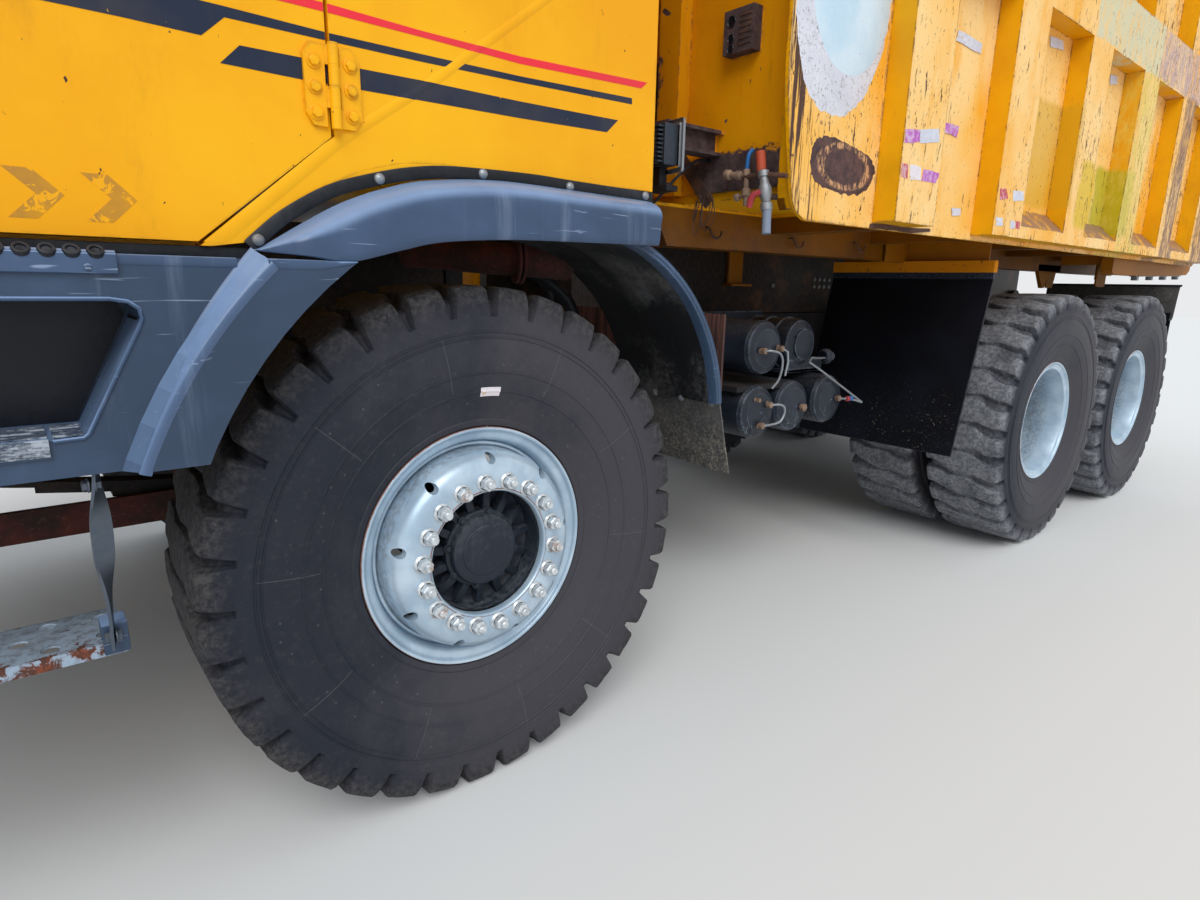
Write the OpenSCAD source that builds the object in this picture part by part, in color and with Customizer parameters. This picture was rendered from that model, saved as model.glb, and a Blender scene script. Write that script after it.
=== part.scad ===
// Wide-body mining dump truck: a rigid three-axle tipper with a front hoist.
// X points forward, Y to the truck's left and Z up, in millimetres.
// Every module is drawn from the front axle's centre line at ground level, and from_axle() moves
// it so that the origin lies on the ground under the middle of the truck.

/* [Wheels] */
// Diameter of a tyre over its lugs
tyre_d = 1490; // [1450:5:1520]
// Width of a tyre's section
tyre_w = 432; // [400:2:440]
// Depth of the tread lugs
lug_depth = 36; // [24:1:44]
// Tread lugs round a tyre
lug_count = 30; // [24:2:32]
// Share of the tread that the lugs take
lug_share = 0.66; // [0.5:0.02:0.8]
// Diameter over a rim's flanges
flange_d = 711; // [690:1:730]
// Width over a rim's two flanges
rim_w = 326; // [300:2:340]
// Circle of the wheel studs
stud_circle_d = 425; // [400:1:440]
// Centre hole of a wheel disc
disc_bore_d = 346; // [300:2:360]

/* [Layout] */
// Front axle to first rear axle
wheelbase = 3780; // [3740:10:3900]
// First rear axle to second rear axle
tandem = 1610; // [1560:5:1650]
// Centre to centre of the front tyres
front_track = 2734; // [2700:2:2760]
// Centre to centre of the rear twins
rear_track = 2600; // [2590:2:2620]
// Centre to centre of the two tyres in a twin
twin_pitch = 500; // [480:5:520]
// Front axle to the front face of the bumper
front_overhang = 2150; // [2120:5:2250]

/* [Frame] */
// Centre line to the outer face of a rail
rail_y = 450; // [440:2:470]
// Height of a rail
rail_h = 320; // [280:5:340]
// Height of the rails' top above the ground
rail_top = 1340; // [1330:2:1344]
// Width of a rail's flange
rail_flange = 90; // [70:2:100]
// Thickness of a rail
rail_t = 14; // [8:1:16]
// Bore for the towing pin in the bumper's ears
tow_pin_d = 51; // [40:1:60]

/* [Steering] */
// Centre line to the kingpins
kingpin_y = 1100; // [1080:2:1110]
// Kingpins to the tie rod's centre line
steer_arm = 260; // [240:5:280]

/* [Cab] */
// Half the width of the cab
cab_y = 1590; // [1560:5:1610]
// Thickness of the cab's walls and doors
cab_wall = 60; // [45:1:70]
// Height of the cab's floor edge above the ground
cab_floor = 1558; // [1550:1:1566]
// Height of the cab's roof above the ground
cab_roof = 3430; // [3380:5:3480]
// Front axle to the cab's rear wall
cab_rear = -580; // [-600:5:-560]
// Front axle to the cab's front face
cab_front = 2010; // [1990:5:2030]
// Running gap round a door
door_gap = 8; // [5:1:10]

/* [Dump body] */
// Half the width over the side ribs
body_y = 1800; // [1790:2:1830]
// How far the side ribs stand out from the side plate
rib_depth = 95; // [70:1:110]
// Thickness of the body's plates
body_plate = 15; // [10:1:20]
// Height of the load floor above the ground
load_floor = 1840; // [1830:2:1850]
// Height of the canopy's underside above the cab's roof
canopy_gap = 330; // [280:10:380]
// Front axle to the front face of the dump body's corner posts
body_front = -1130; // [-1140:5:-1120]
// The corner posts' front face to the first side rib
corner_plate_w = 500; // [470:5:520]
// Distance from one side rib to the next
rib_pitch = 846; // [830:1:850]
// Length of a side rib along the truck
rib_w = 300; // [240:5:320]
// How far the canopy reaches in front of the front wall
canopy_reach = 2300; // [2200:10:2400]

/* [Hoist] */
// Outer diameter of the hoist's barrel
barrel_d = 250; // [244:1:256]
// Wall of each telescopic tube
tube_wall = 14; // [12:1:14]
// Clearance between one tube and the next
tube_gap = 0.6; // [0.4:0.1:0.8]

/* [Hidden] */
$fn = 96;

yellow = [0.93, 0.62, 0.04];
slate = [0.22, 0.26, 0.31];
steel_black = [0.09, 0.09, 0.10];
rubber = [0.11, 0.11, 0.12];
silver = [0.72, 0.74, 0.76];
rust = [0.32, 0.20, 0.15];
glass = [0.55, 0.68, 0.72];

// Wheels
axle_z = tyre_d / 2;
tread_base_r = tyre_d / 2 - lug_depth;
flange_r = flange_d / 2;
seat_r = flange_r - 40;
rim_t = 14;
front_wheel_y = front_track / 2;
twin_mid_y = rear_track / 2;
rear1_x = -wheelbase;
rear2_x = -wheelbase - tandem;
bogie_x = (rear1_x + rear2_x) / 2;
hub_r = disc_bore_d / 2 - 12;
bearing_gap = 0.4;
spindle_r = 62;
rear_spindle_r = 96;

// Frame
rail_bottom = rail_top - rail_h;
frame_front = front_overhang - 190;
frame_rear = rear2_x - tyre_d / 2 - 65;
cross_w = 140;
cross_h = rail_h - 110;
cross_t = 12;
hinge_x = frame_rear - 100;
hinge_z = rail_top + 90;
hinge_r = 40;
hoist_x = -760;
hoist_z = 1150;
cradle_front_x = -500;
cradle_rear_x = -1250;
cross_xs = [1850, 870, cradle_front_x, cradle_rear_x, rear1_x + 1080, bogie_x, frame_rear + 80];
outrigger_xs = [1000, 1650];

// Cab
door_rear = 376;
door_front = 1400;
door_top = cab_roof - 200;
door_cut_x = 660;
arch_flat_z = axle_z + tyre_d / 2 + 282;
door_cut_z = arch_flat_z + 21;
arch_front_x = 545;
arch_bend_x = 125;
arch_r = 543;
sill_front_x = 640;
screen_low_z = cab_floor + 802;
screen_top_x = cab_front - 210;
screen_top_z = cab_roof - 70;
window_low = cab_floor + 822;
window_top = cab_roof - 320;
rear_window_low = cab_floor + 892;
rear_window_top = cab_roof - 330;
seat_z = arch_flat_z + cab_wall;
glass_t = 10;
seal_gap = 0.3;

// Bumper
bumper_low = 830;
lamp_z = 1300;
tow_x = front_overhang - 62;
tow_z = 1010;
tow_half = 50;
tow_ear_t = 36;

// Step panels and fenders
panel_y = 1630;
panel_t = 70;
panel_top = 1534;
panel_low = 1126;
panel_front = frame_front;
panel_arch_x = -245;
panel_arch_z = axle_z - 45;
panel_arch_r = tyre_d / 2 + 292;
panel_flare_w = 108;
recess_rear = 780;
recess_front = 1500;
recess_low = 1198;
recess_top = 1453;
recess_r = 30;
step_box_in_y = 1400;
flare_y = 1670;
liner_x = -288;
liner_z = axle_z + 305;
liner_r = 586;
liner_t = 12;
liner_in_y = 1150;
liner_out_y = 1640;
liner_from = 94;
liner_to = 175;
flap_low_z = 836;

// Dump body
body_top = cab_roof + canopy_gap;
first_rib = body_front - corner_plate_w;
side_y = body_y - rib_depth;
side_in_y = side_y - body_plate;
side_low = 1725;
rib_low = 1747;
post_w = 72;
post_reach = 20;
wall_x = body_front - post_reach;
sill_h = 55;
sill_slope_h = 90;
mid_rail_low = body_top - 1030;
mid_rail_top = body_top - 760;
top_rail_h = 200;
rib_xs = [for (i = [0:6]) first_rib - i * rib_pitch];
body_rear = first_rib - 6 * rib_pitch - rib_w;
tail_bend_x = body_rear + 520;
tail_rise = 200;
tail_reach = 60;
middle_x = (front_overhang + body_rear - tail_reach) / 2;
runner_in = 350;
runner_low = rail_top + 6;
beam_out = 1165;
beam_w = 120;
beam_low = 1650;
floor_low = load_floor - body_plate * 2;
member_h = 80;
ridge_y = 1172;
canopy_t = 50;
wing_low_z = body_top - 460;
bracket_z = load_floor + 780;
bracket_gap = 10;
eye_w = 130;

// Hoist: the tubes' outer radii from the barrel inwards
tube_rs = [for (i = [0:4]) barrel_d / 2 - i * (tube_wall + tube_gap)];
tube_low = hoist_z + 75;
tube_top = bracket_z - 180;
tube_step = 14;

// A profile drawn in Y and Z, drawn out along X
module along_x(x0, x1) {
    translate([x0, 0, 0]) rotate([90, 0, 90]) linear_extrude(x1 - x0) children();
}

// A profile drawn in X and Z, drawn out along Y
module along_y(y0, y1) {
    translate([0, y1, 0]) rotate([90, 0, 0]) linear_extrude(y1 - y0) children();
}

// A block between two opposite corners
module block(low, high) {
    translate(low) cube(high - low);
}

// A round bar between two heights or along Y
module bar_y(x, z, y0, y1, r) {
    translate([x, y0, z]) rotate([-90, 0, 0]) cylinder(h = y1 - y0, r = r);
}

module bar_x(y, z, x0, x1, r) {
    translate([x0, y, z]) rotate([0, 90, 0]) cylinder(h = x1 - x0, r = r);
}

// A profile of [radius, distance outwards] turned about a wheel's axis, outwards to the left
module turned(x, y) {
    translate([x, y, axle_z]) rotate([-90, 0, 0]) rotate_extrude() children();
}

module both_sides() {
    children();
    mirror([0, 1, 0]) children();
}

module from_axle() {
    translate([-middle_x, 0, 0]) children();
}

module on_side(left) {
    if (left) children();
    else mirror([0, 1, 0]) children();
}

function arc(cx, cz, r, a0, a1, n) =
    [for (i = [0:n]) let (a = a0 + (a1 - a0) * i / n) [cx + r * cos(a), cz + r * sin(a)]];

// Tyres

// The carcass's section, as [radius, distance from its centre plane]
module tyre_section() {
    h = tyre_w / 2;
    bead = rim_w / 2 - 18;
    band = 90;
    polygon([
        [seat_r + 0.3, -bead], [flange_r + 1, -bead - 4], [flange_r + 30, -bead - 38],
        [flange_r + 110, -h + 8], [flange_r + 185, -h], [tread_base_r - 60, -h + 7],
        [tread_base_r - 8, -h + 34], [tread_base_r, -band - 30], [tyre_d / 2 - 8, -band],
        [tyre_d / 2 - 8, band], [tread_base_r, band + 30], [tread_base_r - 8, h - 34],
        [tread_base_r - 60, h - 7], [flange_r + 185, h], [flange_r + 110, h - 8],
        [flange_r + 30, bead + 38], [flange_r + 1, bead + 4], [seat_r + 0.3, bead]
    ]);
}

// The lugs seen from the side, one of them flat on the ground; they run down the sidewalls
module lug_outline() {
    pitch = 360 / lug_count;
    tip = lug_share * pitch / 2;
    root = tip + 0.5;
    tip_r = tyre_d / 2 / cos(tip);
    root_r = tread_base_r - 62;
    polygon([
        for (k = [0:lug_count - 1])
            for (c = [[-root, root_r], [-tip, tip_r], [tip, tip_r], [root, root_r]])
                [c[1] * cos(k * pitch - 90 + c[0]), c[1] * sin(k * pitch - 90 + c[0])]
    ]);
}

module tyre(x, y) {
    color(rubber) {
        turned(x, y) tyre_section();
        translate([x, y + tyre_w / 2 - 10, axle_z]) rotate([90, 0, 0]) linear_extrude(tyre_w - 20) difference() {
            lug_outline();
            circle(r = flange_r + 150);
        }
    }
}

module twin_tyres(x) {
    for (side = [-1, 1]) tyre(x, twin_mid_y + side * twin_pitch / 2);
}

// Rims

// One side of the rim's barrel section, from the middle outwards
module rim_section() {
    h = rim_w / 2;
    well = seat_r - 34;
    polygon([
        [well - rim_t, -h * 0.35], [seat_r - rim_t, -h * 0.62], [seat_r - rim_t, -h + 20],
        [flange_r - rim_t - 6, -h + 10], [flange_r, -h], [flange_r, -h + 12], [seat_r, -h + 17.5],
        [seat_r, -h * 0.6], [well, -h * 0.3],
        [well, h * 0.3], [seat_r, h * 0.6], [seat_r, h - 17.5], [flange_r, h - 12], [flange_r, h],
        [flange_r - rim_t - 6, h - 10], [seat_r - rim_t, h - 20], [seat_r - rim_t, h * 0.62],
        [well - rim_t, h * 0.35]
    ]);
}

// The front disc bulges out to the rim's outer edge, with the studs on its flat part
module front_disc_section() {
    h = rim_w / 2;
    bore = disc_bore_d / 2;
    flat_out = stud_circle_d / 2 + 38;
    polygon([
        [bore, h - 60], [bore, h - 36], [flat_out, h - 36], [seat_r - 22, h - 62],
        [seat_r - rim_t + 4, h - 64], [seat_r - rim_t + 4, h - 90], [seat_r - 40, h - 88],
        [flat_out - 6, h - 60]
    ]);
}

module ring_of(count, r) {
    for (i = [0:count - 1])
        rotate([0, i * 360 / count, 0]) translate([r, 0, 0]) children();
}

module front_rim() {
    h = rim_w / 2;
    color(silver) difference() {
        union() {
            turned(0, front_wheel_y) rim_section();
            turned(0, front_wheel_y) front_disc_section();
        }
        translate([0, front_wheel_y, axle_z]) ring_of(8, seat_r - 44)
            translate([0, h - 100, 0]) rotate([-90, 0, 0]) cylinder(h = 60, r = 13);
    }
    color(steel_black) difference() {
        union() {
            turned(0, front_wheel_y) polygon([
                [spindle_r + bearing_gap, -110], [225, -110], [225, -10], [disc_bore_d / 2 + 70, h - 90],
                [disc_bore_d / 2 + 70, h - 60.3], [hub_r, h - 60.3], [hub_r, h - 95], [114, h - 80],
                [114, h - 46], [100, h - 36], [0, h - 36], [0, 60], [spindle_r + bearing_gap, 60]
            ]);
        }
    }
}

module rear_disc_section(side) {
    // side is 1 for the outer rim, whose disc lies at its inner edge, and -1 for the inner rim
    face = -side * (twin_pitch / 2 - bearing_gap / 2);
    bore = disc_bore_d / 2;
    polygon([
        [bore, face], [bore, face + side * 22], [stud_circle_d / 2 + 40, face + side * 22],
        [seat_r - rim_t + 4, face + side * 130], [seat_r - rim_t + 4, face + side * 104],
        [stud_circle_d / 2 + 44, face]
    ]);
}

module rear_rims(x) {
    for (side = [-1, 1])
        color(silver) union() {
            turned(x, twin_mid_y + side * twin_pitch / 2) rim_section();
            turned(x, twin_mid_y + side * twin_pitch / 2) rear_disc_section(side);
        }
    color(steel_black) turned(x, twin_mid_y) polygon([
        [rear_spindle_r + bearing_gap, -130], [226, -130], [226, -30.3],
        [disc_bore_d / 2 + 62, -30.3], [disc_bore_d / 2 + 62, -22.6], [hub_r, -22.6],
        [hub_r, 150], [150, 215], [110, 250], [0, 250], [0, 100], [rear_spindle_r + bearing_gap, 100]
    ]);
}

// Frame

module rail_profile() {
    polygon([
        [rail_y, rail_bottom], [rail_y, rail_top], [rail_y - rail_flange, rail_top],
        [rail_y - rail_flange, rail_top - rail_t], [rail_y - rail_t, rail_top - rail_t],
        [rail_y - rail_t, rail_bottom + rail_t], [rail_y - rail_flange, rail_bottom + rail_t],
        [rail_y - rail_flange, rail_bottom]
    ]);
}

module cross_profile(x) {
    z = (rail_top + rail_bottom) / 2;
    difference() {
        translate([x - cross_w / 2, z - cross_h / 2]) square([cross_w, cross_h]);
        translate([x - cross_w / 2 + cross_t, z - cross_h / 2 + cross_t])
            square([cross_w - 2 * cross_t, cross_h - 2 * cross_t]);
    }
}

// The ear that carries the tipping hinge's pin on the outside of a rail
module hinge_ear() {
    along_y(rail_y, rail_y + 40) {
        translate([hinge_x, hinge_z]) circle(r = 85);
        polygon([
            [hinge_x - 85, hinge_z], [hinge_x - 60, rail_bottom + 60], [frame_rear + 160, rail_bottom + 60],
            [frame_rear + 160, rail_top - 20], [hinge_x + 85, hinge_z]
        ]);
    }
}

module frame_rails() {
    color(steel_black) from_axle() both_sides() along_x(frame_rear, frame_front) rail_profile();
}

module cross_members() {
    inner_y = rail_y - rail_t;
    color(steel_black) from_axle() {
        for (x = cross_xs) along_y(-inner_y, inner_y) cross_profile(x);
        block([frame_rear - 10, -rail_y, rail_bottom + 60], [frame_rear, rail_y, rail_top - 60]);
    }
}

// The tipping hinge's two ears and its pin
module tipping_hinge() {
    both_sides() hinge_ear();
    bar_y(hinge_x, hinge_z, -rail_y - 40, rail_y + 40, hinge_r);
}

// Two plates between cross members, and the pin under the hoist
module hoist_cradle() {
    both_sides() block([cradle_rear_x + cross_w / 2, 150, hoist_z - 70], [cradle_front_x - cross_w / 2, 180, hoist_z + 70]);
    bar_y(hoist_x, hoist_z, -170, 170, 35);
}

module frame_brackets() {
    color(steel_black) from_axle() {
        tipping_hinge();
        hoist_cradle();
        both_sides() {
            // Outriggers that carry the step panels
            for (x = outrigger_xs)
                block([x - 40, rail_y, rail_bottom + 180], [x + 40, step_box_in_y, rail_bottom + 280]);
            // Posts that carry the cab
            block([1260, 370, rail_top], [1340, 446, cab_floor]);
            block([-560, 370, rail_top], [-480, 446, arch_flat_z]);
            // Brackets of the front springs
            for (x = [spring_front_x, spring_rear_x])
                block([x - 45, rail_y - rail_flange, spring_eye_z + 30], [x + 45, rail_y, rail_bottom]);
            // Trunnions of the rear bogie
            along_y(rail_y, rail_y + 60) polygon([
                [bogie_x - 260, rail_top - 60], [bogie_x - 110, trunnion_z - 90], [bogie_x + 110, trunnion_z - 90],
                [bogie_x + 260, rail_top - 60]
            ]);
            bar_y(bogie_x, trunnion_z, rail_y, bogie_spring_y + 10, 62);
        }
    }
}

spring_front_x = 1180;
spring_rear_x = -700;
spring_eye_z = 900;
trunnion_z = 800;
bogie_spring_y = 660;

// Bumper, grille and lamps

module front_bumper() {
    color(slate) from_axle() difference() {
        union() {
            difference() {
                translate([0, 0, bumper_low]) linear_extrude(panel_top - bumper_low) polygon([
                    [frame_front, -panel_y], [frame_front + 90, -panel_y], [front_overhang, -panel_y + 130],
                    [front_overhang, panel_y - 130], [frame_front + 90, panel_y], [frame_front, panel_y]
                ]);
                both_sides() for (y = [1180, 1400])
                    bar_x(y, lamp_z, front_overhang - 60, front_overhang + 5, 95);
                block([front_overhang - 130, -760, 900], [front_overhang + 5, 760, 1120]);
            }
            // The two ears that the towing pin goes through
            both_sides() along_y(tow_half, tow_half + tow_ear_t) polygon([
                [front_overhang - 131, tow_z - 80], [front_overhang - 42, tow_z - 80], [front_overhang - 10, tow_z - 40],
                [front_overhang - 10, tow_z + 40], [front_overhang - 42, tow_z + 80], [front_overhang - 131, tow_z + 80]
            ]);
        }
        bar_y(tow_x, tow_z, -tow_half - tow_ear_t - 5, tow_half + tow_ear_t + 5, tow_pin_d / 2);
    }
}

module front_grille() {
    color(steel_black) from_axle() union() {
        difference() {
            block([cab_front, -900, 1640], [cab_front + 34, 900, 2240]);
            block([cab_front + 10, -850, 1690], [cab_front + 40, 850, 2190]);
        }
        for (i = [0:5])
            block([cab_front + 8, -852, 1725 + i * 80], [cab_front + 30, 852, 1755 + i * 80]);
    }
}

module lamps() {
    color(silver) from_axle() {
        both_sides() for (y = [1180, 1400])
            bar_x(y, lamp_z, front_overhang - 60, front_overhang - 12, 94.7);
        // Tail lamps on the frame's end
        both_sides() block([frame_rear - 60, 250, rail_bottom + 90], [frame_rear - 10, 430, rail_bottom + 230]);
    }
}

// Cab

// The cab's outline from the side, set in by a distance
module cab_outline(inset) {
    floor_z = cab_floor + inset;
    flat_z = arch_flat_z + inset;
    polygon(concat(
        [[cab_rear + inset, flat_z], [arch_bend_x, flat_z]],
        arc(arch_bend_x, flat_z - arch_r, arch_r, 90 - 10, 90 - 50.7, 4),
        [
            [sill_front_x + inset / 2, floor_z], [cab_front - inset, floor_z],
            [cab_front - inset, screen_low_z], [screen_top_x - inset, screen_top_z - inset / 2],
            [screen_top_x - 90 - inset, cab_roof - inset], [cab_rear + 110 + inset / 2, cab_roof - inset],
            [cab_rear + inset, cab_roof - 110 - inset / 2]
        ]
    ));
}

// The door's outline from the side, set in by the running gap
module door_outline(inset) {
    polygon([
        [door_rear + inset, door_cut_z + inset / 2], [door_cut_x + inset / 2, cab_floor + inset],
        [door_front - inset, cab_floor + inset], [door_front - inset, door_top - inset],
        [door_rear + inset, door_top - inset]
    ]);
}

module door_window(inset) {
    polygon([
        [door_rear + 90 + inset, window_low + inset], [door_front - 90 - inset, window_low - 60 + inset],
        [door_front - 90 - inset, window_top - inset], [door_rear + 90 + inset, window_top - inset]
    ]);
}

// Places its child on the windscreen's slope, with the child's own Z along the slope upwards
module on_screen() {
    rake = atan2(cab_front - screen_top_x, screen_top_z - screen_low_z);
    translate([cab_front, 0, screen_low_z]) rotate([0, -rake, 0]) children();
}

screen_h = norm([cab_front - screen_top_x, screen_top_z - screen_low_z]);

module screen_block(inset, front, back) {
    block([-back, -1400 + inset, 70 + inset], [front, 1400 - inset, screen_h - 60 - inset]);
}

module cab_shell() {
    color(yellow) from_axle() difference() {
        union() {
            along_y(-cab_y, cab_y) cab_outline(0);
            both_sides() for (z = hinge_zs) {
                hinge_half(z, -1, [0, 2]);
                translate([door_rear, cab_y + hinge_out, z + 0.15]) cylinder(h = hinge_h - 0.15, r = hinge_pin_r);
            }
        }
        along_y(-cab_y + cab_wall, cab_y - cab_wall) cab_outline(cab_wall);
        both_sides() along_y(cab_y - cab_wall - 5, cab_y + 5) door_outline(0);
        on_screen() screen_block(0, 120, 240);
        block([cab_rear - 5, -900, rear_window_low], [cab_rear + cab_wall + 5, 900, rear_window_top]);
    }
}

module cab_glass() {
    color(glass) from_axle() {
        on_screen() screen_block(seal_gap, -20, 20 + glass_t);
        block([cab_rear + 20, -900 + seal_gap, rear_window_low + seal_gap],
              [cab_rear + 20 + glass_t, 900 - seal_gap, rear_window_top - seal_gap]);
    }
}

module door(left) {
    color(yellow) from_axle() on_side(left) difference() {
        union() {
            along_y(cab_y - cab_wall, cab_y) door_outline(door_gap);
            // Two outside hinges on the rear edge
            for (z = hinge_zs) hinge_half(z, 1, [1, 3]);
        }
        along_y(cab_y - cab_wall - 5, cab_y + 5) door_window(0);
        for (z = hinge_zs)
            translate([door_rear, cab_y + hinge_out, z - 5]) cylinder(h = hinge_h + 10, r = hinge_pin_r + 0.3);
    }
}

// Half a hinge, with two of its four barrels; side is 1 on the door and -1 on the cab
module hinge_half(z, side, rows) {
    h = hinge_h / 4;
    intersection() {
        along_y(cab_y - 1, cab_y + 40) hinge_leaf(z);
        union() {
            block([door_rear + side * 38 - 22, cab_y - 1, z], [door_rear + side * 38 + 22, cab_y + 9, z + hinge_h]);
            for (k = rows) translate([0, 0, z + k * h + 0.15]) linear_extrude(h - 0.3) polygon([
                [door_rear + side * 10, cab_y - 1], [door_rear + side * 20, cab_y - 1], [door_rear + side * 20, cab_y + 9],
                [door_rear + side * 14, cab_y + 9], [door_rear, cab_y + hinge_out + 5], [door_rear, cab_y + hinge_out - 5]
            ]);
        }
    }
    for (k = rows)
        translate([door_rear, cab_y + hinge_out, z + k * h + 0.15]) cylinder(h = h - 0.3, r = 11);
}

hinge_h = 170;
hinge_pin_r = 5;
hinge_zs = [door_cut_z + 19, door_top - 330];
hinge_out = 17;

// A hinge leaf seen from the side, with its corners cut
module hinge_leaf(z) {
    polygon([
        [door_rear - 60, z + 28], [door_rear - 44, z + 4], [door_rear + 44, z + 4], [door_rear + 60, z + 28],
        [door_rear + 60, z + hinge_h - 28], [door_rear + 44, z + hinge_h - 4], [door_rear - 44, z + hinge_h - 4],
        [door_rear - 60, z + hinge_h - 28]
    ]);
}

module door_glass(left) {
    color(glass) from_axle() on_side(left)
        along_y(cab_y - cab_wall / 2 - glass_t, cab_y - cab_wall / 2) door_window(seal_gap);
}

module cab_seats() {
    color(steel_black) from_axle() both_sides() {
        along_y(480, 1000) polygon([
            [120, seat_z], [200, seat_z + 418], [700, seat_z + 418], [700, seat_z + 498], [220, seat_z + 518],
            [130, seat_z + 1018], [10, seat_z + 1018], [60, seat_z + 468], [20, seat_z]
        ]);
    }
}

module dashboard() {
    color(steel_black) from_axle() union() {
        along_y(-1500, 1500) polygon([
            [cab_front - 310, cab_floor + cab_wall], [cab_front - cab_wall, cab_floor + cab_wall],
            [cab_front - cab_wall, screen_low_z - 30], [cab_front - 510, screen_low_z],
            [cab_front - 530, screen_low_z - 160], [cab_front - 370, screen_low_z - 260]
        ]);
        // The steering wheel on its column
        translate([cab_front - 570, 740, screen_low_z + 60]) rotate([0, -60, 0]) {
            difference() {
                translate([0, 0, -13]) cylinder(h = 26, r = 226);
                translate([0, 0, -20]) cylinder(h = 40, r = 198);
            }
            translate([0, 0, -200]) cylinder(h = 216, r = 28);
            for (a = [0, 120, 240]) rotate([0, 0, a]) translate([10, -14, -5]) cube([200, 28, 10]);
        }
    }
}

// Step panels, hanging steps and fenders

// The wheel arch's edge and the raised flare along it are round about one point behind the wheel
module panel_flare() {
    intersection() {
        translate([panel_arch_x, 0, panel_arch_z]) rotate([-90, 0, 0]) rotate_extrude() polygon([
            [panel_arch_r - 20, panel_y - panel_t], [panel_arch_r - 20, flare_y], [panel_arch_r + panel_flare_w, flare_y],
            [panel_arch_r + panel_flare_w + 27, panel_y], [panel_arch_r + panel_flare_w + 27, panel_y - panel_t]
        ]);
        block([0, 0, panel_low], [panel_front, flare_y + 5, panel_top]);
    }
}

module recess_outline() {
    polygon(concat(
        arc(recess_rear + recess_r, recess_top - recess_r, recess_r, 90, 200, 6),
        [[recess_rear + 112, recess_low], [recess_front, recess_low], [recess_front, recess_top]]
    ));
}

module step_panels() {
    color(slate) from_axle() both_sides() difference() {
        union() {
            block([300, panel_y - panel_t, panel_low], [panel_front, panel_y, panel_top]);
            panel_flare();
            along_y(step_box_in_y, panel_y - panel_t + 1) polygon([
                [recess_rear - 20, recess_top + 30], [recess_rear + 80, recess_low - 30],
                [panel_front, recess_low - 30], [panel_front, recess_top + 30]
            ]);
            // The tread plates over the panel and in the recess
            block([812, panel_y - 30, panel_top - 35], [recess_front + 100, panel_y + 6, panel_top + 3]);
            block([950, panel_y - 30, recess_low - 32], [recess_front, panel_y + 5, recess_low + 3]);
        }
        along_y(step_box_in_y + 30, panel_y - 31) recess_outline();
        along_y(panel_y - 32, panel_y + 10) difference() {
            recess_outline();
            translate([950, recess_low - 5]) square([700, 8]);
        }
        bar_y(panel_arch_x, panel_arch_z, panel_y - panel_t - 5, flare_y + 5, panel_arch_r);
    }
}

module hanging_steps() {
    color(steel_black) from_axle() both_sides() union() {
        for (x = [880, 1480]) along_y(1566, 1574) polygon([
            [x, 742], [x + 34, 742], [x + 40, 900], [x + 36, panel_low], [x - 12, panel_low], [x - 6, 900]
        ]);
        difference() {
            block([884, 1385, 742], [1510, 1568, 772]);
            block([940, 1380, 738], [1454, 1545, 764]);
            for (i = [0:4]) for (j = [0:1]) translate([1000 + i * 100 + j * 40, 1430 + j * 70, 730])
                cylinder(h = 60, r = 15);
        }
    }
}

module flare_outline() {
    polygon(concat(
        [[cab_rear, arch_flat_z], [cab_rear + 40, 1612], [60, 1612]],
        arc(60, 1612 - 480, 480, 88, 60, 4),
        [[400, 1545], [arch_front_x + 25, 1545]],
        arc(arch_bend_x, arch_flat_z - arch_r, arch_r, 90 - 50.7, 90, 6)
    ));
}

module liner_outline(depth) {
    polygon(concat(
        arc(liner_x, liner_z, liner_r, liner_from, liner_to, 16),
        arc(liner_x, liner_z, liner_r + depth, liner_to, liner_from, 16)
    ));
}

// Cuts the flare's top back, so that it slopes out from the strip along the cab's lower edge
module flare_bevel() {
    strip = 17;
    drop = 45;
    along_x(cab_rear - 5, arch_bend_x) polygon([
        [cab_y - 1, arch_flat_z - strip], [cab_y + 30, arch_flat_z - strip - 12], [flare_y + 1, arch_flat_z - drop],
        [flare_y + 1, arch_flat_z + 5], [cab_y - 1, arch_flat_z + 5]
    ]);
    intersection() {
        translate([arch_bend_x, 0, arch_flat_z - arch_r]) rotate([-90, 0, 0]) rotate_extrude() polygon([
            [arch_r - strip, cab_y - 1], [arch_r - strip - 12, cab_y + 30], [arch_r - drop, flare_y + 1],
            [arch_r + 5, flare_y + 1], [arch_r + 5, cab_y - 1]
        ]);
        block([arch_bend_x - 0.01, cab_y - 2, cab_floor - 60], [arch_front_x + 60, flare_y + 2, arch_flat_z + 10]);
    }
}

module front_fenders() {
    end_x = liner_x + liner_r * cos(liner_to);
    end_z = liner_z + liner_r * sin(liner_to);
    color(slate) from_axle() both_sides() union() {
        difference() {
            along_y(cab_y, flare_y) flare_outline();
            flare_bevel();
        }
        block([end_x - 30, rail_y, liner_z + 130], [end_x + 40, liner_in_y + 10, liner_z + 190]);
        along_y(liner_in_y, liner_out_y) liner_outline(liner_t);
        along_y(liner_out_y - 20, liner_out_y) liner_outline(liner_t + 30);
        along_y(liner_in_y + 5, liner_out_y) polygon([
            [end_x - 3, end_z - 3], [end_x - 14, end_z + 20], [end_x - 84, flap_low_z], [end_x - 72, flap_low_z]
        ]);
    }
}

// Engine and running gear

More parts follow.
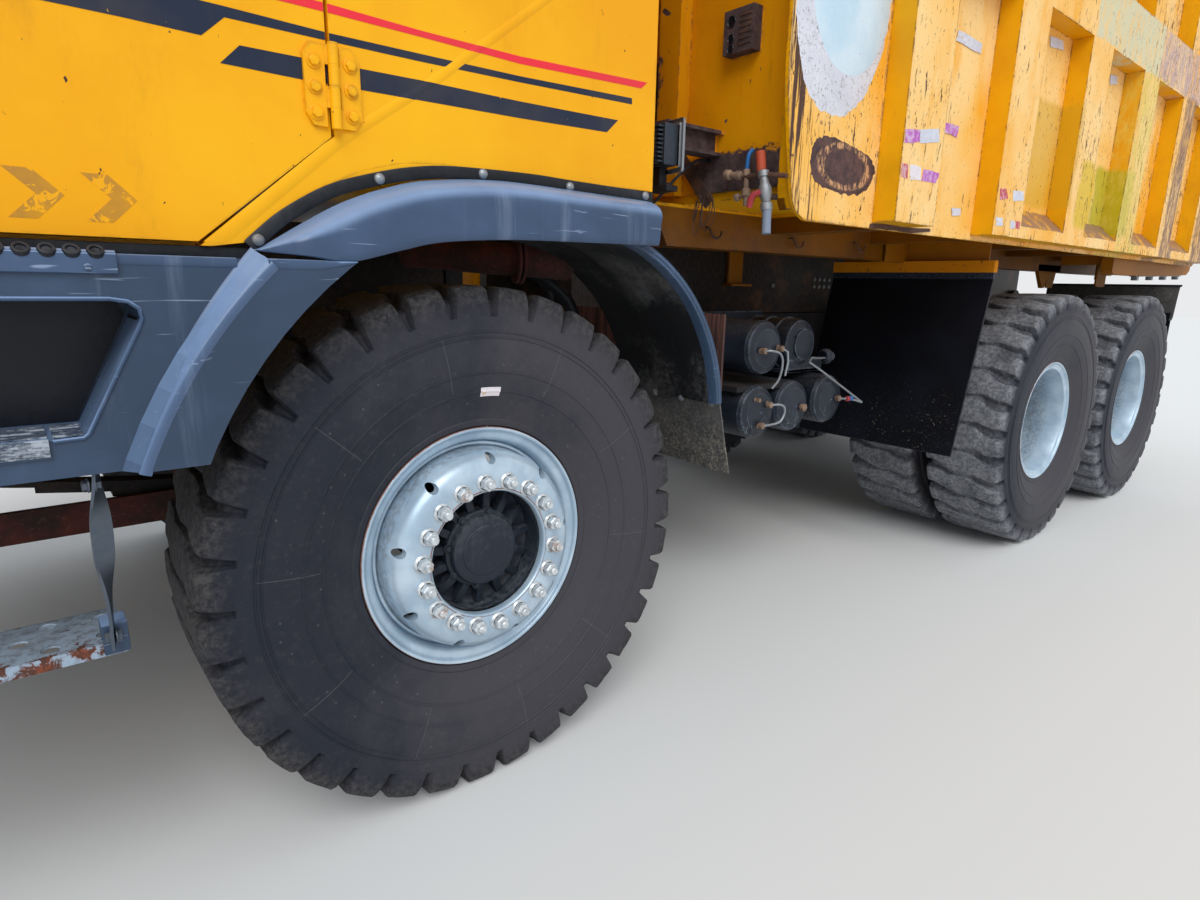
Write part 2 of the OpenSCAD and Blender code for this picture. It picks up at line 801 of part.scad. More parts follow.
module engine_block() {
    color(steel_black) from_axle() {
        union() {
            block([-350, -330, 880], [780, 330, 1500]);
            // Its cover stands over the rails and fills the room under the cab
            along_y(-540, 540) polygon([
                [-420, rail_top + 6], [780, rail_top + 6], [780, 1500], [560, 1510], [440, 1600], [290, 1690], [-420, 1690]
            ]);
            for (x = [-250, 680]) both_sides()
                block([x - 50, 329, rail_bottom + rail_t], [x + 50, rail_y - rail_t, rail_bottom + 90]);
        }
        union() {
            block([1600, -330, 1000], [1740, 330, 1540]);
            both_sides() block([1620, 329, rail_bottom + rail_t], [1720, rail_y - rail_t, rail_bottom + 90]);
        }
    }
}

module front_axle_beam() {
    color(steel_black) from_axle() difference() {
        union() {
            along_x(-60, 60) polygon([
                [-kingpin_y, axle_z - 70], [-kingpin_y, axle_z + 70], [-kingpin_y + 190, axle_z + 40],
                [-620, axle_z - 60], [620, axle_z - 60], [kingpin_y - 190, axle_z + 40],
                [kingpin_y, axle_z + 70], [kingpin_y, axle_z - 70], [kingpin_y - 180, axle_z - 73],
                [600, axle_z - 200], [-600, axle_z - 200], [-kingpin_y + 180, axle_z - 73]
            ]);
            both_sides() translate([0, kingpin_y, axle_z - 75]) cylinder(h = 150, r = 66);
        }
        both_sides() translate([0, kingpin_y, axle_z - 90]) cylinder(h = 180, r = 30 + bearing_gap);
    }
}

// Height of the main leaf's underside along the front spring
function leaf_z(x) = axle_z + 12 + 113 * pow(x / (x > 0 ? spring_front_x : -spring_rear_x), 2);

module leaf(i) {
    reach = 1 - 0.17 * i;
    xs = [for (k = [0:12]) reach * (spring_rear_x + (spring_front_x - spring_rear_x) * k / 12)];
    polygon(concat(
        [for (x = xs) [x, leaf_z(x) - 18 * i]],
        [for (k = [12:-1:0]) [xs[k], leaf_z(xs[k]) - 18 * i + 18.01]]
    ));
}

module front_springs() {
    color(steel_black) from_axle() both_sides() along_y(365, 455 - 10) {
        for (i = [0:3]) leaf(i);
        for (x = [spring_front_x, spring_rear_x]) translate([x - 35, spring_eye_z - 30]) square([70, 60]);
        translate([-60, axle_z - 60]) square([120, 40]);
    }
}

module rear_axles() {
    color(steel_black) from_axle() for (x = [rear1_x, rear2_x]) union() {
        bar_y(x, axle_z, -twin_mid_y + 140, twin_mid_y - 140, 130);
        both_sides() bar_y(x, axle_z, twin_mid_y - 145, twin_mid_y + 90, rear_spindle_r);
        translate([x, 0, axle_z]) sphere(r = 270);
        bar_x(0, axle_z + 20, x, x + 400, 110);
        if (x == rear1_x) bar_x(0, axle_z + 20, x - 320, x, 80);
        both_sides() block([x - 110, bogie_spring_y - 120, axle_z + 60], [x + 110, bogie_spring_y - 10, axle_z + 150]);
    }
}

module bogie_springs() {
    seat_z = axle_z + 150;
    color(steel_black) from_axle() both_sides() union() {
        for (i = [0:5])
            along_y(bogie_spring_y - 115, bogie_spring_y - 15)
                polygon([
                    [bogie_x - tandem / 2 - 80 + i * 120, seat_z + i * 24], [bogie_x + tandem / 2 + 80 - i * 120, seat_z + i * 24],
                    [bogie_x + tandem / 2 + 80 - i * 120, seat_z + i * 24 + 24], [bogie_x - tandem / 2 - 80 + i * 120, seat_z + i * 24 + 24]
                ]);
        difference() {
            along_y(bogie_spring_y - 125, bogie_spring_y - 5) polygon([
                [bogie_x - 170, seat_z + 1], [bogie_x - 100, trunnion_z - 90], [bogie_x + 100, trunnion_z - 90],
                [bogie_x + 170, seat_z + 1]
            ]);
            bar_y(bogie_x, trunnion_z, 0, bogie_spring_y + 50, 62 + bearing_gap);
        }
    }
}

module propeller_shafts() {
    front = [-350, 960];
    back = [rear1_x + 400, axle_z + 20];
    slope = atan2(front[1] - back[1], front[0] - back[0]);
    color(steel_black) from_axle() {
        union() {
            translate([back[0] + 30, 0, back[1]]) rotate([0, 90 - slope, 0]) cylinder(h = norm(front - back) - 60, r = 65);
            bar_x(0, front[1], front[0] - 60, front[0], 82);
            bar_x(0, back[1], back[0], back[0] + 60, 82);
        }
        bar_x(0, axle_z + 20, rear2_x + 400, rear1_x - 320, 60);
    }
}

// An air tank with domed ends, its axis across the truck
module air_tank(x, z) {
    translate([x, tank_in_y, z]) rotate([-90, 0, 0]) rotate_extrude() polygon(concat(
        [[0, 0], [tank_r * 0.7, 10], [tank_r - 8, 24], [tank_r, 40]],
        [[tank_r, tank_l - 40], [tank_r - 8, tank_l - 24], [tank_r * 0.7, tank_l - 10], [0, tank_l]]
    ));
}

module air_tanks() {
    color(steel_black) from_axle() {
        for (c = tank_centres) air_tank(c[0], c[1]);
        difference() {
            block([-2250, tank_in_y + 60, 830], [-1400, tank_in_y + 68, 1370]);
            for (c = tank_centres) bar_y(c[0], c[1], tank_in_y, tank_in_y + 100, tank_r - 0.01);
        }
        block([-2250, rail_y, 1090], [-1400, tank_in_y + 60, 1150]);
        // The shield plate behind the wheel arch
        block([-1010, rail_y, 1120], [-1000, 1540, 1400]);
    }
}

tank_r = 118;
tank_in_y = 670;
tank_l = 660;
tank_centres = [[-1528, 960], [-1785, 964], [-2068, 972], [-1551, 1240]];

module side_tanks() {
    rear = rear1_x + tyre_d / 2 + 585;
    color(steel_black) from_axle() {
        along_x(rear, -1240) polygon([
            [-1320, 880], [-1260, 820], [-660, 820], [-600, 880], [-600, 1320], [-660, 1380], [-1260, 1380], [-1320, 1320]
        ]);
        block([rear + 150, -600, 1100], [-1500, -rail_y, 1200]);
    }
}

silencer_x = cab_rear - 180;

module exhaust_silencer() {
    color(rust) from_axle() {
        translate([silencer_x, -820, rail_top - 80]) cylinder(h = 620, r = 130);
        translate([silencer_x, -820, rail_top + 540]) cylinder(h = cab_roof - rail_top - 590, r = 65);
        block([silencer_x - 40, -700, rail_top - 90], [silencer_x + 40, -rail_y, rail_top - 10]);
    }
}

mirror_x = cab_front - 210;

module mirrors() {
    color(steel_black) from_axle() both_sides() union() {
        block([mirror_x, cab_y, window_top - 130], [mirror_x + 40, cab_y + 300, window_top - 100]);
        block([mirror_x - 10, cab_y + 180, window_low + 40], [mirror_x + 50, cab_y + 420, window_top - 100]);
    }
}

module rear_mudflaps() {
    color(rubber) from_axle() both_sides() {
        block([frame_rear - 5, 780, 640], [frame_rear + 5, 1700, 1330]);
        block([frame_rear - 40, rail_y + 40, 1300], [frame_rear + 40, 1700, 1360]);
    }
}

// Steering

module knuckle(left) {
    color(steel_black) from_axle() on_side(left) union() {
        // The kingpin, the yoke over and under the beam's end, and the spindle
        translate([0, kingpin_y, axle_z - 128]) cylinder(h = 256, r = 30);
        for (z = [axle_z - 130, axle_z + 80]) block([-65, kingpin_y - 60, z], [65, kingpin_y + 130, z + 50]);
        block([-65, kingpin_y + 80, axle_z - 130], [65, kingpin_y + 130, axle_z + 130]);
        bar_y(0, axle_z, kingpin_y + 125, front_wheel_y + 55, spindle_r);
        // The steering arm runs back to the tie rod
        block([-steer_arm - 40, kingpin_y - 40, axle_z - 130], [-60, kingpin_y + 40, axle_z - 100]);
        translate([-steer_arm, kingpin_y, axle_z - 160]) cylinder(h = 40, r = 20);
    }
}

module tie_rod() {
    z = axle_z - 190;
    color(steel_black) from_axle() union() {
        bar_y(-steer_arm, z, -kingpin_y + 30, kingpin_y - 30, 26);
        both_sides() translate([-steer_arm, kingpin_y, z - 30]) cylinder(h = 60 - bearing_gap, r = 36);
    }
}

// Dump body

module side_plate_outline() {
    polygon(concat(
        arc(body_front - 90, side_low + 90, 90, -90, 0, 8),
        [
            [body_front, body_top], [body_rear, body_top], [body_rear, side_low + tail_rise + 30],
            [tail_bend_x, side_low]
        ]
    ));
}

// The rib's outline across the truck is a plain box; its foot is cut back where the tail rises
module body_side(left) {
    color(yellow) from_axle() on_side(left) union() {
        along_y(side_in_y, side_y) side_plate_outline();
        // The corner post
        along_y(side_y - post_w, side_y) intersection() {
            side_plate_outline();
            translate([wall_x, side_low]) square([post_reach, body_top - side_low]);
        }
        for (i = [0:6]) let (x = rib_xs[i])
            block([x - rib_w, side_y - 1, i == 6 ? side_low + tail_rise + 40 : rib_low], [x, body_y, body_top - 10]);
        along_x(tail_bend_x, first_rib - rib_pitch) polygon([
            [side_y - 1, rib_low], [body_y, rib_low], [body_y, rib_low + sill_h],
            [side_y, rib_low + sill_h + sill_slope_h], [side_y - 1, rib_low + sill_h + sill_slope_h]
        ]);
        block([body_rear, side_y - 1, mid_rail_low], [first_rib, body_y, mid_rail_top]);
        block([body_rear, side_y - 1, body_top - top_rail_h], [first_rib, body_y, body_top]);
    }
}

module floor_outline() {
    rise = tail_rise * (tail_bend_x - body_rear + tail_reach) / (tail_bend_x - body_rear);
    tail_x = body_rear - tail_reach;
    polygon([
        [wall_x, load_floor], [wall_x, floor_low], [tail_bend_x, floor_low],
        [tail_x, floor_low + rise], [tail_x, load_floor + rise], [tail_bend_x, load_floor]
    ]);
}

// The floor plate with the cross members under it, cut where the long beams run
module body_floor() {
    color(yellow) from_axle() union() {
        along_y(-side_in_y, side_in_y) floor_outline();
        for (x = rib_xs)
            if (x > tail_bend_x + 200) {
                block([x - 200, -beam_out + beam_w, floor_low - member_h], [x - 80, beam_out - beam_w, floor_low + 1]);
                both_sides() block([x - 200, beam_out, floor_low - member_h], [x - 80, side_in_y - 20, floor_low + 1]);
            }
    }
}

// The long beams under the floor, and the runners that rest along the frame and carry the hinge
module body_beams() {
    color(yellow) from_axle() both_sides() {
        along_y(beam_out - beam_w, beam_out) polygon([
            [wall_x + 170, floor_low], [wall_x + 80, beam_low], [tail_bend_x, beam_low], [tail_bend_x - 60, floor_low]
        ]);
        difference() {
            block([hinge_x - 120, runner_in, runner_low], [wall_x, rail_y - 6, floor_low - member_h]);
            bar_y(hinge_x, hinge_z, runner_in - 10, rail_y, hinge_r + 0.5);
        }
    }
}

module body_front_wall() {
    top = body_top + 1;
    color(yellow) from_axle() union() {
        block([wall_x - body_plate, -side_in_y, load_floor], [wall_x, side_in_y, top]);
        // Upright ribs, a foot strip that leaves the hoist room, and a stub beam on each side
        both_sides() {
            for (y = [ridge_y - 110, 420]) block([wall_x - 1, y, load_floor], [wall_x + 60, y + 110, top]);
            block([wall_x - 1, 200, load_floor], [wall_x + 16, side_y - post_w - 4, load_floor + 130]);
            along_x(wall_x - 1, wall_x + 290) polygon([
                [1290, 1965], [1360, 1965], [1360, 1977], [1331, 1977], [1331, 2041], [1360, 2041], [1360, 2053],
                [1290, 2053], [1290, 2041], [1319, 2041], [1319, 1977], [1290, 1977]
            ]);
            block([wall_x - 1, 1377, 2290], [wall_x + 50, 1507, 2430]);
        }
        // The canopy over the cab, with its ribs and side wings
        block([wall_x - body_plate, -side_in_y, body_top], [body_front + canopy_reach, side_in_y, body_top + canopy_t]);
        for (i = [0:4])
            block([body_front + 120 + i * 480, -side_in_y, body_top + canopy_t - 1], [body_front + 200 + i * 480, side_in_y, body_top + canopy_t + 70]);
        both_sides() along_y(side_in_y - 20, side_in_y) polygon([
            [body_front, wing_low_z], [body_front, top], [body_front + canopy_reach, top],
            [body_front + canopy_reach, body_top - 100]
        ]);
        // The ears that hold the hoist's upper eye
        both_sides() along_y(eye_w / 2 + bracket_gap, eye_w / 2 + bracket_gap + 30) polygon([
            [wall_x - 1, bracket_z - 220], [hoist_x + 70, bracket_z - 70], [hoist_x + 70, bracket_z + 70],
            [wall_x - 1, bracket_z + 160]
        ]);
    }
}

module body_mudflaps() {
    flap_x = rear1_x + tyre_d / 2 + 135;
    color(rubber) from_axle() both_sides() {
        along_y(750, 1665) polygon([
            [flap_x, 1560], [flap_x + 220, 665], [flap_x + 232, 668], [flap_x + 12, 1560]
        ]);
        block([flap_x - 20, 750, 1560], [flap_x + 20, 1665, beam_low]);
    }
}

// Hoist

module tube(i, low, top) {
    translate([hoist_x, 0, low]) difference() {
        cylinder(h = top - low, r = tube_rs[i]);
        translate([0, 0, 20]) cylinder(h = top - low, r = tube_rs[i] - tube_wall);
    }
}

module hoist_barrel() {
    color(yellow) from_axle() difference() {
        union() {
            tube(0, tube_low, tube_top);
            bar_y(hoist_x, hoist_z, -145, 145, 62);
            block([hoist_x - 62, -100, hoist_z], [hoist_x + 62, 100, tube_low + 4]);
        }
        bar_y(hoist_x, hoist_z, -160, 160, 35 + bearing_gap);
    }
}

module hoist_stage(i) {
    low = tube_low + 20 + i * (20 + tube_gap);
    top = tube_top + i * tube_step;
    color(silver) from_axle() {
        if (i < 4) tube(i, low, top);
        else union() {
            translate([hoist_x, 0, low]) cylinder(h = bracket_z - low, r = tube_rs[i]);
            difference() {
                bar_y(hoist_x, bracket_z, -eye_w / 2, eye_w / 2, 66);
                bar_y(hoist_x, bracket_z, -eye_w / 2 - 5, eye_w / 2 + 5, 34);
            }
        }
    }
}

frame_rails();
cross_members();
frame_brackets();
front_bumper();
front_grille();
cab_shell();
cab_glass();
cab_seats();
dashboard();
step_panels();
hanging_steps();
front_fenders();
engine_block();
front_axle_beam();
front_springs();
rear_axles();
bogie_springs();
propeller_shafts();
air_tanks();
side_tanks();
exhaust_silencer();
mirrors();
lamps();
rear_mudflaps();
door(true);  // door_left
door_glass(true);  // door_glass_left
door(false);  // door_right
door_glass(false);  // door_glass_right
knuckle(true);  // knuckle_left
knuckle(false);  // knuckle_right
tie_rod();
from_axle() tyre(0, front_wheel_y);  // tyre_front_left
from_axle() front_rim();  // rim_front_left
from_axle() on_side(false) tyre(0, front_wheel_y);  // tyre_front_right
from_axle() on_side(false) front_rim();  // rim_front_right
from_axle() twin_tyres(rear1_x);  // tyres_rear1_left
from_axle() rear_rims(rear1_x);  // rims_rear1_left
from_axle() on_side(false) twin_tyres(rear1_x);  // tyres_rear1_right
from_axle() on_side(false) rear_rims(rear1_x);  // rims_rear1_right
from_axle() twin_tyres(rear2_x);  // tyres_rear2_left
from_axle() rear_rims(rear2_x);  // rims_rear2_left
from_axle() on_side(false) twin_tyres(rear2_x);  // tyres_rear2_right
from_axle() on_side(false) rear_rims(rear2_x);  // rims_rear2_right
body_floor();
body_beams();
body_side(true);  // body_side_left
body_side(false);  // body_side_right
body_front_wall();
body_mudflaps();
hoist_barrel();
hoist_stage(1);  // hoist_stage_1
hoist_stage(2);  // hoist_stage_2
hoist_stage(3);  // hoist_stage_3
hoist_stage(4);  // hoist_stage_4
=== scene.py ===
import math
from math import cos, pi, radians, sin

import bmesh
import bpy
from mathutils import Matrix, Vector, noise


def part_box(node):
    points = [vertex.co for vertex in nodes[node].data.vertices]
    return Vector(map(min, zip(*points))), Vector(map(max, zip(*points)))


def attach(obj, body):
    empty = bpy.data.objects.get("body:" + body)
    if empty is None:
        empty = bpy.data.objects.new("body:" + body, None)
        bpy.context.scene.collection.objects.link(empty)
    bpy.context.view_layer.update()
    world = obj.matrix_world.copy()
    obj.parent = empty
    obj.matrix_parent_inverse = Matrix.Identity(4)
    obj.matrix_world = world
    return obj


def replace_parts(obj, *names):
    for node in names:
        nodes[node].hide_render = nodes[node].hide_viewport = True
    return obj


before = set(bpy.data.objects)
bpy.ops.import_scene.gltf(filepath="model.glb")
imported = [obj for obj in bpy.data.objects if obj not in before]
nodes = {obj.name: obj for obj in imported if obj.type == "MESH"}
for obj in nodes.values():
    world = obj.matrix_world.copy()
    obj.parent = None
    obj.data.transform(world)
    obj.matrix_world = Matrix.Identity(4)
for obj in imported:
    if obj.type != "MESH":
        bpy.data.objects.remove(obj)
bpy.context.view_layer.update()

wheel_low, wheel_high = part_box("rim_front_left")
AX = (wheel_low.x + wheel_high.x) / 2
AZ = (wheel_low.z + wheel_high.z) / 2


def at(x, y, z):
    """A place given in metres from the front axle, the middle plane and the ground."""
    return Vector((AX + x, y, z))


# Camera, light and floor

def add_camera():
    yaw, pitch, roll = (radians(a) for a in (-39.77, 13.14, 1.12))
    look = Vector((sin(yaw) * cos(pitch), -cos(yaw) * cos(pitch), -sin(pitch)))
    right = look.cross(Vector((0, 0, 1))).normalized()
    up = right.cross(look)
    r = right * cos(roll) + up * sin(roll)
    u = up * cos(roll) - right * sin(roll)
    data = bpy.data.cameras.new("photo_camera")
    data.lens, data.sensor_width, data.sensor_fit = 21.345, 36.0, "HORIZONTAL"
    data.clip_end = 200
    cam = bpy.data.objects.new("photo_camera", data)
    turn = Matrix((r, u, -look)).transposed().to_4x4()
    cam.matrix_world = Matrix.Translation(at(0.986, 3.248, 1.498)) @ turn
    bpy.context.scene.collection.objects.link(cam)
    bpy.context.scene.camera = cam


def add_stage():
    bpy.ops.mesh.primitive_plane_add(size=120, location=(0, 0, -0.002))
    floor = bpy.context.object
    floor.name = "floor"
    mat = bpy.data.materials.new("floor")
    mat.use_nodes = True
    mat.node_tree.nodes["Principled BSDF"].inputs["Base Color"].default_value = (0.72, 0.72, 0.71, 1)
    mat.node_tree.nodes["Principled BSDF"].inputs["Roughness"].default_value = 0.9
    floor.data.materials.append(mat)
    world = bpy.data.worlds.new("studio")
    bpy.context.scene.world = world
    world.use_nodes = True
    tree = world.node_tree
    back = tree.nodes["Background"]
    back.inputs["Color"].default_value = (0.88, 0.94, 1.0, 1)
    back.inputs["Strength"].default_value = 0.82
    plain = tree.nodes.new("ShaderNodeBackground")
    plain.inputs["Color"].default_value = (0.82, 0.83, 0.84, 1)
    path = tree.nodes.new("ShaderNodeLightPath")
    mix = tree.nodes.new("ShaderNodeMixShader")
    seen = path.outputs["Is Camera Ray"]
    for ray in ("Is Glossy Ray", "Is Transmission Ray"):
        either = tree.nodes.new("ShaderNodeMath")
        either.operation = "MAXIMUM"
        tree.links.new(seen, either.inputs[0])
        tree.links.new(path.outputs[ray], either.inputs[1])
        seen = either.outputs[0]
    tree.links.new(seen, mix.inputs[0])
    tree.links.new(back.outputs[0], mix.inputs[1])
    tree.links.new(plain.outputs[0], mix.inputs[2])
    tree.links.new(mix.outputs[0], tree.nodes["World Output"].inputs["Surface"])
    sun = bpy.data.lights.new("sun", "SUN")
    sun.energy = 1.8
    sun.angle = radians(40)
    o = bpy.data.objects.new("sun", sun)
    o.rotation_euler = (radians(-36), radians(30), 0)
    bpy.context.scene.collection.objects.link(o)


# Materials

def srgb(r, g, b):
    """A colour as it shows on screen, 0 to 255, as the linear colour that Blender takes."""
    return tuple((c / 3294.6 if c <= 10.31 else ((c / 255 + 0.055) / 1.055) ** 2.4)
                 for c in (r, g, b)) + (1.0,)


class Look:
    """One procedural material, built from nodes. Coordinates are the object's own, in metres."""

    def __init__(self, name, rough=0.6, metal=0.0, shine=0.5):
        self.mat = bpy.data.materials.new(name)
        self.mat.use_nodes = True
        self.tree = self.mat.node_tree
        self.bsdf = self.tree.nodes["Principled BSDF"]
        self.bsdf.inputs["Roughness"].default_value = rough
        self.bsdf.inputs["Metallic"].default_value = metal
        self.bsdf.inputs["Specular IOR Level"].default_value = shine
        self.place = self.node("ShaderNodeTexCoord").outputs["Object"]

    def node(self, kind, inputs=None, **attrs):
        n = self.tree.nodes.new(kind)
        for k, v in attrs.items():
            setattr(n, k, v)
        for k, v in (inputs or {}).items():
            self.put(n.inputs[k], v)
        return n

    def put(self, socket, value):
        if isinstance(value, bpy.types.NodeSocket):
            self.tree.links.new(value, socket)
        else:
            socket.default_value = value

    def math(self, op, a, b=0.0, clamp=False):
        return self.node("ShaderNodeMath", {0: a, 1: b}, operation=op, use_clamp=clamp).outputs[0]

    def noise(self, scale, detail=5.0, rough=0.6, stretch=(1, 1, 1), shift=(0, 0, 0), warp=0.0):
        m = self.node("ShaderNodeMapping", {"Vector": self.place, "Scale": stretch, "Location": shift})
        return self.node("ShaderNodeTexNoise", {"Vector": m.outputs[0], "Scale": scale, "Detail": detail,
                                                "Roughness": rough, "Distortion": warp}).outputs["Fac"]

    def cells(self, scale, stretch=(1, 1, 1), feature="F1"):
        m = self.node("ShaderNodeMapping", {"Vector": self.place, "Scale": stretch})
        return self.node("ShaderNodeTexVoronoi", {"Vector": m.outputs[0], "Scale": scale},
                         feature=feature).outputs["Distance"]

    def step(self, value, low, high, a=0.0, b=1.0):
        """a below low, b above high, and a smooth change between."""
        return self.node("ShaderNodeMapRange", {0: value, 1: low, 2: high, 3: a, 4: b},
                         interpolation_type="SMOOTHSTEP").outputs[0]

    def band(self, value, low, high, soft):
        """1 between low and high, 0 outside."""
        return self.math("MULTIPLY", self.step(value, low - soft, low + soft),
                         self.step(value, high - soft, high + soft, 1.0, 0.0))

    def both(self, a, b):
        return self.math("MULTIPLY", a, b)

    def plus(self, a, b, clamp=False):
        return self.math("ADD", a, b, clamp)

    def minus(self, a, b):
        return self.math("SUBTRACT", a, b)

    def most(self, a, b):
        return self.math("MAXIMUM", a, b)

    def size(self, a):
        return self.math("ABSOLUTE", a)

    def radius(self, a, b):
        """The distance from the middle, for two coordinates."""
        return self.math("POWER", self.plus(self.math("POWER", a, 2.0), self.math("POWER", b, 2.0)), 0.5)

    def mix(self, share, a, b, how="MIX"):
        return self.node("ShaderNodeMix", {0: share, 6: a, 7: b}, data_type="RGBA", blend_type=how).outputs[2]

    def xyz(self):
        s = self.node("ShaderNodeSeparateXYZ", {0: self.place}).outputs
        return s[0], s[1], s[2]

    def facing(self):
        """The surface's normal, as three numbers from -1 to 1."""
        g = self.node("ShaderNodeNewGeometry").outputs["Normal"]
        s = self.node("ShaderNodeSeparateXYZ", {0: g}).outputs
        return s[0], s[1], s[2]

    def edges(self, radius=0.012, sharp=0.06):
        """1 on the object's edges, 0 away from them."""
        soft = self.node("ShaderNodeBevel", {"Radius": radius}, samples=4).outputs[0]
        hard = self.node("ShaderNodeNewGeometry").outputs["Normal"]
        dot = self.node("ShaderNodeVectorMath", {0: soft, 1: hard}, operation="DOT_PRODUCT").outputs["Value"]
        return self.step(dot, 1 - sharp, 1 - sharp * 0.15, 1.0, 0.0)

    def bump(self, height, strength=0.3, distance=0.003):
        b = self.node("ShaderNodeBump", {"Height": height, "Strength": strength,
                                         "Distance": distance}).outputs[0]
        self.put(self.bsdf.inputs["Normal"], b)
        return self

    def colour(self, value):
        self.put(self.bsdf.inputs["Base Color"], value)
        return self

    def rough(self, value):
        self.put(self.bsdf.inputs["Roughness"], value)
        return self


def dusty(name, base, dust=srgb(112, 104, 96), amount=0.5, rough=0.6, metal=0.0, grain=60.0, top=0.5,
          shine=0.3):
    """Paint, plastic or rubber with dust that gathers on what faces up."""
    k = Look(name, rough, metal, shine)
    cloud = k.noise(3.2, 6, 0.62)
    fine = k.noise(grain, 4, 0.7)
    up = k.step(k.facing()[2], 0.1, 0.9, 0.0, top)
    share = k.both(k.step(k.plus(k.both(cloud, 0.7), k.both(fine, 0.3)), 0.46, 0.68), amount)
    share = k.plus(share, k.both(up, k.step(fine, 0.3, 0.65)), clamp=True)
    k.colour(k.mix(share, base, dust))
    k.rough(k.step(share, 0.0, 1.0, rough, 0.92))
    k.bump(fine, 0.25, 0.002)
    return k


def painted(name, base, light, rust=srgb(72, 50, 42), wear=0.5, rough=0.42):
    """Sheet-metal paint with faded clouds, dirt, small chips and rubbed edges."""
    k = Look(name, rough, 0.0, 0.25)
    cloud = k.noise(1.3, 5, 0.6)
    grime = k.noise(7.0, 6, 0.7, stretch=(1, 1, 0.35))
    chips = k.noise(48.0, 3, 0.75, stretch=(1, 1, 0.6))
    tone = k.mix(k.step(cloud, 0.35, 0.7), base, light)
    tone = k.mix(k.step(grime, 0.56, 0.8, 0.0, 0.3), tone, srgb(150, 100, 30))
    bare = k.step(chips, 0.735 - 0.05 * wear, 0.755 - 0.04 * wear)
    rub = k.both(k.edges(0.01), k.step(k.noise(20.0, 4, 0.7), 0.42, 0.62, 0.0, wear))
    bare = k.most(bare, rub)
    k.colour(k.mix(bare, tone, rust))
    k.rough(k.mix(bare, (rough,) * 3 + (1,), (0.8,) * 3 + (1,)))
    k.bump(k.plus(k.both(cloud, 2.0), k.minus(k.both(grime, 0.5), k.both(bare, 0.4))), 0.15, 0.004)
    return k


# Mesh helpers

def mesh_of(name, verts, faces, check=False):
    """A mesh whose faces all look outwards."""
    me = bpy.data.meshes.new(name)
    me.from_pydata([tuple(v) for v in verts], [], faces)
    if check:
        me.validate()
        me.update()
    bm = bmesh.new()
    bm.from_mesh(me)
    bmesh.ops.recalc_face_normals(bm, faces=bm.faces)
    bm.to_mesh(me)
    bm.free()
    return me


def cut_away(name, me, kit, overlaps=False):
    tool = bpy.data.meshes.new(name + "_tool")
    tool.from_pydata([tuple(v) for v in kit.v], [], kit.f)
    objs = [bpy.data.objects.new(name + "_cut", me), bpy.data.objects.new(name + "_cutter", tool)]
    for o in objs:
        bpy.context.scene.collection.objects.link(o)
    mod = objs[0].modifiers.new("cut", "BOOLEAN")
    mod.object, mod.operation, mod.solver = objs[1], "DIFFERENCE", "EXACT"
    mod.use_self = overlaps
    bpy.context.view_layer.update()
    me = bpy.data.meshes.new_from_object(objs[0].evaluated_get(bpy.context.evaluated_depsgraph_get()))
    me.name = name
    for o in objs:
        bpy.data.objects.remove(o)
    return me


def piece(name, verts, faces, look, body, smooth=35, origin=None):
    return place(name, mesh_of(name, verts, faces, check=True), look, body, smooth, origin)


def place(name, me, look, body, smooth=35, origin=None):
    o = bpy.data.objects.new(name, me)
    if origin is not None:
        o.location = origin
    bpy.context.scene.collection.objects.link(o)
    if look is not None:
        me.materials.clear()
        me.materials.append(look.mat)
    if smooth:
        me.shade_smooth()
        me.set_sharp_from_angle(angle=radians(smooth))
    bpy.context.view_layer.update()
    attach(o, body)
    return o


def quad(n, row, other, i):
    """The face between two closed rows of n points, from their point i on."""
    j = (i + 1) % n
    return (row * n + i, row * n + j, other * n + j, other * n + i)


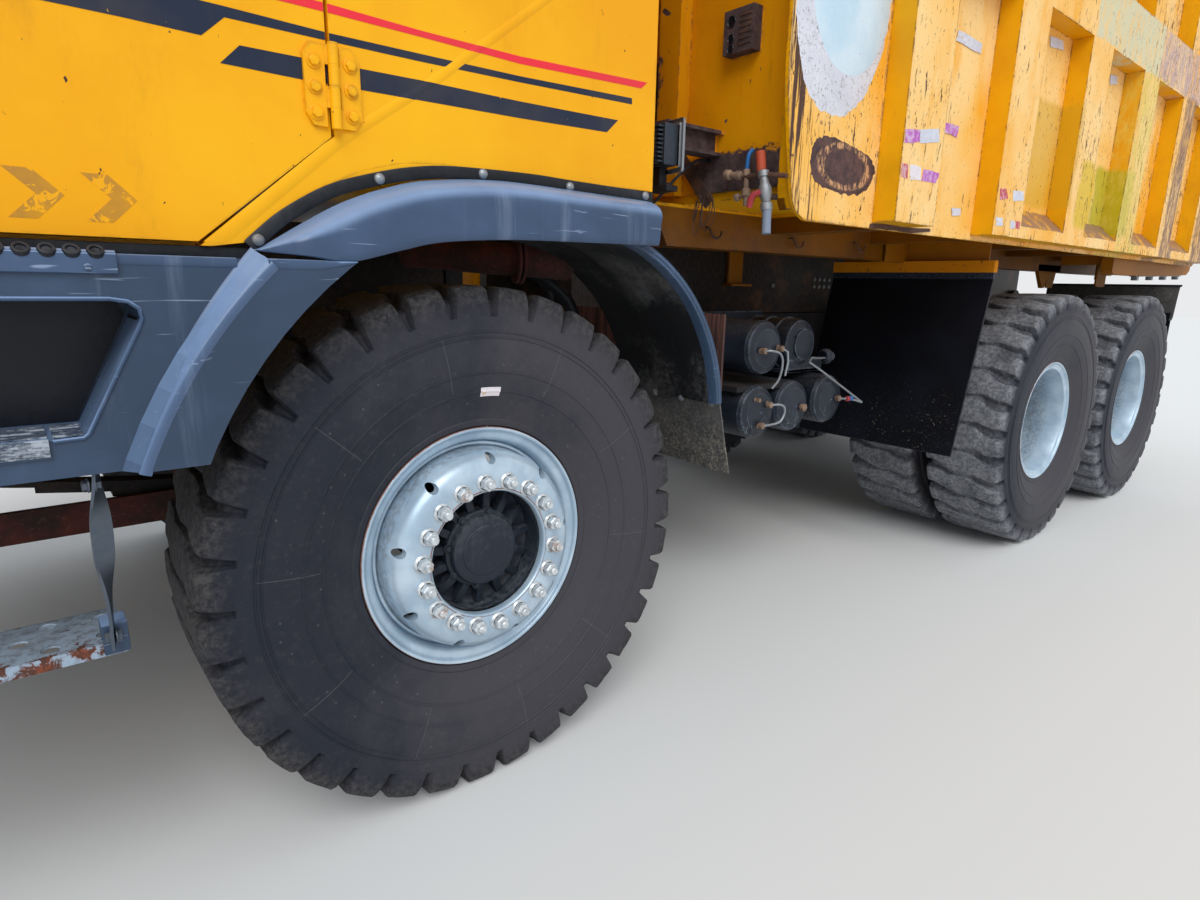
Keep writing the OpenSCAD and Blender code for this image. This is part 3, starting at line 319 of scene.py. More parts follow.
class Kit:
    """Gathers many small solids into one mesh."""

    def __init__(self):
        self.v, self.f = [], []

    def add(self, verts, faces):
        n = len(self.v)
        self.v += [Vector(v) for v in verts]
        self.f += [tuple(i + n for i in f) for f in faces]
        return self

    def box(self, low, high, chamfer=0.0):
        (a, b, c), (d, e, f) = low, high
        if chamfer <= 0:
            self.add([(a, b, c), (d, b, c), (d, e, c), (a, e, c), (a, b, f), (d, b, f), (d, e, f), (a, e, f)],
                     [(0, 3, 2, 1), (4, 5, 6, 7), (0, 1, 5, 4), (1, 2, 6, 5), (2, 3, 7, 6), (3, 0, 4, 7)])
            return self
        bm = bmesh.new()
        m = Matrix.Translation(((a + d) / 2, (b + e) / 2, (c + f) / 2)) @ Matrix.Diagonal((d - a, e - b,
                f - c, 1))
        bmesh.ops.create_cube(bm, size=1, matrix=m)
        bmesh.ops.bevel(bm, geom=bm.edges[:], offset=chamfer, segments=2, profile=0.6, affect="EDGES")
        return self.take(bm)

    def take(self, bm, matrix=None):
        bm.verts.ensure_lookup_table()
        vs = [matrix @ v.co if matrix else v.co.copy() for v in bm.verts]
        self.add(vs, [[v.index for v in f.verts] for f in bm.faces])
        bm.free()
        return self

    def turned(self, profile, centre, axis=(0, 1, 0), n=16, start=0.0, closed=True):
        """A profile of (radius, distance along the axis), turned about it."""
        q = Vector((0, 0, 1)).rotation_difference(Vector(axis).normalized())
        rows = []
        for r, d in profile:
            rows.append([Vector(centre) + q @ Vector((r * cos(start + 2 * pi * i / n),
                                                      r * sin(start + 2 * pi * i / n), d))
                         for i in range(n)])
        v = [p for row in rows for p in row]
        f = [quad(n, k, k + 1, i) for k in range(len(rows) - 1) for i in range(n)]
        if closed:
            if profile[0][0] > 1e-6:
                f.append(tuple(reversed(range(n))))
            if profile[-1][0] > 1e-6:
                f.append(tuple(range((len(rows) - 1) * n, len(rows) * n)))
        return self.add(v, f)

    def tube(self, points, r, n=8):
        """A round bar through points; r is one radius or one for each point."""
        pts = [Vector(p) for p in points]
        rs = r if isinstance(r, (list, tuple)) else [r] * len(pts)
        up = None
        rows = []
        for i, p in enumerate(pts):
            d = (pts[min(i + 1, len(pts) - 1)] - pts[max(i - 1, 0)]).normalized()
            if up is None:
                up = d.orthogonal().normalized()
            up = (up - d * up.dot(d)).normalized()
            side = d.cross(up)
            rows.append([p + (up * cos(2 * pi * k / n) + side * sin(2 * pi * k / n)) * rs[i]
                         for k in range(n)])
        v = [p for row in rows for p in row]
        f = [quad(n, k, k + 1, i) for k in range(len(rows) - 1) for i in range(n)]
        f += [tuple(reversed(range(n))), tuple(range((len(rows) - 1) * n, len(rows) * n))]
        return self.add(v, f)

    def slab(self, outline, y0, y1):
        """An outline in X and Z between two Y planes."""
        n = len(outline)
        v = [(x, y0, z) for x, z in outline] + [(x, y1, z) for x, z in outline]
        f = [tuple(range(n)), tuple(reversed(range(n, 2 * n)))]
        f += [(i, (i + 1) % n, n + (i + 1) % n, n + i) for i in range(n)]
        return self.add(v, f)

    def bolt(self, p, axis=(0, 1, 0), r=0.011, h=0.008, washer=1.5, turn=0.0):
        """A hex head on its washer."""
        if washer:
            self.turned([(r * washer, 0), (r * washer, h * 0.22), (r * washer * 0.92, h * 0.3),
                         (0, h * 0.3)], p, axis, 14)
        self.turned([(r, h * 0.28), (r, h * 0.9), (r * 0.85, h), (r * 0.3, h * 1.04)], p, axis, 6, turn)
        return self

    def screw(self, p, axis=(0, 1, 0), r=0.008, h=0.004):
        """A round, domed head."""
        return self.turned([(r, 0), (r, h * 0.4), (r * 0.8, h * 0.8), (r * 0.35, h), (0, h)], p, axis, 12)

    def mirrored(self):
        k = Kit()
        k.v = [Vector((v.x, -v.y, v.z)) for v in self.v]
        k.f = [tuple(reversed(f)) for f in self.f]
        return k

    def make(self, name, look, body, smooth=35, origin=None):
        return piece(name, self.v, self.f, look, body, smooth, origin)


def curve(a, b, c, d, t):
    """The place at share t of the way from b to c, on a smooth curve through all four."""
    return 0.5 * (2 * b + (c - a) * t + (2 * a - 5 * b + 4 * c - d) * t * t
                  + (3 * b - a - 3 * c + d) * t ** 3)


def smooth_path(points, steps=6):
    """A curve through the points."""
    p = [Vector(q) for q in points]
    p = [p[0] * 2 - p[1]] + p + [p[-1] * 2 - p[-2]]
    out = []
    for i in range(1, len(p) - 2):
        for k in range(steps):
            out.append(curve(p[i - 1], p[i], p[i + 1], p[i + 2], k / steps))
    out.append(p[-2])
    return out


def bend(steps, places):
    """A curve through places that are counted from the front axle."""
    return smooth_path([at(*p) for p in places], steps)


def dress(look, *names):
    for n in names:
        if n in nodes:
            for s in nodes[n].material_slots:
                s.material = look.mat


# The looks

# A dusty look's key and name, the colours of its face and dust, the dust's share, roughness, and the rest
DUSTY = [
    ("dull_steel", "dull_steel", (84, 94, 106), (122, 120, 120), 0.4, 0.4, {"metal": 0.7}),
    ("trim", "black_trim", (26, 28, 32), (92, 90, 88), 0.3, 0.45, {}),
    # painted shade: a flat dark look set where the recess, the grille's gaps and the wall box's holes lie in
    # shade
    ("shade_fill", "painted_shade_dark", (14, 18, 28), (48, 48, 56), 0.35, 0.35, {}),
    ("seat", "seat_cloth", (44, 46, 52), (84, 82, 80), 0.4, 0.9, {"grain": 160.0}),
    ("dash", "dash_plastic", (48, 49, 52), (96, 92, 86), 0.3, 0.6, {"grain": 120.0}),
    ("grey_pvc", "grey_hose", (122, 132, 150), (96, 92, 92), 0.3, 0.45, {}),
    ("red_hose", "red_hose", (176, 74, 48), (120, 92, 78), 0.5, 0.6, {}),
    ("red_paint", "red_handle", (170, 50, 58), (120, 96, 92), 0.3, 0.45, {}),
    ("blue_hose", "blue_hose", (36, 104, 170), (92, 104, 118), 0.3, 0.45, {}),
    ("green_tie", "green_tie", (14, 128, 104), (80, 110, 100), 0.2, 0.4, {}),
    ("lamp_case", "lamp_case", (58, 66, 76), (132, 134, 136), 0.5, 0.45, {"metal": 0.5}),
    ("chassis", "frame_paint", (26, 26, 30), (74, 66, 62), 0.4, 0.6, {"shine": 0.25}),
    ("cast", "cast_iron", (32, 30, 31), (84, 74, 68), 0.6, 0.75, {"shine": 0.25}),
    ("liner", "arch_liner", (22, 23, 26), (92, 92, 93), 0.9, 0.6, {}),
    ("hub", "hub_black", (30, 37, 48), (92, 96, 104), 0.4, 0.5, {}),
    ("plain_steel", "galvanised", (150, 156, 162), (110, 100, 92), 0.5, 0.45, {"metal": 0.6}),
    ("rubber", "seal_rubber", (20, 22, 27), (80, 84, 92), 0.25, 0.5, {}),
]


def make_looks():
    L = {}
    for key, name, face, dust, amount, rough, more in DUSTY:
        L[key] = dusty(name, srgb(*face), dust=srgb(*dust), amount=amount, rough=rough, **more)
    L["cab"] = painted("cab_paint", srgb(236, 160, 0), srgb(246, 180, 12), wear=0.35, rough=0.38)
    L["slate"] = slate_look("slate_plastic", srgb(46, 62, 84), srgb(60, 80, 106))
    # Lighter copies of the slate plastic are painted light: the flare and rounded rims, a glint for the
    # bumper's lip, a highlight for the panel's ridge; their scuffs are wear
    L["slate_bright"] = slate_look("flare_plastic_painted_light", srgb(54, 73, 100), srgb(72, 94, 126), scuff=0.5)
    L["slate_glint"] = slate_look("slate_painted_glint", srgb(104, 130, 168), srgb(130, 158, 196), scuff=0.6)
    L["ridge"] = slate_look("flare_ridge_highlight", srgb(74, 95, 126), srgb(92, 115, 150), scuff=0.7)
    L["black"] = tank_look()
    L["scuffed"] = scuffed_look()
    L["blue_rust"] = blue_rust_look()
    L["glass"] = glass_look("tinted_glass", (0.55, 0.62, 0.6, 1))
    L["lens"] = glass_look("lamp_glass", (0.95, 0.96, 0.97, 1))
    L["red_lens"] = lens_look("red_lens", srgb(150, 16, 14))
    L["amber_lens"] = lens_look("amber_lens", srgb(226, 116, 12))
    L["mirror"] = Look("mirror_face", 0.04, 1.0)
    L["mirror"].colour(L["mirror"].mix(L["mirror"].step(L["mirror"].noise(5.0, 5, 0.6), 0.4, 0.75, 0.0,
                                                        0.25), srgb(214, 220, 226), srgb(150, 152, 154)))
    L["white_plate"] = plate_look("blank_plate", srgb(186, 212, 228), srgb(208, 224, 234), 0.25)
    L["white_back"] = plate_look("torn_backing", srgb(222, 222, 228), srgb(206, 206, 216), 0.9)
    L["brass"] = rusty("old_brass", srgb(162, 134, 112), srgb(98, 80, 70))
    L["flap"] = flap_look()
    L["mud"] = mud_look()
    # The front tyre's rubber is set darker than the rear's as painted shade; the rear's paler tread is dust
    L["tread"] = tyre_look("front_rubber", srgb(34, 34, 38), srgb(72, 70, 70), srgb(118, 112, 106))
    L["rear_tread"] = tyre_look("rear_rubber", srgb(90, 92, 99), srgb(138, 140, 144), srgb(178, 178, 180))
    L["rim"] = rim_look("rim_silver", 0.3555)
    L["nut"] = nut_look()
    L["rust"] = rusty("rusty_steel", srgb(92, 62, 48), srgb(60, 46, 42))
    L["old_red"] = rusty("old_red_pipe", srgb(92, 42, 36), srgb(54, 36, 33))
    L["body"] = body_look()
    L["wall"] = wall_look()
    L["blob"] = blob_look()
    L["ochre"] = painted("shaded_ochre", srgb(140, 86, 4), srgb(158, 99, 9), wear=0.8, rough=0.55)
    L["film_violet"] = film_look("violet_tape", srgb(176, 72, 178))
    L["film_silver"] = film_look("silver_tape", srgb(196, 200, 214))
    L["film_crimson"] = film_look("crimson_tape", srgb(186, 28, 56))
    L["film_pale"] = film_look("pale_tape", srgb(222, 214, 218))
    L["bright"] = Look("polished_rod", 0.18, 1.0)
    L["bright"].colour(L["bright"].mix(L["bright"].step(L["bright"].noise(6, 5, 0.6, stretch=(1, 1, 6)),
                                                        0.4, 0.7), srgb(196, 200, 204),
                                       srgb(170, 172, 174)))
    return L


def slate_look(name, dark, light, scuff=0.45):
    """Glossy blue-grey plastic with fine scratches, drips of dust, and a painted sky highlight on what faces
    up.
    """
    k = Look(name, 0.3, 0.0, 0.35)
    cloud = k.noise(2.0, 5, 0.6)
    drips = k.noise(16.0, 5, 0.6, stretch=(1, 1, 0.06))
    hair = k.noise(90.0, 2, 0.5, stretch=(0.06, 1, 1), warp=1.2)
    tone = k.mix(k.step(cloud, 0.35, 0.68), dark, light)
    tone = k.mix(k.step(drips, 0.56, 0.78, 0.0, scuff), tone, srgb(128, 144, 168))
    tone = k.mix(k.step(hair, 0.68, 0.78, 0.0, scuff), tone, srgb(168, 186, 212))
    # painted highlight: faces that look up turn pale blue, as the sky lights them
    up = k.step(k.facing()[2], 0.12, 0.62, 0.0, 0.85)
    tone = k.mix(k.both(up, k.step(cloud, 0.2, 0.6, 0.6, 1.0)), tone, srgb(132, 158, 196))
    k.colour(tone)
    k.rough(k.step(cloud, 0.3, 0.7, 0.26, 0.46))
    k.bump(k.plus(k.both(cloud, 1.5), k.both(hair, 0.1)), 0.12, 0.004)
    return k


def tank_look():
    """Black paint on the air tanks, with pale scrapes low down, dust on top and a rusty shield plate."""
    k = Look("tank_paint", 0.42, 0.0, 0.35)
    x, _, z = k.xyz()
    cloud = k.noise(3.0, 5, 0.6)
    fine = k.noise(70.0, 4, 0.75)
    tone = k.mix(k.step(cloud, 0.35, 0.7), srgb(20, 26, 36), srgb(36, 44, 58))
    up = k.step(k.facing()[2], 0.2, 0.9, 0.0, 0.5)
    tone = k.mix(k.both(up, k.step(fine, 0.35, 0.6)), tone, srgb(92, 92, 96))
    rim = k.both(k.edges(0.012), k.step(k.noise(24.0, 4, 0.7), 0.4, 0.6, 0.15, 0.7))
    scrape = k.both(k.step(k.noise(42.0, 4, 0.72, stretch=(1, 1, 0.3), warp=1.5), 0.6, 0.66),
                    k.step(z, 0.98, 0.88, 0.0, 0.8))
    tone = k.mix(k.most(rim, scrape), tone, srgb(124, 136, 152))
    plate = k.band(x, AX - 1.013, AX - 0.997, 0.0008)
    streak = k.noise(14.0, 5, 0.7, stretch=(1, 3, 0.2))
    tone = k.mix(plate, tone, k.mix(k.step(streak, 0.35, 0.65), srgb(52, 38, 38), srgb(112, 74, 64)))
    k.colour(tone)
    k.rough(k.step(k.plus(plate, k.both(fine, 0.3)), 0.1, 1.0, 0.4, 0.85))
    k.bump(k.plus(fine, k.both(scrape, -1.0)), 0.15, 0.002)
    return k


def flap_look():
    """Blue-black rubber with a yellow hanger plate over it and mud thrown at its foot."""
    k = Look("flap_rubber", 0.5, 0.0, 0.2)
    x, _, z = k.xyz()
    cloud = k.noise(3.0, 5, 0.6)
    tone = k.mix(k.step(cloud, 0.35, 0.7), srgb(4, 7, 14), srgb(12, 16, 26))
    specks = k.step(k.cells(46.0), 0.13, 0.17, 1.0, 0.0)
    fine = k.noise(150.0, 3, 0.8)
    foot = k.step(k.plus(z, k.both(cloud, 0.3)), 1.28, 0.92, 0.0, 1.0)
    mud = k.both(foot, k.most(k.both(specks, k.step(k.noise(7.0, 3, 0.6), 0.46, 0.6)),
                              k.step(fine, 0.6, 0.7, 0.0, 0.7)))
    tone = k.mix(mud, tone, srgb(104, 96, 88))
    rim = k.both(k.edges(0.006), k.step(fine, 0.3, 0.6, 0.1, 0.5))
    tone = k.mix(rim, tone, srgb(78, 84, 96))
    steel = k.both(k.band(z, 1.556, 1.592, 0.002), k.step(x, AX - 4.0, AX - 3.9))
    tone = k.mix(steel, tone, k.mix(k.step(fine, 0.4, 0.7), srgb(20, 24, 32), srgb(62, 68, 80)))
    hanger = k.both(k.step(z, 1.59, 1.593), k.step(x, AX - 4.0, AX - 3.9))
    worn = k.step(k.noise(26.0, 5, 0.75), 0.6, 0.68)
    tone = k.mix(hanger, tone, k.mix(worn, srgb(196, 122, 8), srgb(74, 52, 40)))
    k.colour(tone)
    k.rough(k.step(k.plus(mud, hanger), 0.0, 1.0, 0.5, 0.9))
    k.bump(k.plus(k.both(cloud, 3.0), k.both(mud, fine)), 0.25, 0.004)
    return k


def mud_look():
    """A grey rubber flap covered in dried mud, heaviest at its outer foot."""
    k = Look("muddy_rubber", 0.85)
    z = k.xyz()[2]
    low = k.step(z, 1.08, 0.86, 0.25, 1.0)
    grit = k.noise(95.0, 4, 0.8)
    clot = k.noise(26.0, 5, 0.75)
    tone = k.mix(k.step(k.noise(5.0, 4, 0.6), 0.35, 0.65), srgb(64, 64, 66), srgb(88, 87, 86))
    mud = k.both(low, k.step(k.plus(k.both(grit, 0.6), k.both(clot, 0.4)), 0.47, 0.56))
    tone = k.mix(mud, tone, k.mix(k.step(grit, 0.4, 0.7), srgb(108, 103, 96), srgb(158, 150, 138)))
    k.colour(tone)
    k.bump(k.plus(k.both(mud, 1.2), grit), 0.6, 0.004)
    return k


def scuffed_look():
    """Blue-grey tread plate rubbed down to bright metal."""
    k = Look("scuffed_tread", 0.42, 0.25)
    rub = k.noise(38.0, 5, 0.78, stretch=(0.35, 1, 1))
    fine = k.noise(110.0, 3, 0.8)
    tone = k.mix(k.step(rub, 0.45, 0.6), srgb(62, 74, 92), srgb(168, 176, 186))
    tone = k.mix(k.step(fine, 0.58, 0.7, 0.0, 0.7), tone, srgb(74, 66, 62))
    k.colour(tone)
    k.bump(k.plus(rub, fine), 0.3, 0.0015)
    return k


def blue_rust_look():
    """An old step tread: bluish-white paint, rubbed through to brown rust."""
    k = Look("step_tread_paint", 0.7, 0.15)
    a = k.noise(9.0, 6, 0.75)
    b = k.noise(45.0, 4, 0.75, warp=0.8)
    tone = k.mix(k.step(b, 0.4, 0.65), srgb(150, 168, 186), srgb(120, 128, 138))
    y = k.xyz()[1]
    rim = k.step(k.size(y), 1.505, 1.575, 0.0, 0.085)
    rust = k.step(k.plus(k.plus(k.both(a, 0.65), k.both(b, 0.35)), rim), 0.55, 0.6)
    tone = k.mix(rust, tone, k.mix(k.step(b, 0.4, 0.6), srgb(132, 66, 38), srgb(84, 52, 42)))
    k.colour(tone)
    k.rough(k.step(rust, 0.0, 1.0, 0.5, 0.85))
    k.bump(k.plus(k.both(rust, -0.6), b), 0.3, 0.002)
    return k


def glass_look(name, tint):
    k = Look(name, 0.03)
    k.bsdf.inputs["Base Color"].default_value = tint
    k.bsdf.inputs["Transmission Weight"].default_value = 1.0
    k.bsdf.inputs["IOR"].default_value = 1.45
    dust = k.noise(4.0, 6, 0.65)
    k.rough(k.step(dust, 0.4, 0.75, 0.02, 0.16))
    k.colour(k.mix(k.step(dust, 0.5, 0.8, 0.0, 0.3), tint, srgb(196, 190, 180)))
    return k


def lens_look(name, colour):
    """A coloured lamp lens with upright flutes."""
    k = Look(name, 0.15)
    y = k.xyz()[1]
    flute = k.math("SINE", k.both(y, 700.0))
    k.colour(k.mix(k.step(k.noise(30.0, 4, 0.6), 0.4, 0.75, 0.0, 0.35), colour, srgb(110, 90, 80)))
    k.bump(flute, 0.4, 0.001)
    return k


def plate_look(name, base, light, torn):
    """A blank plate or its backing: pale film with specks, and rust where it has torn."""
    k = Look(name, 0.45)
    cloud = k.noise(5.0, 4, 0.6)
    specks = k.noise(85.0, 4, 0.8)
    tear = k.noise(16.0, 5, 0.72, shift=(4.2, 0, 1.3))
    tone = k.mix(k.step(cloud, 0.35, 0.7), base, light)
    grey = k.noise(42.0, 4, 0.8, warp=0.8)
    tone = k.mix(k.step(grey, 0.62 - 0.08 * torn, 0.7 - 0.08 * torn, 0.0, 0.6 * torn), tone,
                 srgb(150, 146, 152))
    tone = k.mix(k.step(specks, 0.68 - 0.09 * torn, 0.71 - 0.09 * torn, 0.0, 0.85), tone, srgb(98, 88, 90))
    tone = k.mix(k.step(tear, 0.76 - 0.06 * torn, 0.78 - 0.06 * torn), tone, srgb(96, 66, 56))
    k.colour(tone)
    k.bump(k.both(specks, 1.0), 0.15, 0.001)
    return k


def wall_look():
    """The body's front wall and canopy: shaded ochre, brown fixtures and a rusty patch low on each side."""
    k = Look("front_wall_paint", 0.5, 0.0, 0.25)
    x, y, z = k.xyz()
    side = k.size(y)
    cloud = k.noise(1.6, 5, 0.6)
    drip = k.noise(12.0, 6, 0.7, stretch=(1, 1, 0.15))
    tone = k.mix(k.step(cloud, 0.35, 0.7), srgb(204, 132, 0), srgb(226, 154, 4))
    tone = k.mix(k.step(drip, 0.5, 0.75, 0.0, 0.55), tone, srgb(156, 98, 4))
    wander = k.plus(k.both(k.noise(7.0, 6, 0.75), 0.16), k.both(k.noise(40.0, 4, 0.8), 0.05))
    wall = k.step(x, AX - 1.05, AX - 1.045, 1.0, 0.0)
    edge = k.plus(z, wander)
    patch = k.both(k.both(k.step(edge, 2.075, 2.09, 1.0, 0.0), k.step(k.plus(side, wander), 1.325, 1.34)),
                   wall)
    streak = k.both(k.both(k.band(k.plus(z, wander), 2.18, 2.46, 0.01),
                           k.band(k.plus(side, wander), 1.045, 1.165, 0.01)), wall)
    blob = k.noise(9.0, 2, 0.4, shift=(1.7, 0.4, 2.2))
    spots = k.both(k.step(blob, 0.72, 0.735), wall)
    rust = k.most(k.most(patch, streak), spots)
    stub = k.both(k.step(x, AX - 1.138, AX - 1.136),
                  k.both(k.band(z, 1.955, 2.058, 0.002), k.band(side, 1.285, 1.365, 0.002)))
    box = k.both(k.step(x, AX - 1.147, AX - 1.145),
                 k.both(k.band(z, 2.285, 2.435, 0.002), k.band(side, 1.372, 1.512, 0.002)))
    rust = k.most(rust, k.most(stub, box))
    chips = k.step(k.noise(46.0, 3, 0.75, stretch=(1, 1, 0.5)), 0.7, 0.72)
    rub = k.both(k.edges(0.012), k.step(k.noise(16.0, 5, 0.75), 0.46, 0.62, 0.0, 0.8))
    rust = k.most(rust, k.most(chips, rub))
    brown = k.mix(k.step(k.noise(20.0, 5, 0.75), 0.35, 0.7), srgb(58, 46, 48), srgb(92, 76, 74))
    k.colour(k.mix(rust, tone, brown))
    k.rough(k.step(rust, 0.0, 1.0, 0.48, 0.88))
    k.bump(k.minus(k.both(cloud, 3.0), k.both(rust, 0.5)), 0.2, 0.004)
    return k


def tyre_look(name, low, high, dust):
    """Rubber in the wheel's own coordinates: bluish sidewall with mould rings and lines, darker towards +x as
    painted shade; dusty tread.
    """
    k = Look(name, 0.62, 0.0, 0.35)
    x, _, z = k.xyz()
    r = k.radius(x, z)
    turn = k.math("ARCTAN2", z, x)
    spoke = k.size(k.minus(k.math("FRACT", k.plus(k.math("DIVIDE", turn, 2 * pi / 10), 7.33)), 0.5))
    line = k.both(spoke, k.both(r, 2 * pi / 10))
    lines = k.both(k.step(line, 0.0007, 0.0017, 1.0, 0.0), k.band(r, 0.47, 0.62, 0.002))
    dots = k.both(k.step(k.cells(26.0), 0.07, 0.1, 1.0, 0.0), k.band(r, 0.39, 0.61, 0.01))
    cloud = k.noise(3.0, 6, 0.65)
    fine = k.noise(55.0, 5, 0.75)
    grit = k.noise(180.0, 2, 0.8)
    # painted shade: the sidewall darkens towards +x, mixed with random clouds
    side = k.mix(k.step(k.minus(cloud, k.both(x, 0.45)), 0.2, 0.62), srgb(24, 29, 42), srgb(56, 55, 61))
    side = k.mix(k.step(fine, 0.5, 0.85, 0.0, 0.4), side, srgb(84, 80, 84))
    side = k.mix(k.plus(k.both(lines, 0.26), k.both(dots, 0.25), clamp=True), side, srgb(112, 110, 116))
    tread = k.mix(k.step(fine, 0.35, 0.65), low, high)
    tread = k.mix(k.step(grit, 0.6, 0.75, 0.0, 0.5), tread, dust)
    out = k.step(r, 0.655, 0.745)
    tone = k.mix(k.both(out, k.step(k.noise(9.0, 5, 0.7), 0.25, 0.6, 0.35, 1.0)), side, tread)
    k.colour(tone)
    k.rough(k.step(r, 0.62, 0.72, 0.58, 0.93))
    rings = k.plus(k.both(lines, 0.7), k.both(dots, 0.5))
    bumps = k.plus(rings, k.both(k.step(r, 0.62, 0.74, 0.25, 1.6), fine))
    k.bump(bumps, 0.55, 0.0022)
    return k


def rim_look(name, lip):
    """Silver paint in the wheel's own coordinates, with rust at the tyre, the bore and the bolts."""
    k = Look(name, 0.36, 0.35)
    x, y, z = k.xyz()
    r = k.radius(x, z)
    cloud = k.noise(7.0, 5, 0.6)
    fine = k.noise(60.0, 5, 0.75)
    tone = k.mix(k.step(cloud, 0.35, 0.68), srgb(162, 184, 202), srgb(194, 212, 226))
    tone = k.mix(k.step(fine, 0.6, 0.8, 0.0, 0.35), tone, srgb(128, 128, 124))
    worn = k.noise(24.0, 6, 0.75)
    rust_edge = k.both(k.step(k.plus(r, k.both(k.minus(worn, 0.5), 0.006)), lip - 0.0022, lip - 0.0008), 0.85)
    bore = k.plus(r, k.both(k.minus(worn, 0.5), 0.004))
    rust_bore = k.both(k.band(bore, 0.1878, 0.1908, 0.0014), k.step(cloud, 0.3, 0.55, 0.35, 1.0))
    nuts = k.both(k.band(r, 0.192, 0.236, 0.008), k.step(worn, 0.58, 0.76, 0.0, 0.16))
    gutter = k.both(k.band(r, 0.29, 0.297, 0.003), k.step(fine, 0.4, 0.62, 0.05, 0.5))
    inner = k.both(k.step(y, 0.02, -0.02), k.step(r, 0.31, 0.3))
    rust = k.most(k.most(rust_edge, rust_bore), nuts)
    tone = k.mix(gutter, tone, srgb(112, 106, 100))
    tone = k.mix(k.both(inner, k.step(fine, 0.45, 0.7, 0.05, 0.35)), tone, srgb(120, 122, 124))
    tone = k.mix(rust, tone, k.mix(fine, srgb(150, 84, 44), srgb(104, 58, 34)))
    k.colour(tone)
    k.put(k.bsdf.inputs["Metallic"], k.step(rust, 0.0, 0.8, 0.35, 0.0))
    k.rough(k.step(k.plus(rust, k.both(fine, 0.4)), 0.1, 0.9, 0.34, 0.75))
    k.bump(k.plus(fine, k.both(cloud, 1.0)), 0.12, 0.002)
    return k


def nut_look():
    k = Look("wheel_nuts", 0.4, 0.4)
    fine = k.noise(70.0, 5, 0.7)
    some = k.noise(9.5, 2, 0.5, shift=(1.3, 0.6, 4.2))
    tone = k.mix(k.step(fine, 0.4, 0.7), srgb(212, 217, 220), srgb(172, 179, 184))
    rust = k.both(k.step(some, 0.58, 0.66), k.step(fine, 0.4, 0.6, 0.0, 0.6))
    k.colour(k.mix(rust, tone, srgb(168, 116, 76)))
    k.rough(k.step(rust, 0.0, 1.0, 0.36, 0.8))
    k.bump(fine, 0.2, 0.001)
    return k


def rusty(name, base, dark):
    k = Look(name, 0.85, 0.1)
    a = k.noise(9.0, 6, 0.7)
    b = k.noise(70.0, 4, 0.75)
    tone = k.mix(k.step(a, 0.35, 0.65), dark, base)
    tone = k.mix(k.step(b, 0.55, 0.8, 0.0, 0.6), tone, srgb(140, 100, 76))
    k.colour(tone)
    k.bump(k.plus(a, b), 0.35, 0.003)
    return k


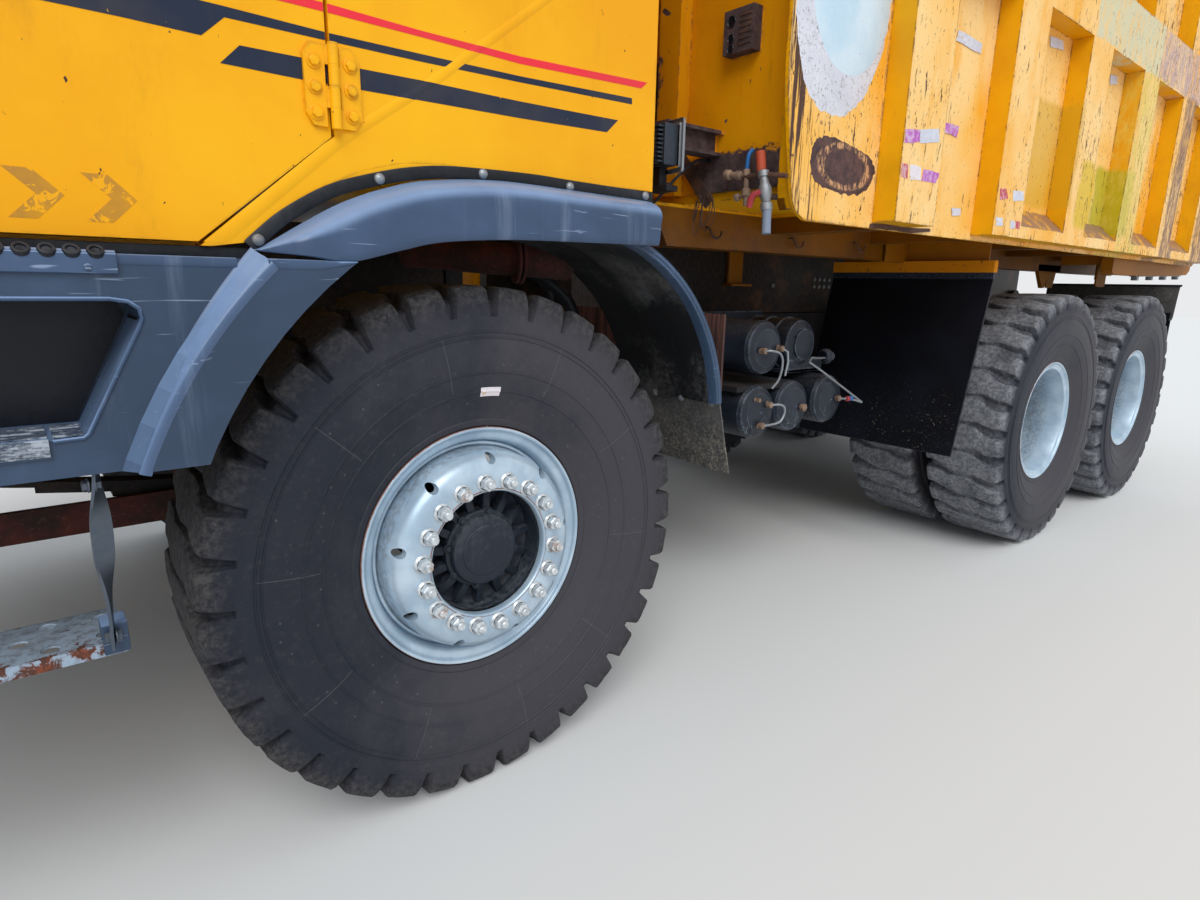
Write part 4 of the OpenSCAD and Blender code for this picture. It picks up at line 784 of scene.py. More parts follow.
def body_look():
    """The dump body's worn paint: chipped faces, deep sides, repainted patches, shaded underside."""
    k = Look("body_paint", 0.5, 0.0, 0.25)
    x, y, z = k.xyz()
    ny, nz = k.facing()[1:]
    side = k.size(y)
    outer = k.step(side, 1.689, 1.6935)
    face = k.both(k.step(k.size(ny), 0.72, 0.92), outer)
    cloud = k.noise(1.1, 5, 0.6)
    bleach = k.noise(4.0, 5, 0.7, stretch=(1, 1, 0.3))
    pale = k.mix(k.step(cloud, 0.36, 0.62), srgb(243, 180, 74), srgb(246, 205, 136))
    pale = k.mix(k.step(bleach, 0.48, 0.7), pale, srgb(240, 168, 40))
    deep = k.mix(k.step(k.noise(2.3, 4, 0.6), 0.4, 0.65), srgb(232, 168, 0), srgb(220, 154, 0))
    tone = k.mix(face, deep, pale)
    inside = k.both(k.both(k.step(side, 1.6885, 1.6865), k.step(z, 1.822, 1.826)),
                    k.step(x, AX - 1.152, AX - 1.162))
    worn_in = k.noise(5.0, 6, 0.72, stretch=(0.4, 1, 1))
    tone = k.mix(k.both(inside, k.step(worn_in, 0.32, 0.6, 0.35, 0.95)), tone,
                 k.mix(k.step(worn_in, 0.4, 0.7), srgb(128, 108, 92), srgb(168, 150, 128)))

    def paint(x0, x1, z0, z1, colour, soft=0.02, share=0.9, grain=0.0):
        """A repainted stretch; its edge wanders, and grain lets the old paint through in upright streaks."""
        nonlocal tone
        wob = k.both(k.minus(k.noise(5.0, 5, 0.7), 0.5), 0.1)
        held = k.both(k.band(k.plus(x, wob), AX + x0, AX + x1, soft), k.band(k.plus(z, wob), z0, z1, soft))
        show = k.both(held, outer)
        if grain:
            show = k.both(show, k.step(k.noise(34.0, 4, 0.75, stretch=(1, 1, 0.22), shift=(x0, 0, 0)),
                                       0.5 - grain, 0.56, 0.25, 1.0))
        tone = k.mix(k.both(show, share), tone, colour)

    paint(-3.36, -3.0, 1.92, 2.42, srgb(206, 158, 26), share=0.6)
    paint(-3.96, -3.44, 1.84, 2.17, srgb(216, 178, 28), share=0.9)
    paint(-4.33, -3.97, 1.84, 2.2, srgb(178, 166, 22), share=0.85)
    paint(-4.64, -4.17, 1.7, 2.76, srgb(218, 190, 84), grain=0.06)
    paint(-4.42, -3.34, 2.735, 3.0, srgb(204, 200, 166), soft=0.008, share=0.96, grain=0.16)
    paint(-6.6, -4.42, 2.735, 3.0, srgb(188, 158, 152), soft=0.008, share=0.96, grain=0.1)
    paint(-5.4, -5.1, 1.7, 2.74, srgb(122, 84, 74), grain=0.1)
    paint(-6.6, -5.92, 1.7, 3.3, srgb(118, 84, 72), grain=0.08)
    streak = k.noise(44.0, 4, 0.74, stretch=(1, 1, 0.2), warp=0.6)
    fleck = k.noise(88.0, 3, 0.74, stretch=(1, 1, 0.34), warp=0.4)
    long = k.noise(13.0, 5, 0.7, stretch=(1, 1, 0.05), shift=(2, 0, 0), warp=0.3)
    wide = k.noise(1.6, 3, 0.5)
    more = k.plus(k.step(x, AX - 2.9, AX - 5.2, 0.0, 0.04), k.both(k.step(wide, 0.35, 0.7), 0.045))
    chips = k.step(k.plus(streak, more), 0.655, 0.668)
    flecks = k.step(k.plus(fleck, more), 0.668, 0.684)
    scar = k.step(long, 0.705, 0.73)
    front = k.both(k.step(x, AX - 1.3, AX - 1.06), k.step(k.size(ny), 0.7, 0.9))
    grain = k.noise(58.0, 5, 0.7, stretch=(1, 1, 0.035), warp=0.35)
    wood = k.both(k.step(x, AX - 1.3, AX - 1.26), k.step(k.plus(grain, k.both(front, 0.16)), 0.6, 0.66))
    dark = k.both(k.most(k.most(chips, scar), k.most(flecks, wood)), k.step(face, 0.0, 1.0, 0.1, 1.0))
    rub = k.both(k.edges(0.012), k.step(k.noise(18.0, 5, 0.78), 0.44, 0.58, 0.0, 0.85))
    dark = k.most(dark, rub)
    tops = k.both(k.step(nz, 0.35, 0.7), k.step(k.noise(11.0, 5, 0.7), 0.36, 0.5, 0.2, 1.0))
    tone = k.mix(k.both(k.both(tops, outer), 0.9), tone, srgb(132, 100, 88))
    under = k.both(k.step(z, 1.8, 1.795), k.step(side, 1.67, 1.66))
    shade = k.mix(k.step(k.noise(3.0, 5, 0.65), 0.35, 0.65), srgb(104, 62, 0), srgb(124, 76, 2))
    tone = k.mix(under, tone, shade)
    # painted shade: near the middle the underside turns near black, over the runners
    runner_shade = k.step(side, 0.55, 0.5)
    tone = k.mix(k.both(under, runner_shade), tone, k.mix(k.step(fleck, 0.4, 0.7), srgb(30, 27, 27),
                                                  srgb(60, 50, 44)))
    stain = k.both(k.noise(5.0, 6, 0.72), under)
    tone = k.mix(k.step(stain, 0.5, 0.68, 0.0, 0.75), tone, srgb(92, 60, 36))
    tone = k.mix(dark, tone, k.mix(k.step(streak, 0.6, 0.9), srgb(84, 60, 50), srgb(40, 34, 38)))
    k.colour(tone)
    k.rough(k.step(dark, 0.0, 1.0, 0.46, 0.85))
    k.bump(k.minus(k.both(cloud, 4.0), k.both(dark, 0.4)), 0.2, 0.004)
    return k


# Wheels

def tyre_rows():
    """The tyre's outer half from the bead to the middle.

    A row is (land radius, land y, groove radius, groove y, groove width).
    """
    rows = []
    side = [(0.356, 0.146), (0.357, 0.155), (0.36, 0.163), (0.367, 0.1665), (0.376, 0.1685),
            (0.38, 0.1665), (0.4, 0.1745), (0.43, 0.188), (0.4585, 0.1978), (0.46, 0.2003), (0.464, 0.201),
            (0.4655, 0.1996), (0.49, 0.2062), (0.512, 0.2102), (0.5135, 0.2124), (0.5175, 0.2128),
            (0.519, 0.211), (0.55, 0.2136), (0.58, 0.213), (0.606, 0.2105), (0.6075, 0.2128),
            (0.6105, 0.2128), (0.612, 0.2098), (0.62, 0.2092), (0.6215, 0.2116), (0.6245, 0.2114),
            (0.626, 0.2084), (0.642, 0.2076), (0.656, 0.2068)]
    for r, y in side:
        rows.append((r, y, r, y, 0.03))
    rows += [(0.662, 0.2064, 0.6625, 0.2062, 0.03), (0.665, 0.2062, 0.6665, 0.19, 0.031),
             (0.68, 0.2058, 0.681, 0.185, 0.036), (0.7, 0.2046, 0.695, 0.18, 0.043),
             (0.718, 0.2022, 0.702, 0.174, 0.05), (0.73, 0.1985, 0.706, 0.168, 0.054),
             (0.7385, 0.192, 0.708, 0.16, 0.057), (0.7425, 0.182, 0.709, 0.152, 0.058),
             (0.7435, 0.16, 0.7095, 0.14, 0.057), (0.7442, 0.13, 0.71, 0.124, 0.054),
             (0.7446, 0.1, 0.711, 0.098, 0.048), (0.7448, 0.072, 0.715, 0.071, 0.04),
             (0.7449, 0.048, 0.722, 0.048, 0.032), (0.745, 0.024, 0.729, 0.024, 0.026),
             (0.745, 0.0, 0.731, 0.0, 0.024)]
    return rows


def groove_shift(y):
    """How far round a groove has wandered at this distance from the middle plane, in metres."""
    table = [(0.25, 0.0), (0.15, 0.0), (0.11, 0.013), (0.07, 0.036), (0.03, 0.04), (-0.03, 0.04),
             (-0.07, 0.044), (-0.11, 0.067), (-0.15, 0.08), (-0.25, 0.08)]
    for (a, p), (b, q) in zip(table, table[1:]):
        if y >= b:
            return p + (q - p) * (a - y) / (a - b)
    return 0.08


def tyre_mesh(name, lugs=30, worn=0.0, narrow=1.0):
    half = tyre_rows()
    rows = half + [(a, -b, c, -d, w) for a, b, c, d, w in reversed(half[:-1])]
    base_r = 0.745
    pitch = 2 * pi / lugs
    cols = []
    for k in range(lugs):
        for kind in range(9):
            cols.append((k, kind))
    v = []
    for r, y, gr, gy, w in rows:
        sh = groove_shift(y if abs(y) > 0.001 else 0.0)
        top = w * (1 + 0.15 * worn) * narrow
        bottom = max(top - 0.018, 0.008)
        spread = pitch * base_r
        for k, kind in cols:
            a = [-bottom / 2, bottom / 2, top / 2, top / 2 + 0.006, spread * 0.38, spread * 0.5,
                 spread * 0.62, spread - top / 2 - 0.006, spread - top / 2][kind]
            g = [1, 1, 0.1, 0, 0, 0, 0, 0, 0.1][kind]
            n = 0.0
            if r > 0.66 and kind not in (0, 1):
                c = Vector((k * 1.7 + kind * 0.31, y * 11, r * 3))
                a += 0.0045 * noise.noise(c * 3.1)
                n = 0.0035 * max(0.0, noise.noise(c * 2.3 + Vector((9, 3, 1))))
            ang = k * pitch + (a + sh) / base_r
            rr = r + (gr - r) * g - (n if abs(y) < 0.19 else 0.0)
            yy = y + (gy - y) * g - (math.copysign(n, y) if abs(y) >= 0.15 else 0.0)
            v.append((rr * cos(ang), yy, rr * sin(ang)))
    n = len(cols)
    f = [quad(n, i, (i + 1) % len(rows), j) for i in range(len(rows)) for j in range(n)]
    return mesh_of(name, v, f)


def lathe(name, profile, n=128, holes=()):
    """A closed section of (radius, y) turned about Y."""
    m = len(profile)
    v = [(r * cos(2 * pi * i / n), y, r * sin(2 * pi * i / n)) for r, y in profile for i in range(n)]
    f = [quad(n, a, (a + 1) % m, i) for a in range(m) for i in range(n)]
    me = mesh_of(name, v, f)
    if not holes:
        return me
    cut = Kit()
    for p, r, h in holes:
        cut.turned([(r, -h), (r, h)], p, (0, 1, 0), 20)
    return cut_away(name, me, cut)


FRONT_RIM = [(0.3555, 0.163), (0.3535, 0.1652), (0.35, 0.1655), (0.3468, 0.164), (0.344, 0.16),
             (0.3415, 0.1556), (0.338, 0.1525), (0.332, 0.15), (0.325, 0.1478), (0.3195, 0.144),
             (0.3155, 0.138), (0.313, 0.129), (0.3115, 0.118), (0.3105, 0.11), (0.3092, 0.109),
             (0.3082, 0.115), (0.3066, 0.1186), (0.304, 0.12), (0.3, 0.12), (0.2978, 0.1184),
             (0.2968, 0.115), (0.2958, 0.11), (0.2946, 0.11), (0.2938, 0.125), (0.2936, 0.148),
             (0.2922, 0.168), (0.2888, 0.185), (0.2832, 0.199), (0.2755, 0.209), (0.266, 0.2158),
             (0.256, 0.22), (0.247, 0.2222), (0.239, 0.223), (0.1925, 0.223), (0.1905, 0.2218),
             (0.1885, 0.223), (0.1865, 0.2226), (0.184, 0.2206), (0.1822, 0.217), (0.1812, 0.21),
             (0.181, 0.2), (0.244, 0.2), (0.26, 0.194), (0.272, 0.178), (0.279, 0.15), (0.282, 0.1),
             (0.299, 0.07), (0.301, -0.06), (0.285, -0.09), (0.3, -0.13), (0.335, -0.15), (0.344, -0.159),
             (0.35, -0.1655), (0.3545, -0.164), (0.3555, -0.16), (0.354, -0.15), (0.317, -0.145),
             (0.3155, -0.098), (0.299, -0.07), (0.31, 0.06), (0.316, 0.1), (0.3185, 0.133), (0.323, 0.141),
             (0.354, 0.146), (0.3555, 0.156)]
REAR_RIM = [(0.3555, 0.162), (0.3535, 0.1648), (0.35, 0.1652), (0.3465, 0.1635), (0.343, 0.159),
            (0.339, 0.154), (0.328, 0.153), (0.324, 0.15), (0.32, 0.1515), (0.314, 0.15), (0.311, 0.142),
            (0.306, 0.12), (0.301, 0.09), (0.296, 0.05), (0.294, 0.0), (0.293, -0.07), (0.29, -0.085),
            (0.284, -0.112), (0.274, -0.15), (0.266, -0.19), (0.258, -0.212), (0.25, -0.224),
            (0.242, -0.2275), (0.179, -0.2275), (0.175, -0.2285), (0.173, -0.231), (0.173, -0.248),
            (0.254, -0.248), (0.275, -0.212), (0.299, -0.13), (0.317, -0.145), (0.34, -0.152),
            (0.344, -0.159), (0.35, -0.1652), (0.3545, -0.164), (0.3555, -0.16), (0.354, -0.15),
            (0.318, -0.144), (0.3155, -0.098), (0.304, -0.07), (0.31, 0.06), (0.3155, 0.098),
            (0.317, 0.145), (0.354, 0.15), (0.3555, 0.156)]


def stud_ring(face, radius=0.2125, count=18, long=0.014):
    k = Kit()
    for i in range(count):
        a = 2 * pi * i / count + 0.09
        p = Vector((radius * cos(a), face, radius * sin(a)))
        k.turned([(0.0255, 0), (0.0255, 0.0035), (0.024, 0.0048), (0.0215, 0.0085), (0.0205, 0.009)], p,
                 (0, 1, 0), 24, closed=False)
        k.turned([(0.0205, 0.0085), (0.0205, 0.027), (0.018, 0.0298), (0.0115, 0.0304)], p, (0, 1, 0), 6,
                 a * 1.7, closed=False)
        k.turned([(0.0118, 0.029), (0.0118, 0.03 + long * 0.8), (0.0095, 0.0302 + long),
                  (0, 0.0302 + long)], p, (0, 1, 0), 14, closed=False)
    return k


def front_hub():
    """The hub behind the bore: a ribbed dish, a domed cap and its small bolts."""
    k = Kit()
    k.turned([(0.1795, 0.19), (0.179, 0.128), (0.166, 0.12), (0.116, 0.114), (0.115, 0.154),
              (0.1145, 0.166), (0.11, 0.169), (0.1045, 0.1695), (0.104, 0.184), (0.101, 0.189),
              (0.095, 0.1915), (0.08, 0.1935), (0.0755, 0.193), (0.0735, 0.195), (0.058, 0.1965),
              (0, 0.1972)], (0, 0, 0), (0, 1, 0), 96, closed=False)
    for i in range(15):
        m = Matrix.Rotation(-(2 * pi * i / 15 + 0.1), 4, "Y")
        b = Kit().box((0.108, 0.112, -0.0115), (0.177, 0.16, 0.0115), 0.004)
        low = [Vector((p.x, p.y - max(0.0, p.x - 0.108) * (0.2 if p.y > 0.13 else 0.0), p.z)) for p in b.v]
        k.add([m @ p for p in low], b.f)
    for i in range(8):
        a = 2 * pi * i / 8 + 0.2
        k.bolt((0.111 * cos(a), 0.1688, 0.111 * sin(a)), (0, 1, 0), 0.0085, 0.009)
    return k


def add_wheels(L):
    # The paper label lies on the front tyre's sidewall
    sidewall = ((0.4475, 0.1937), (0.4585, 0.1978), (0.46, 0.2003), (0.464, 0.201), (0.4655, 0.1996),
                (0.473, 0.2016))
    rows = []
    for i in range(6):
        turn = radians(96.2 - 7.6 * i / 5)
        front = [(r * cos(turn), y + 0.0008, r * sin(turn)) for r, y in sidewall]
        rows.append([Vector(p) for p in front] + [Vector((a, b - 0.002, c)) for a, b, c in reversed(front)])
    label = skin(rows)
    front_tyre = tyre_mesh("front_tyre", 35, 0.0, 0.74)
    rear_tyre = tyre_mesh("rear_tyre", worn=1.0)
    turns = [2 * pi * i / 9 + 0.21 for i in range(9)]
    holes = [((0.274 * cos(a), 0.2, 0.274 * sin(a)), 0.0145, 0.08) for a in turns]
    front_rim = lathe("front_rim", FRONT_RIM, 144, holes)
    hand = [(0.262 * cos(2 * pi * i / 8 + 0.3), -0.19, 0.262 * sin(2 * pi * i / 8 + 0.3)) for i in range(8)]
    rear_rim = lathe("rear_rim", REAR_RIM, 112, [(p, 0.02, 0.06) for p in hand])
    front_studs = stud_ring(0.223)
    hub = front_hub()
    rear_studs = stud_ring(-0.2275, long=0.018)
    rear_hub = Kit().turned([(0.176, -0.248), (0.172, -0.236), (0.16, -0.232), (0.158, -0.14),
                             (0.154, -0.11), (0.14, -0.07), (0.132, -0.062), (0.128, -0.052),
                             (0.106, -0.04), (0.1, -0.012), (0.09, -0.006), (0, -0.004)], (0, 0, 0),
                            (0, 1, 0), 64)
    for i in range(12):
        a = 2 * pi * i / 12
        rear_hub.bolt((0.145 * cos(a), -0.082, 0.145 * sin(a)), (0, 1, 0), 0.008, 0.01)
    meshes = {}

    def put(name, key, kit, look, body, centre, right):
        """A shared mesh at a wheel's centre; on the right it is turned half round to face outwards."""
        if key not in meshes:
            me = mesh_of(key, kit.v, kit.f) if isinstance(kit, Kit) else kit
            me.materials.clear()
            me.materials.append(look.mat)
            me.shade_smooth()
            me.set_sharp_from_angle(angle=radians(32))
            meshes[key] = me
        o = bpy.data.objects.new(name, meshes[key])
        o.location = centre
        if right:
            o.rotation_euler = (0, 0, pi)
        bpy.context.scene.collection.objects.link(o)
        bpy.context.view_layer.update()
        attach(o, body)
        return o

    for side, s in (("left", 1), ("right", -1)):
        right = s < 0
        body = "front_%s_wheel" % side
        c = at(0, s * (wheel_low.y + wheel_high.y) / 2, AZ)
        t = put("front_tyre_" + side, "front_tyre", front_tyre, L["tread"], body, c, right)
        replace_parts(t, "tyre_front_" + side)
        r = put("front_rim_" + side, "front_rim", front_rim, L["rim"], body, c, right)
        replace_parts(r, "rim_front_" + side)
        put("tyre_label_" + side, "tyre_label", label, L["film_pale"], body, c, right)
        put("front_nuts_" + side, "front_nuts", front_studs, L["nut"], body, c, right)
        put("front_hub_" + side, "front_hub", hub, L["hub"], body, c, right)
        for n in (1, 2):
            body = "rear%d_%s_wheels" % (n, side)
            low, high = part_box("rims_rear%d_%s" % (n, side))
            mid = (low + high) / 2
            for name, off in (("outer", 0.25), ("inner", -0.25)):
                y = mid.y + s * off
                flip = right if name == "outer" else not right
                c = Vector((mid.x, y, AZ))
                t = put("rear%d_tyre_%s_%s" % (n, name, side), "rear_tyre", rear_tyre, L["rear_tread"],
                        body, c, flip)
                r = put("rear%d_rim_%s_%s" % (n, name, side), "rear_rim", rear_rim, L["rim"], body, c, flip)
                if name == "outer":
                    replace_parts(t, "tyres_rear%d_%s" % (n, side))
                    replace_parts(r, "rims_rear%d_%s" % (n, side))
                    put("rear%d_nuts_%s" % (n, side), "rear_nuts", rear_studs, L["nut"], body, c, right)
                    put("rear%d_hub_%s" % (n, side), "rear_hub", rear_hub, L["hub"], body, c, right)


# The cab's side, its stripes and the front wheel's surround

CAB_Y = 1.59
FLARE_Y = 1.67
PANEL_Y = 1.63
DOOR = ("left_door", "right_door")
CAB = ("chassis", "chassis")
DUMP = ("dump_body", "dump_body")


def both_sides(name, kit, look, bodies, smooth=35):
    """The piece on the left, and its mirror image on the right."""
    left = kit.make(name + "_left", look, bodies[0], smooth)
    right = kit.mirrored().make(name + "_right", look, bodies[-1], smooth)
    return left, right


def flat_plate(kit, outline, y0, y1):
    """A flat plate between two Y planes; its outline's points are from the front axle."""
    return kit.slab([(AX + x, z) for x, z in outline], y0, y1)


def sheet_on(kit, outline, y, thick):
    """A thin decal in X and Z, lying on the plane at y."""
    return flat_plate(kit, outline, y, y + thick)


def ruled(kit, rows, closed=False, caps=False):
    """A skin over rows of points; closed joins each row's ends, caps shuts the first and last row."""
    n = len(rows[0])
    v = [p for row in rows for p in row]
    reach = n if closed else n - 1
    f = [quad(n, i, i + 1, j) for i in range(len(rows) - 1) for j in range(reach)]
    if caps:
        f += [tuple(reversed(range(n))), tuple(range((len(rows) - 1) * n, len(rows) * n))]
    return kit.add(v, f)


def strap_section(middle, e, n):
    """A flat bar's cross section: e is half its width, and n half its thickness."""
    return [middle - e - n, middle + e - n, middle + e + n, middle - e + n]


def skin(rows, kit=None):
    """A solid with the rows as its cross sections, closed at both ends."""
    return ruled(Kit() if kit is None else kit, rows, closed=True, caps=True)


def stripe(name, parts, look, proud=0.0008):
    """A stripe as stations of (lower x, z, upper x, z); one list of stations for each body it lies on."""
    for k, (bodies, stations) in enumerate(parts):
        outline = [(a, b) for a, b, c, d in stations] + [(c, d) for a, b, c, d in reversed(stations)]
        both_sides("%s_%d" % (name, k), sheet_on(Kit(), outline, CAB_Y, proud), look, bodies)


def worn_film(name, colour, under, amount=0.5, rough=0.4, shade=0.35):
    """A sticker that has chipped down to what is under it."""
    k = Look(name, rough, 0.0, 0.25)
    chips = k.step(k.noise(34.0, 4, 0.75, warp=0.6), 0.7 - 0.08 * amount, 0.72 - 0.08 * amount)
    cloud = k.noise(6.0, 4, 0.6)
    k.colour(k.mix(chips, k.mix(k.step(cloud, 0.35, 0.7, 0.0, shade), colour, srgb(120, 100, 74)), under))
    k.bump(k.both(chips, -1.0), 0.2, 0.001)
    return k


def between(points, z):
    """The x at height z on a line of (x, z)."""
    for (a, p), (b, q) in zip(points, points[1:]):
        if (p - z) * (q - z) <= 0 and p != q:
            return a + (b - a) * (z - p) / (q - p)
    return points[-1][0] if abs(points[-1][1] - z) < abs(points[0][1] - z) else points[0][0]


CREASE = [(0.632, 1.566), (0.368, 1.792), (0.145, 1.946), (-0.182, 2.198), (-0.33, 2.312)]


def crease_part(low, high):
    """A stretch of the raised crease between two heights, with level ends."""
    rows = []
    steps = max(2, int((high - low) / 0.03))
    for i in range(steps + 1):
        z = low + (high - low) * i / steps
        x = between(CREASE, z)
        end = min(1.0, 0.15 + min(z - CREASE[0][1], CREASE[-1][1] - z) / 0.05)
        wide = 0.023 - 0.006 * (z - 1.566) / 0.75
        rows.append([at(x + u * wide, CAB_Y + h * end, z) for u, h in ((-1, 0.0001), (-0.55, 0.0017),
                (0, 0.0024), (0.55, 0.0017), (1, 0.0001))])
    return ruled(Kit(), rows)


def add_cab(L):
    amber = srgb(243, 172, 14)
    navy = worn_film("navy_stripe", srgb(30, 40, 60), amber, 0.2, shade=0.12)
    red = worn_film("red_stripe", srgb(232, 48, 62), amber, 0.0, shade=0.1)
    ghost = worn_film("ghost_marks", srgb(206, 142, 22), srgb(238, 166, 12), 1.9, shade=0.6)
    stripe("navy_upper", [(CAB, [(-0.488, 2.002, -0.487, 2.018), (-0.105, 1.993, -0.105, 2.007),
                                 (0.168, 1.989, 0.168, 2.005), (0.3755, 1.9885, 0.3755, 2.004)]),
                          (DOOR, [(0.3845, 1.9885, 0.3845, 2.0041), (0.578, 1.989, 0.578, 2.0085),
                                  (0.622, 1.948, 0.622, 2.009), (0.752, 1.951, 0.752, 2.0095),
                                  (1.3915, 1.952, 1.3915, 2.01)]),
                          (CAB, [(1.4005, 1.952, 1.4005, 2.01), (1.985, 1.952, 1.985, 2.01)])], navy)
    stripe("navy_lower", [(CAB, [(-0.396, 1.915, -0.436, 1.952), (-0.105, 1.9085, -0.105, 1.948),
                                 (0.17, 1.906, 0.17, 1.949), (0.3755, 1.9035, 0.3755, 1.9463)]),
                          (DOOR, [(0.3845, 1.9034, 0.3845, 1.946), (0.434, 1.903, 0.434, 1.945),
                                  (0.593, 1.905, 0.555, 1.944)])], navy)
    stripe("red", [(CAB, [(-0.522, 2.05, -0.545, 2.069), (-0.106, 2.036, -0.106, 2.053),
                          (0.166, 2.041, 0.166, 2.054), (0.3755, 2.043, 0.3755, 2.06)]),
                   (DOOR, [(0.3845, 2.043, 0.3845, 2.06), (1.3915, 2.043, 1.3915, 2.062)]),
                   (CAB, [(1.4005, 2.043, 1.4005, 2.062), (1.985, 2.043, 1.985, 2.062)])], red)
    arrows = Kit()
    for dx in (0.0, 0.112):
        tip = [(0.956, 1.677), (0.915, 1.677), (0.872, 1.635), (0.915, 1.592), (0.956, 1.592), (0.913, 1.635)]
        sheet_on(arrows, [(x - dx, z) for x, z in tip], CAB_Y, 0.0005)
    both_sides("ghost_arrows", arrows, ghost, DOOR)
    # The crease is painted with the stripes that cross it
    for k, (low, high, look) in enumerate([(1.566, 1.9045, L["cab"]), (1.9045, 1.949, navy),
                                           (1.949, 2.037, L["cab"]), (2.037, 2.0535, red),
                                           (2.0535, 2.312, L["cab"])]):
        both_sides("crease_%d" % k, crease_part(low, high), look, CAB, 60)
    arch = [(0.569, 1.56), (0.555, 1.574), (0.492, 1.627), (0.396, 1.684), (0.297, 1.718), (0.2, 1.742),
            (0.088, 1.756), (-0.131, 1.762), (-0.277, 1.759), (-0.576, 1.754)]
    pts = smooth_path([at(x, CAB_Y, z) for x, z in arch], 5)
    section = [(-0.0145, 0.0), (-0.0145, 0.0045), (-0.012, 0.0065), (0.0125, 0.0065), (0.0145, 0.005),
               (0.0145, 0.0)]
    # Cab-coloured sheet closes the arch's cut above the band
    fill = flat_plate(Kit(), ((0.5, 1.62), (0.396, 1.684), (0.2, 1.742), (0.0, 1.758), (0.0, 1.806),
                              (0.2, 1.806), (0.33, 1.78), (0.43, 1.722), (0.5, 1.668)), CAB_Y - 0.012,
                      CAB_Y - 0.0006)
    both_sides("arch_fill", fill, L["cab"], CAB)
    rows = []
    for i, p in enumerate(pts):
        d = (pts[min(i + 1, len(pts) - 1)] - pts[max(i - 1, 0)]).normalized()
        up = Vector((-d.z, 0, d.x))
        up = up if up.z > 0 else -up
        rows.append([p + up * u + Vector((0, h, 0)) for u, h in section])
    both_sides("arch_seal", skin(rows), L["rubber"], CAB, 40)
    screws = Kit()
    for x, z in [(0.553, 1.574), (0.282, 1.722), (0.011, 1.761), (-0.262, 1.756), (-0.545, 1.757)]:
        screws.turned([(0.0125, 0.006), (0.0125, 0.0085), (0.0105, 0.0125), (0.006, 0.015), (0, 0.0155)],
                      at(x, CAB_Y, z), (0, 1, 0), 20)
        screws.screw(at(x, CAB_Y + 0.0125, z), (0, 1, 0), 0.0075, 0.004)
    both_sides("arch_screws", screws, L["plain_steel"], CAB)
    for name, x, zs, bodies in (("door_hinge_bolts", 0.415, (1.942, 1.892, 1.841), DOOR),
                                ("cab_hinge_bolts", 0.337, (1.945, 1.894, 1.843), CAB)):
        kit = Kit()
        for up in (0.0, 1.093):
            for i, z in enumerate(zs):
                kit.bolt(at(x, CAB_Y + 0.009, z + up), (0, 1, 0), 0.0112, 0.0105, 1.42, i * 0.7 + up)
        both_sides(name, kit, L["cab"], bodies, 30)
    # A dark strip of painted shade closes the gap between the door's sill and the step panel
    sill = Kit().box(at(0.56, 1.47, 1.5345), at(1.955, 1.578, 1.5575), 0.004)
    both_sides("sill_gap_shade", sill, L["rubber"], CAB)
    # Door handle, on its dark recess plate
    grip = Kit()
    grip.box(at(1.235, CAB_Y - 0.001, 2.228), at(1.375, CAB_Y + 0.005, 2.302), 0.003)
    grip.tube(bend(5, [(1.255, CAB_Y + 0.004, 2.265), (1.268, CAB_Y + 0.034, 2.265),
                       (1.305, CAB_Y + 0.043, 2.265), (1.342, CAB_Y + 0.034, 2.265),
                       (1.355, CAB_Y + 0.004, 2.265)]), 0.0095, 10)
    both_sides("door_handle", grip, L["trim"], DOOR)
    rail = Kit().tube(bend(6, [(1.452, CAB_Y - 0.002, 1.76), (1.452, CAB_Y + 0.052, 1.8),
                               (1.452, CAB_Y + 0.06, 2.2), (1.452, CAB_Y + 0.06, 2.7),
                               (1.452, CAB_Y + 0.052, 3.02), (1.452, CAB_Y - 0.002, 3.06)]), 0.014, 12)
    for z in (1.76, 3.06):
        rail.turned([(0.03, 0.0), (0.03, 0.004), (0.022, 0.008), (0, 0.008)], at(1.452, CAB_Y, z),
                    (0, 1, 0), 20)
    both_sides("grab_rail", rail, L["trim"], CAB)
    add_rubbers(L)


def frame_loop(points, width, out, depth):
    """A rubber that follows a closed outline; out is the surface's direction there."""
    n = len(points)
    out = Vector(out).normalized()
    rows = []
    mid = sum(points, Vector()) / n
    for i, p in enumerate(points):
        d0 = (p - points[i - 1]).normalized()
        d1 = (points[(i + 1) % n] - p).normalized()
        a = out.cross(d0).normalized()
        b = out.cross(d1).normalized()
        m = (a + b).normalized()
        m = m / max(m.dot(a), 0.3)
        if (p - mid).dot(m) < 0:
            m = -m
        rows.append([p + m * u + out * h for u, h in ((width * 0.35, 0.0), (width * 0.2, depth * 0.8),
                                                      (-width * 0.25, depth), (-width * 0.65, depth * 0.7),
                                                      (-width * 0.65, -0.024))])
    v = [q for r in rows for q in r]
    k = 5
    f = [quad(k, i, (i + 1) % n, j) for i in range(n) for j in range(k)]
    return Kit().add(v, f)


def rounded(points, r, steps=5):
    """Rounds the corners of a closed outline of vectors."""
    n = len(points)
    out = []
    for i, p in enumerate(points):
        a = (points[i - 1] - p).normalized()
        b = (points[(i + 1) % n] - p).normalized()
        for k in range(steps + 1):
            t = k / steps
            out.append((p + a * r) * (1 - t) ** 2 + p * 2 * t * (1 - t) + (p + b * r) * t ** 2)
    return out


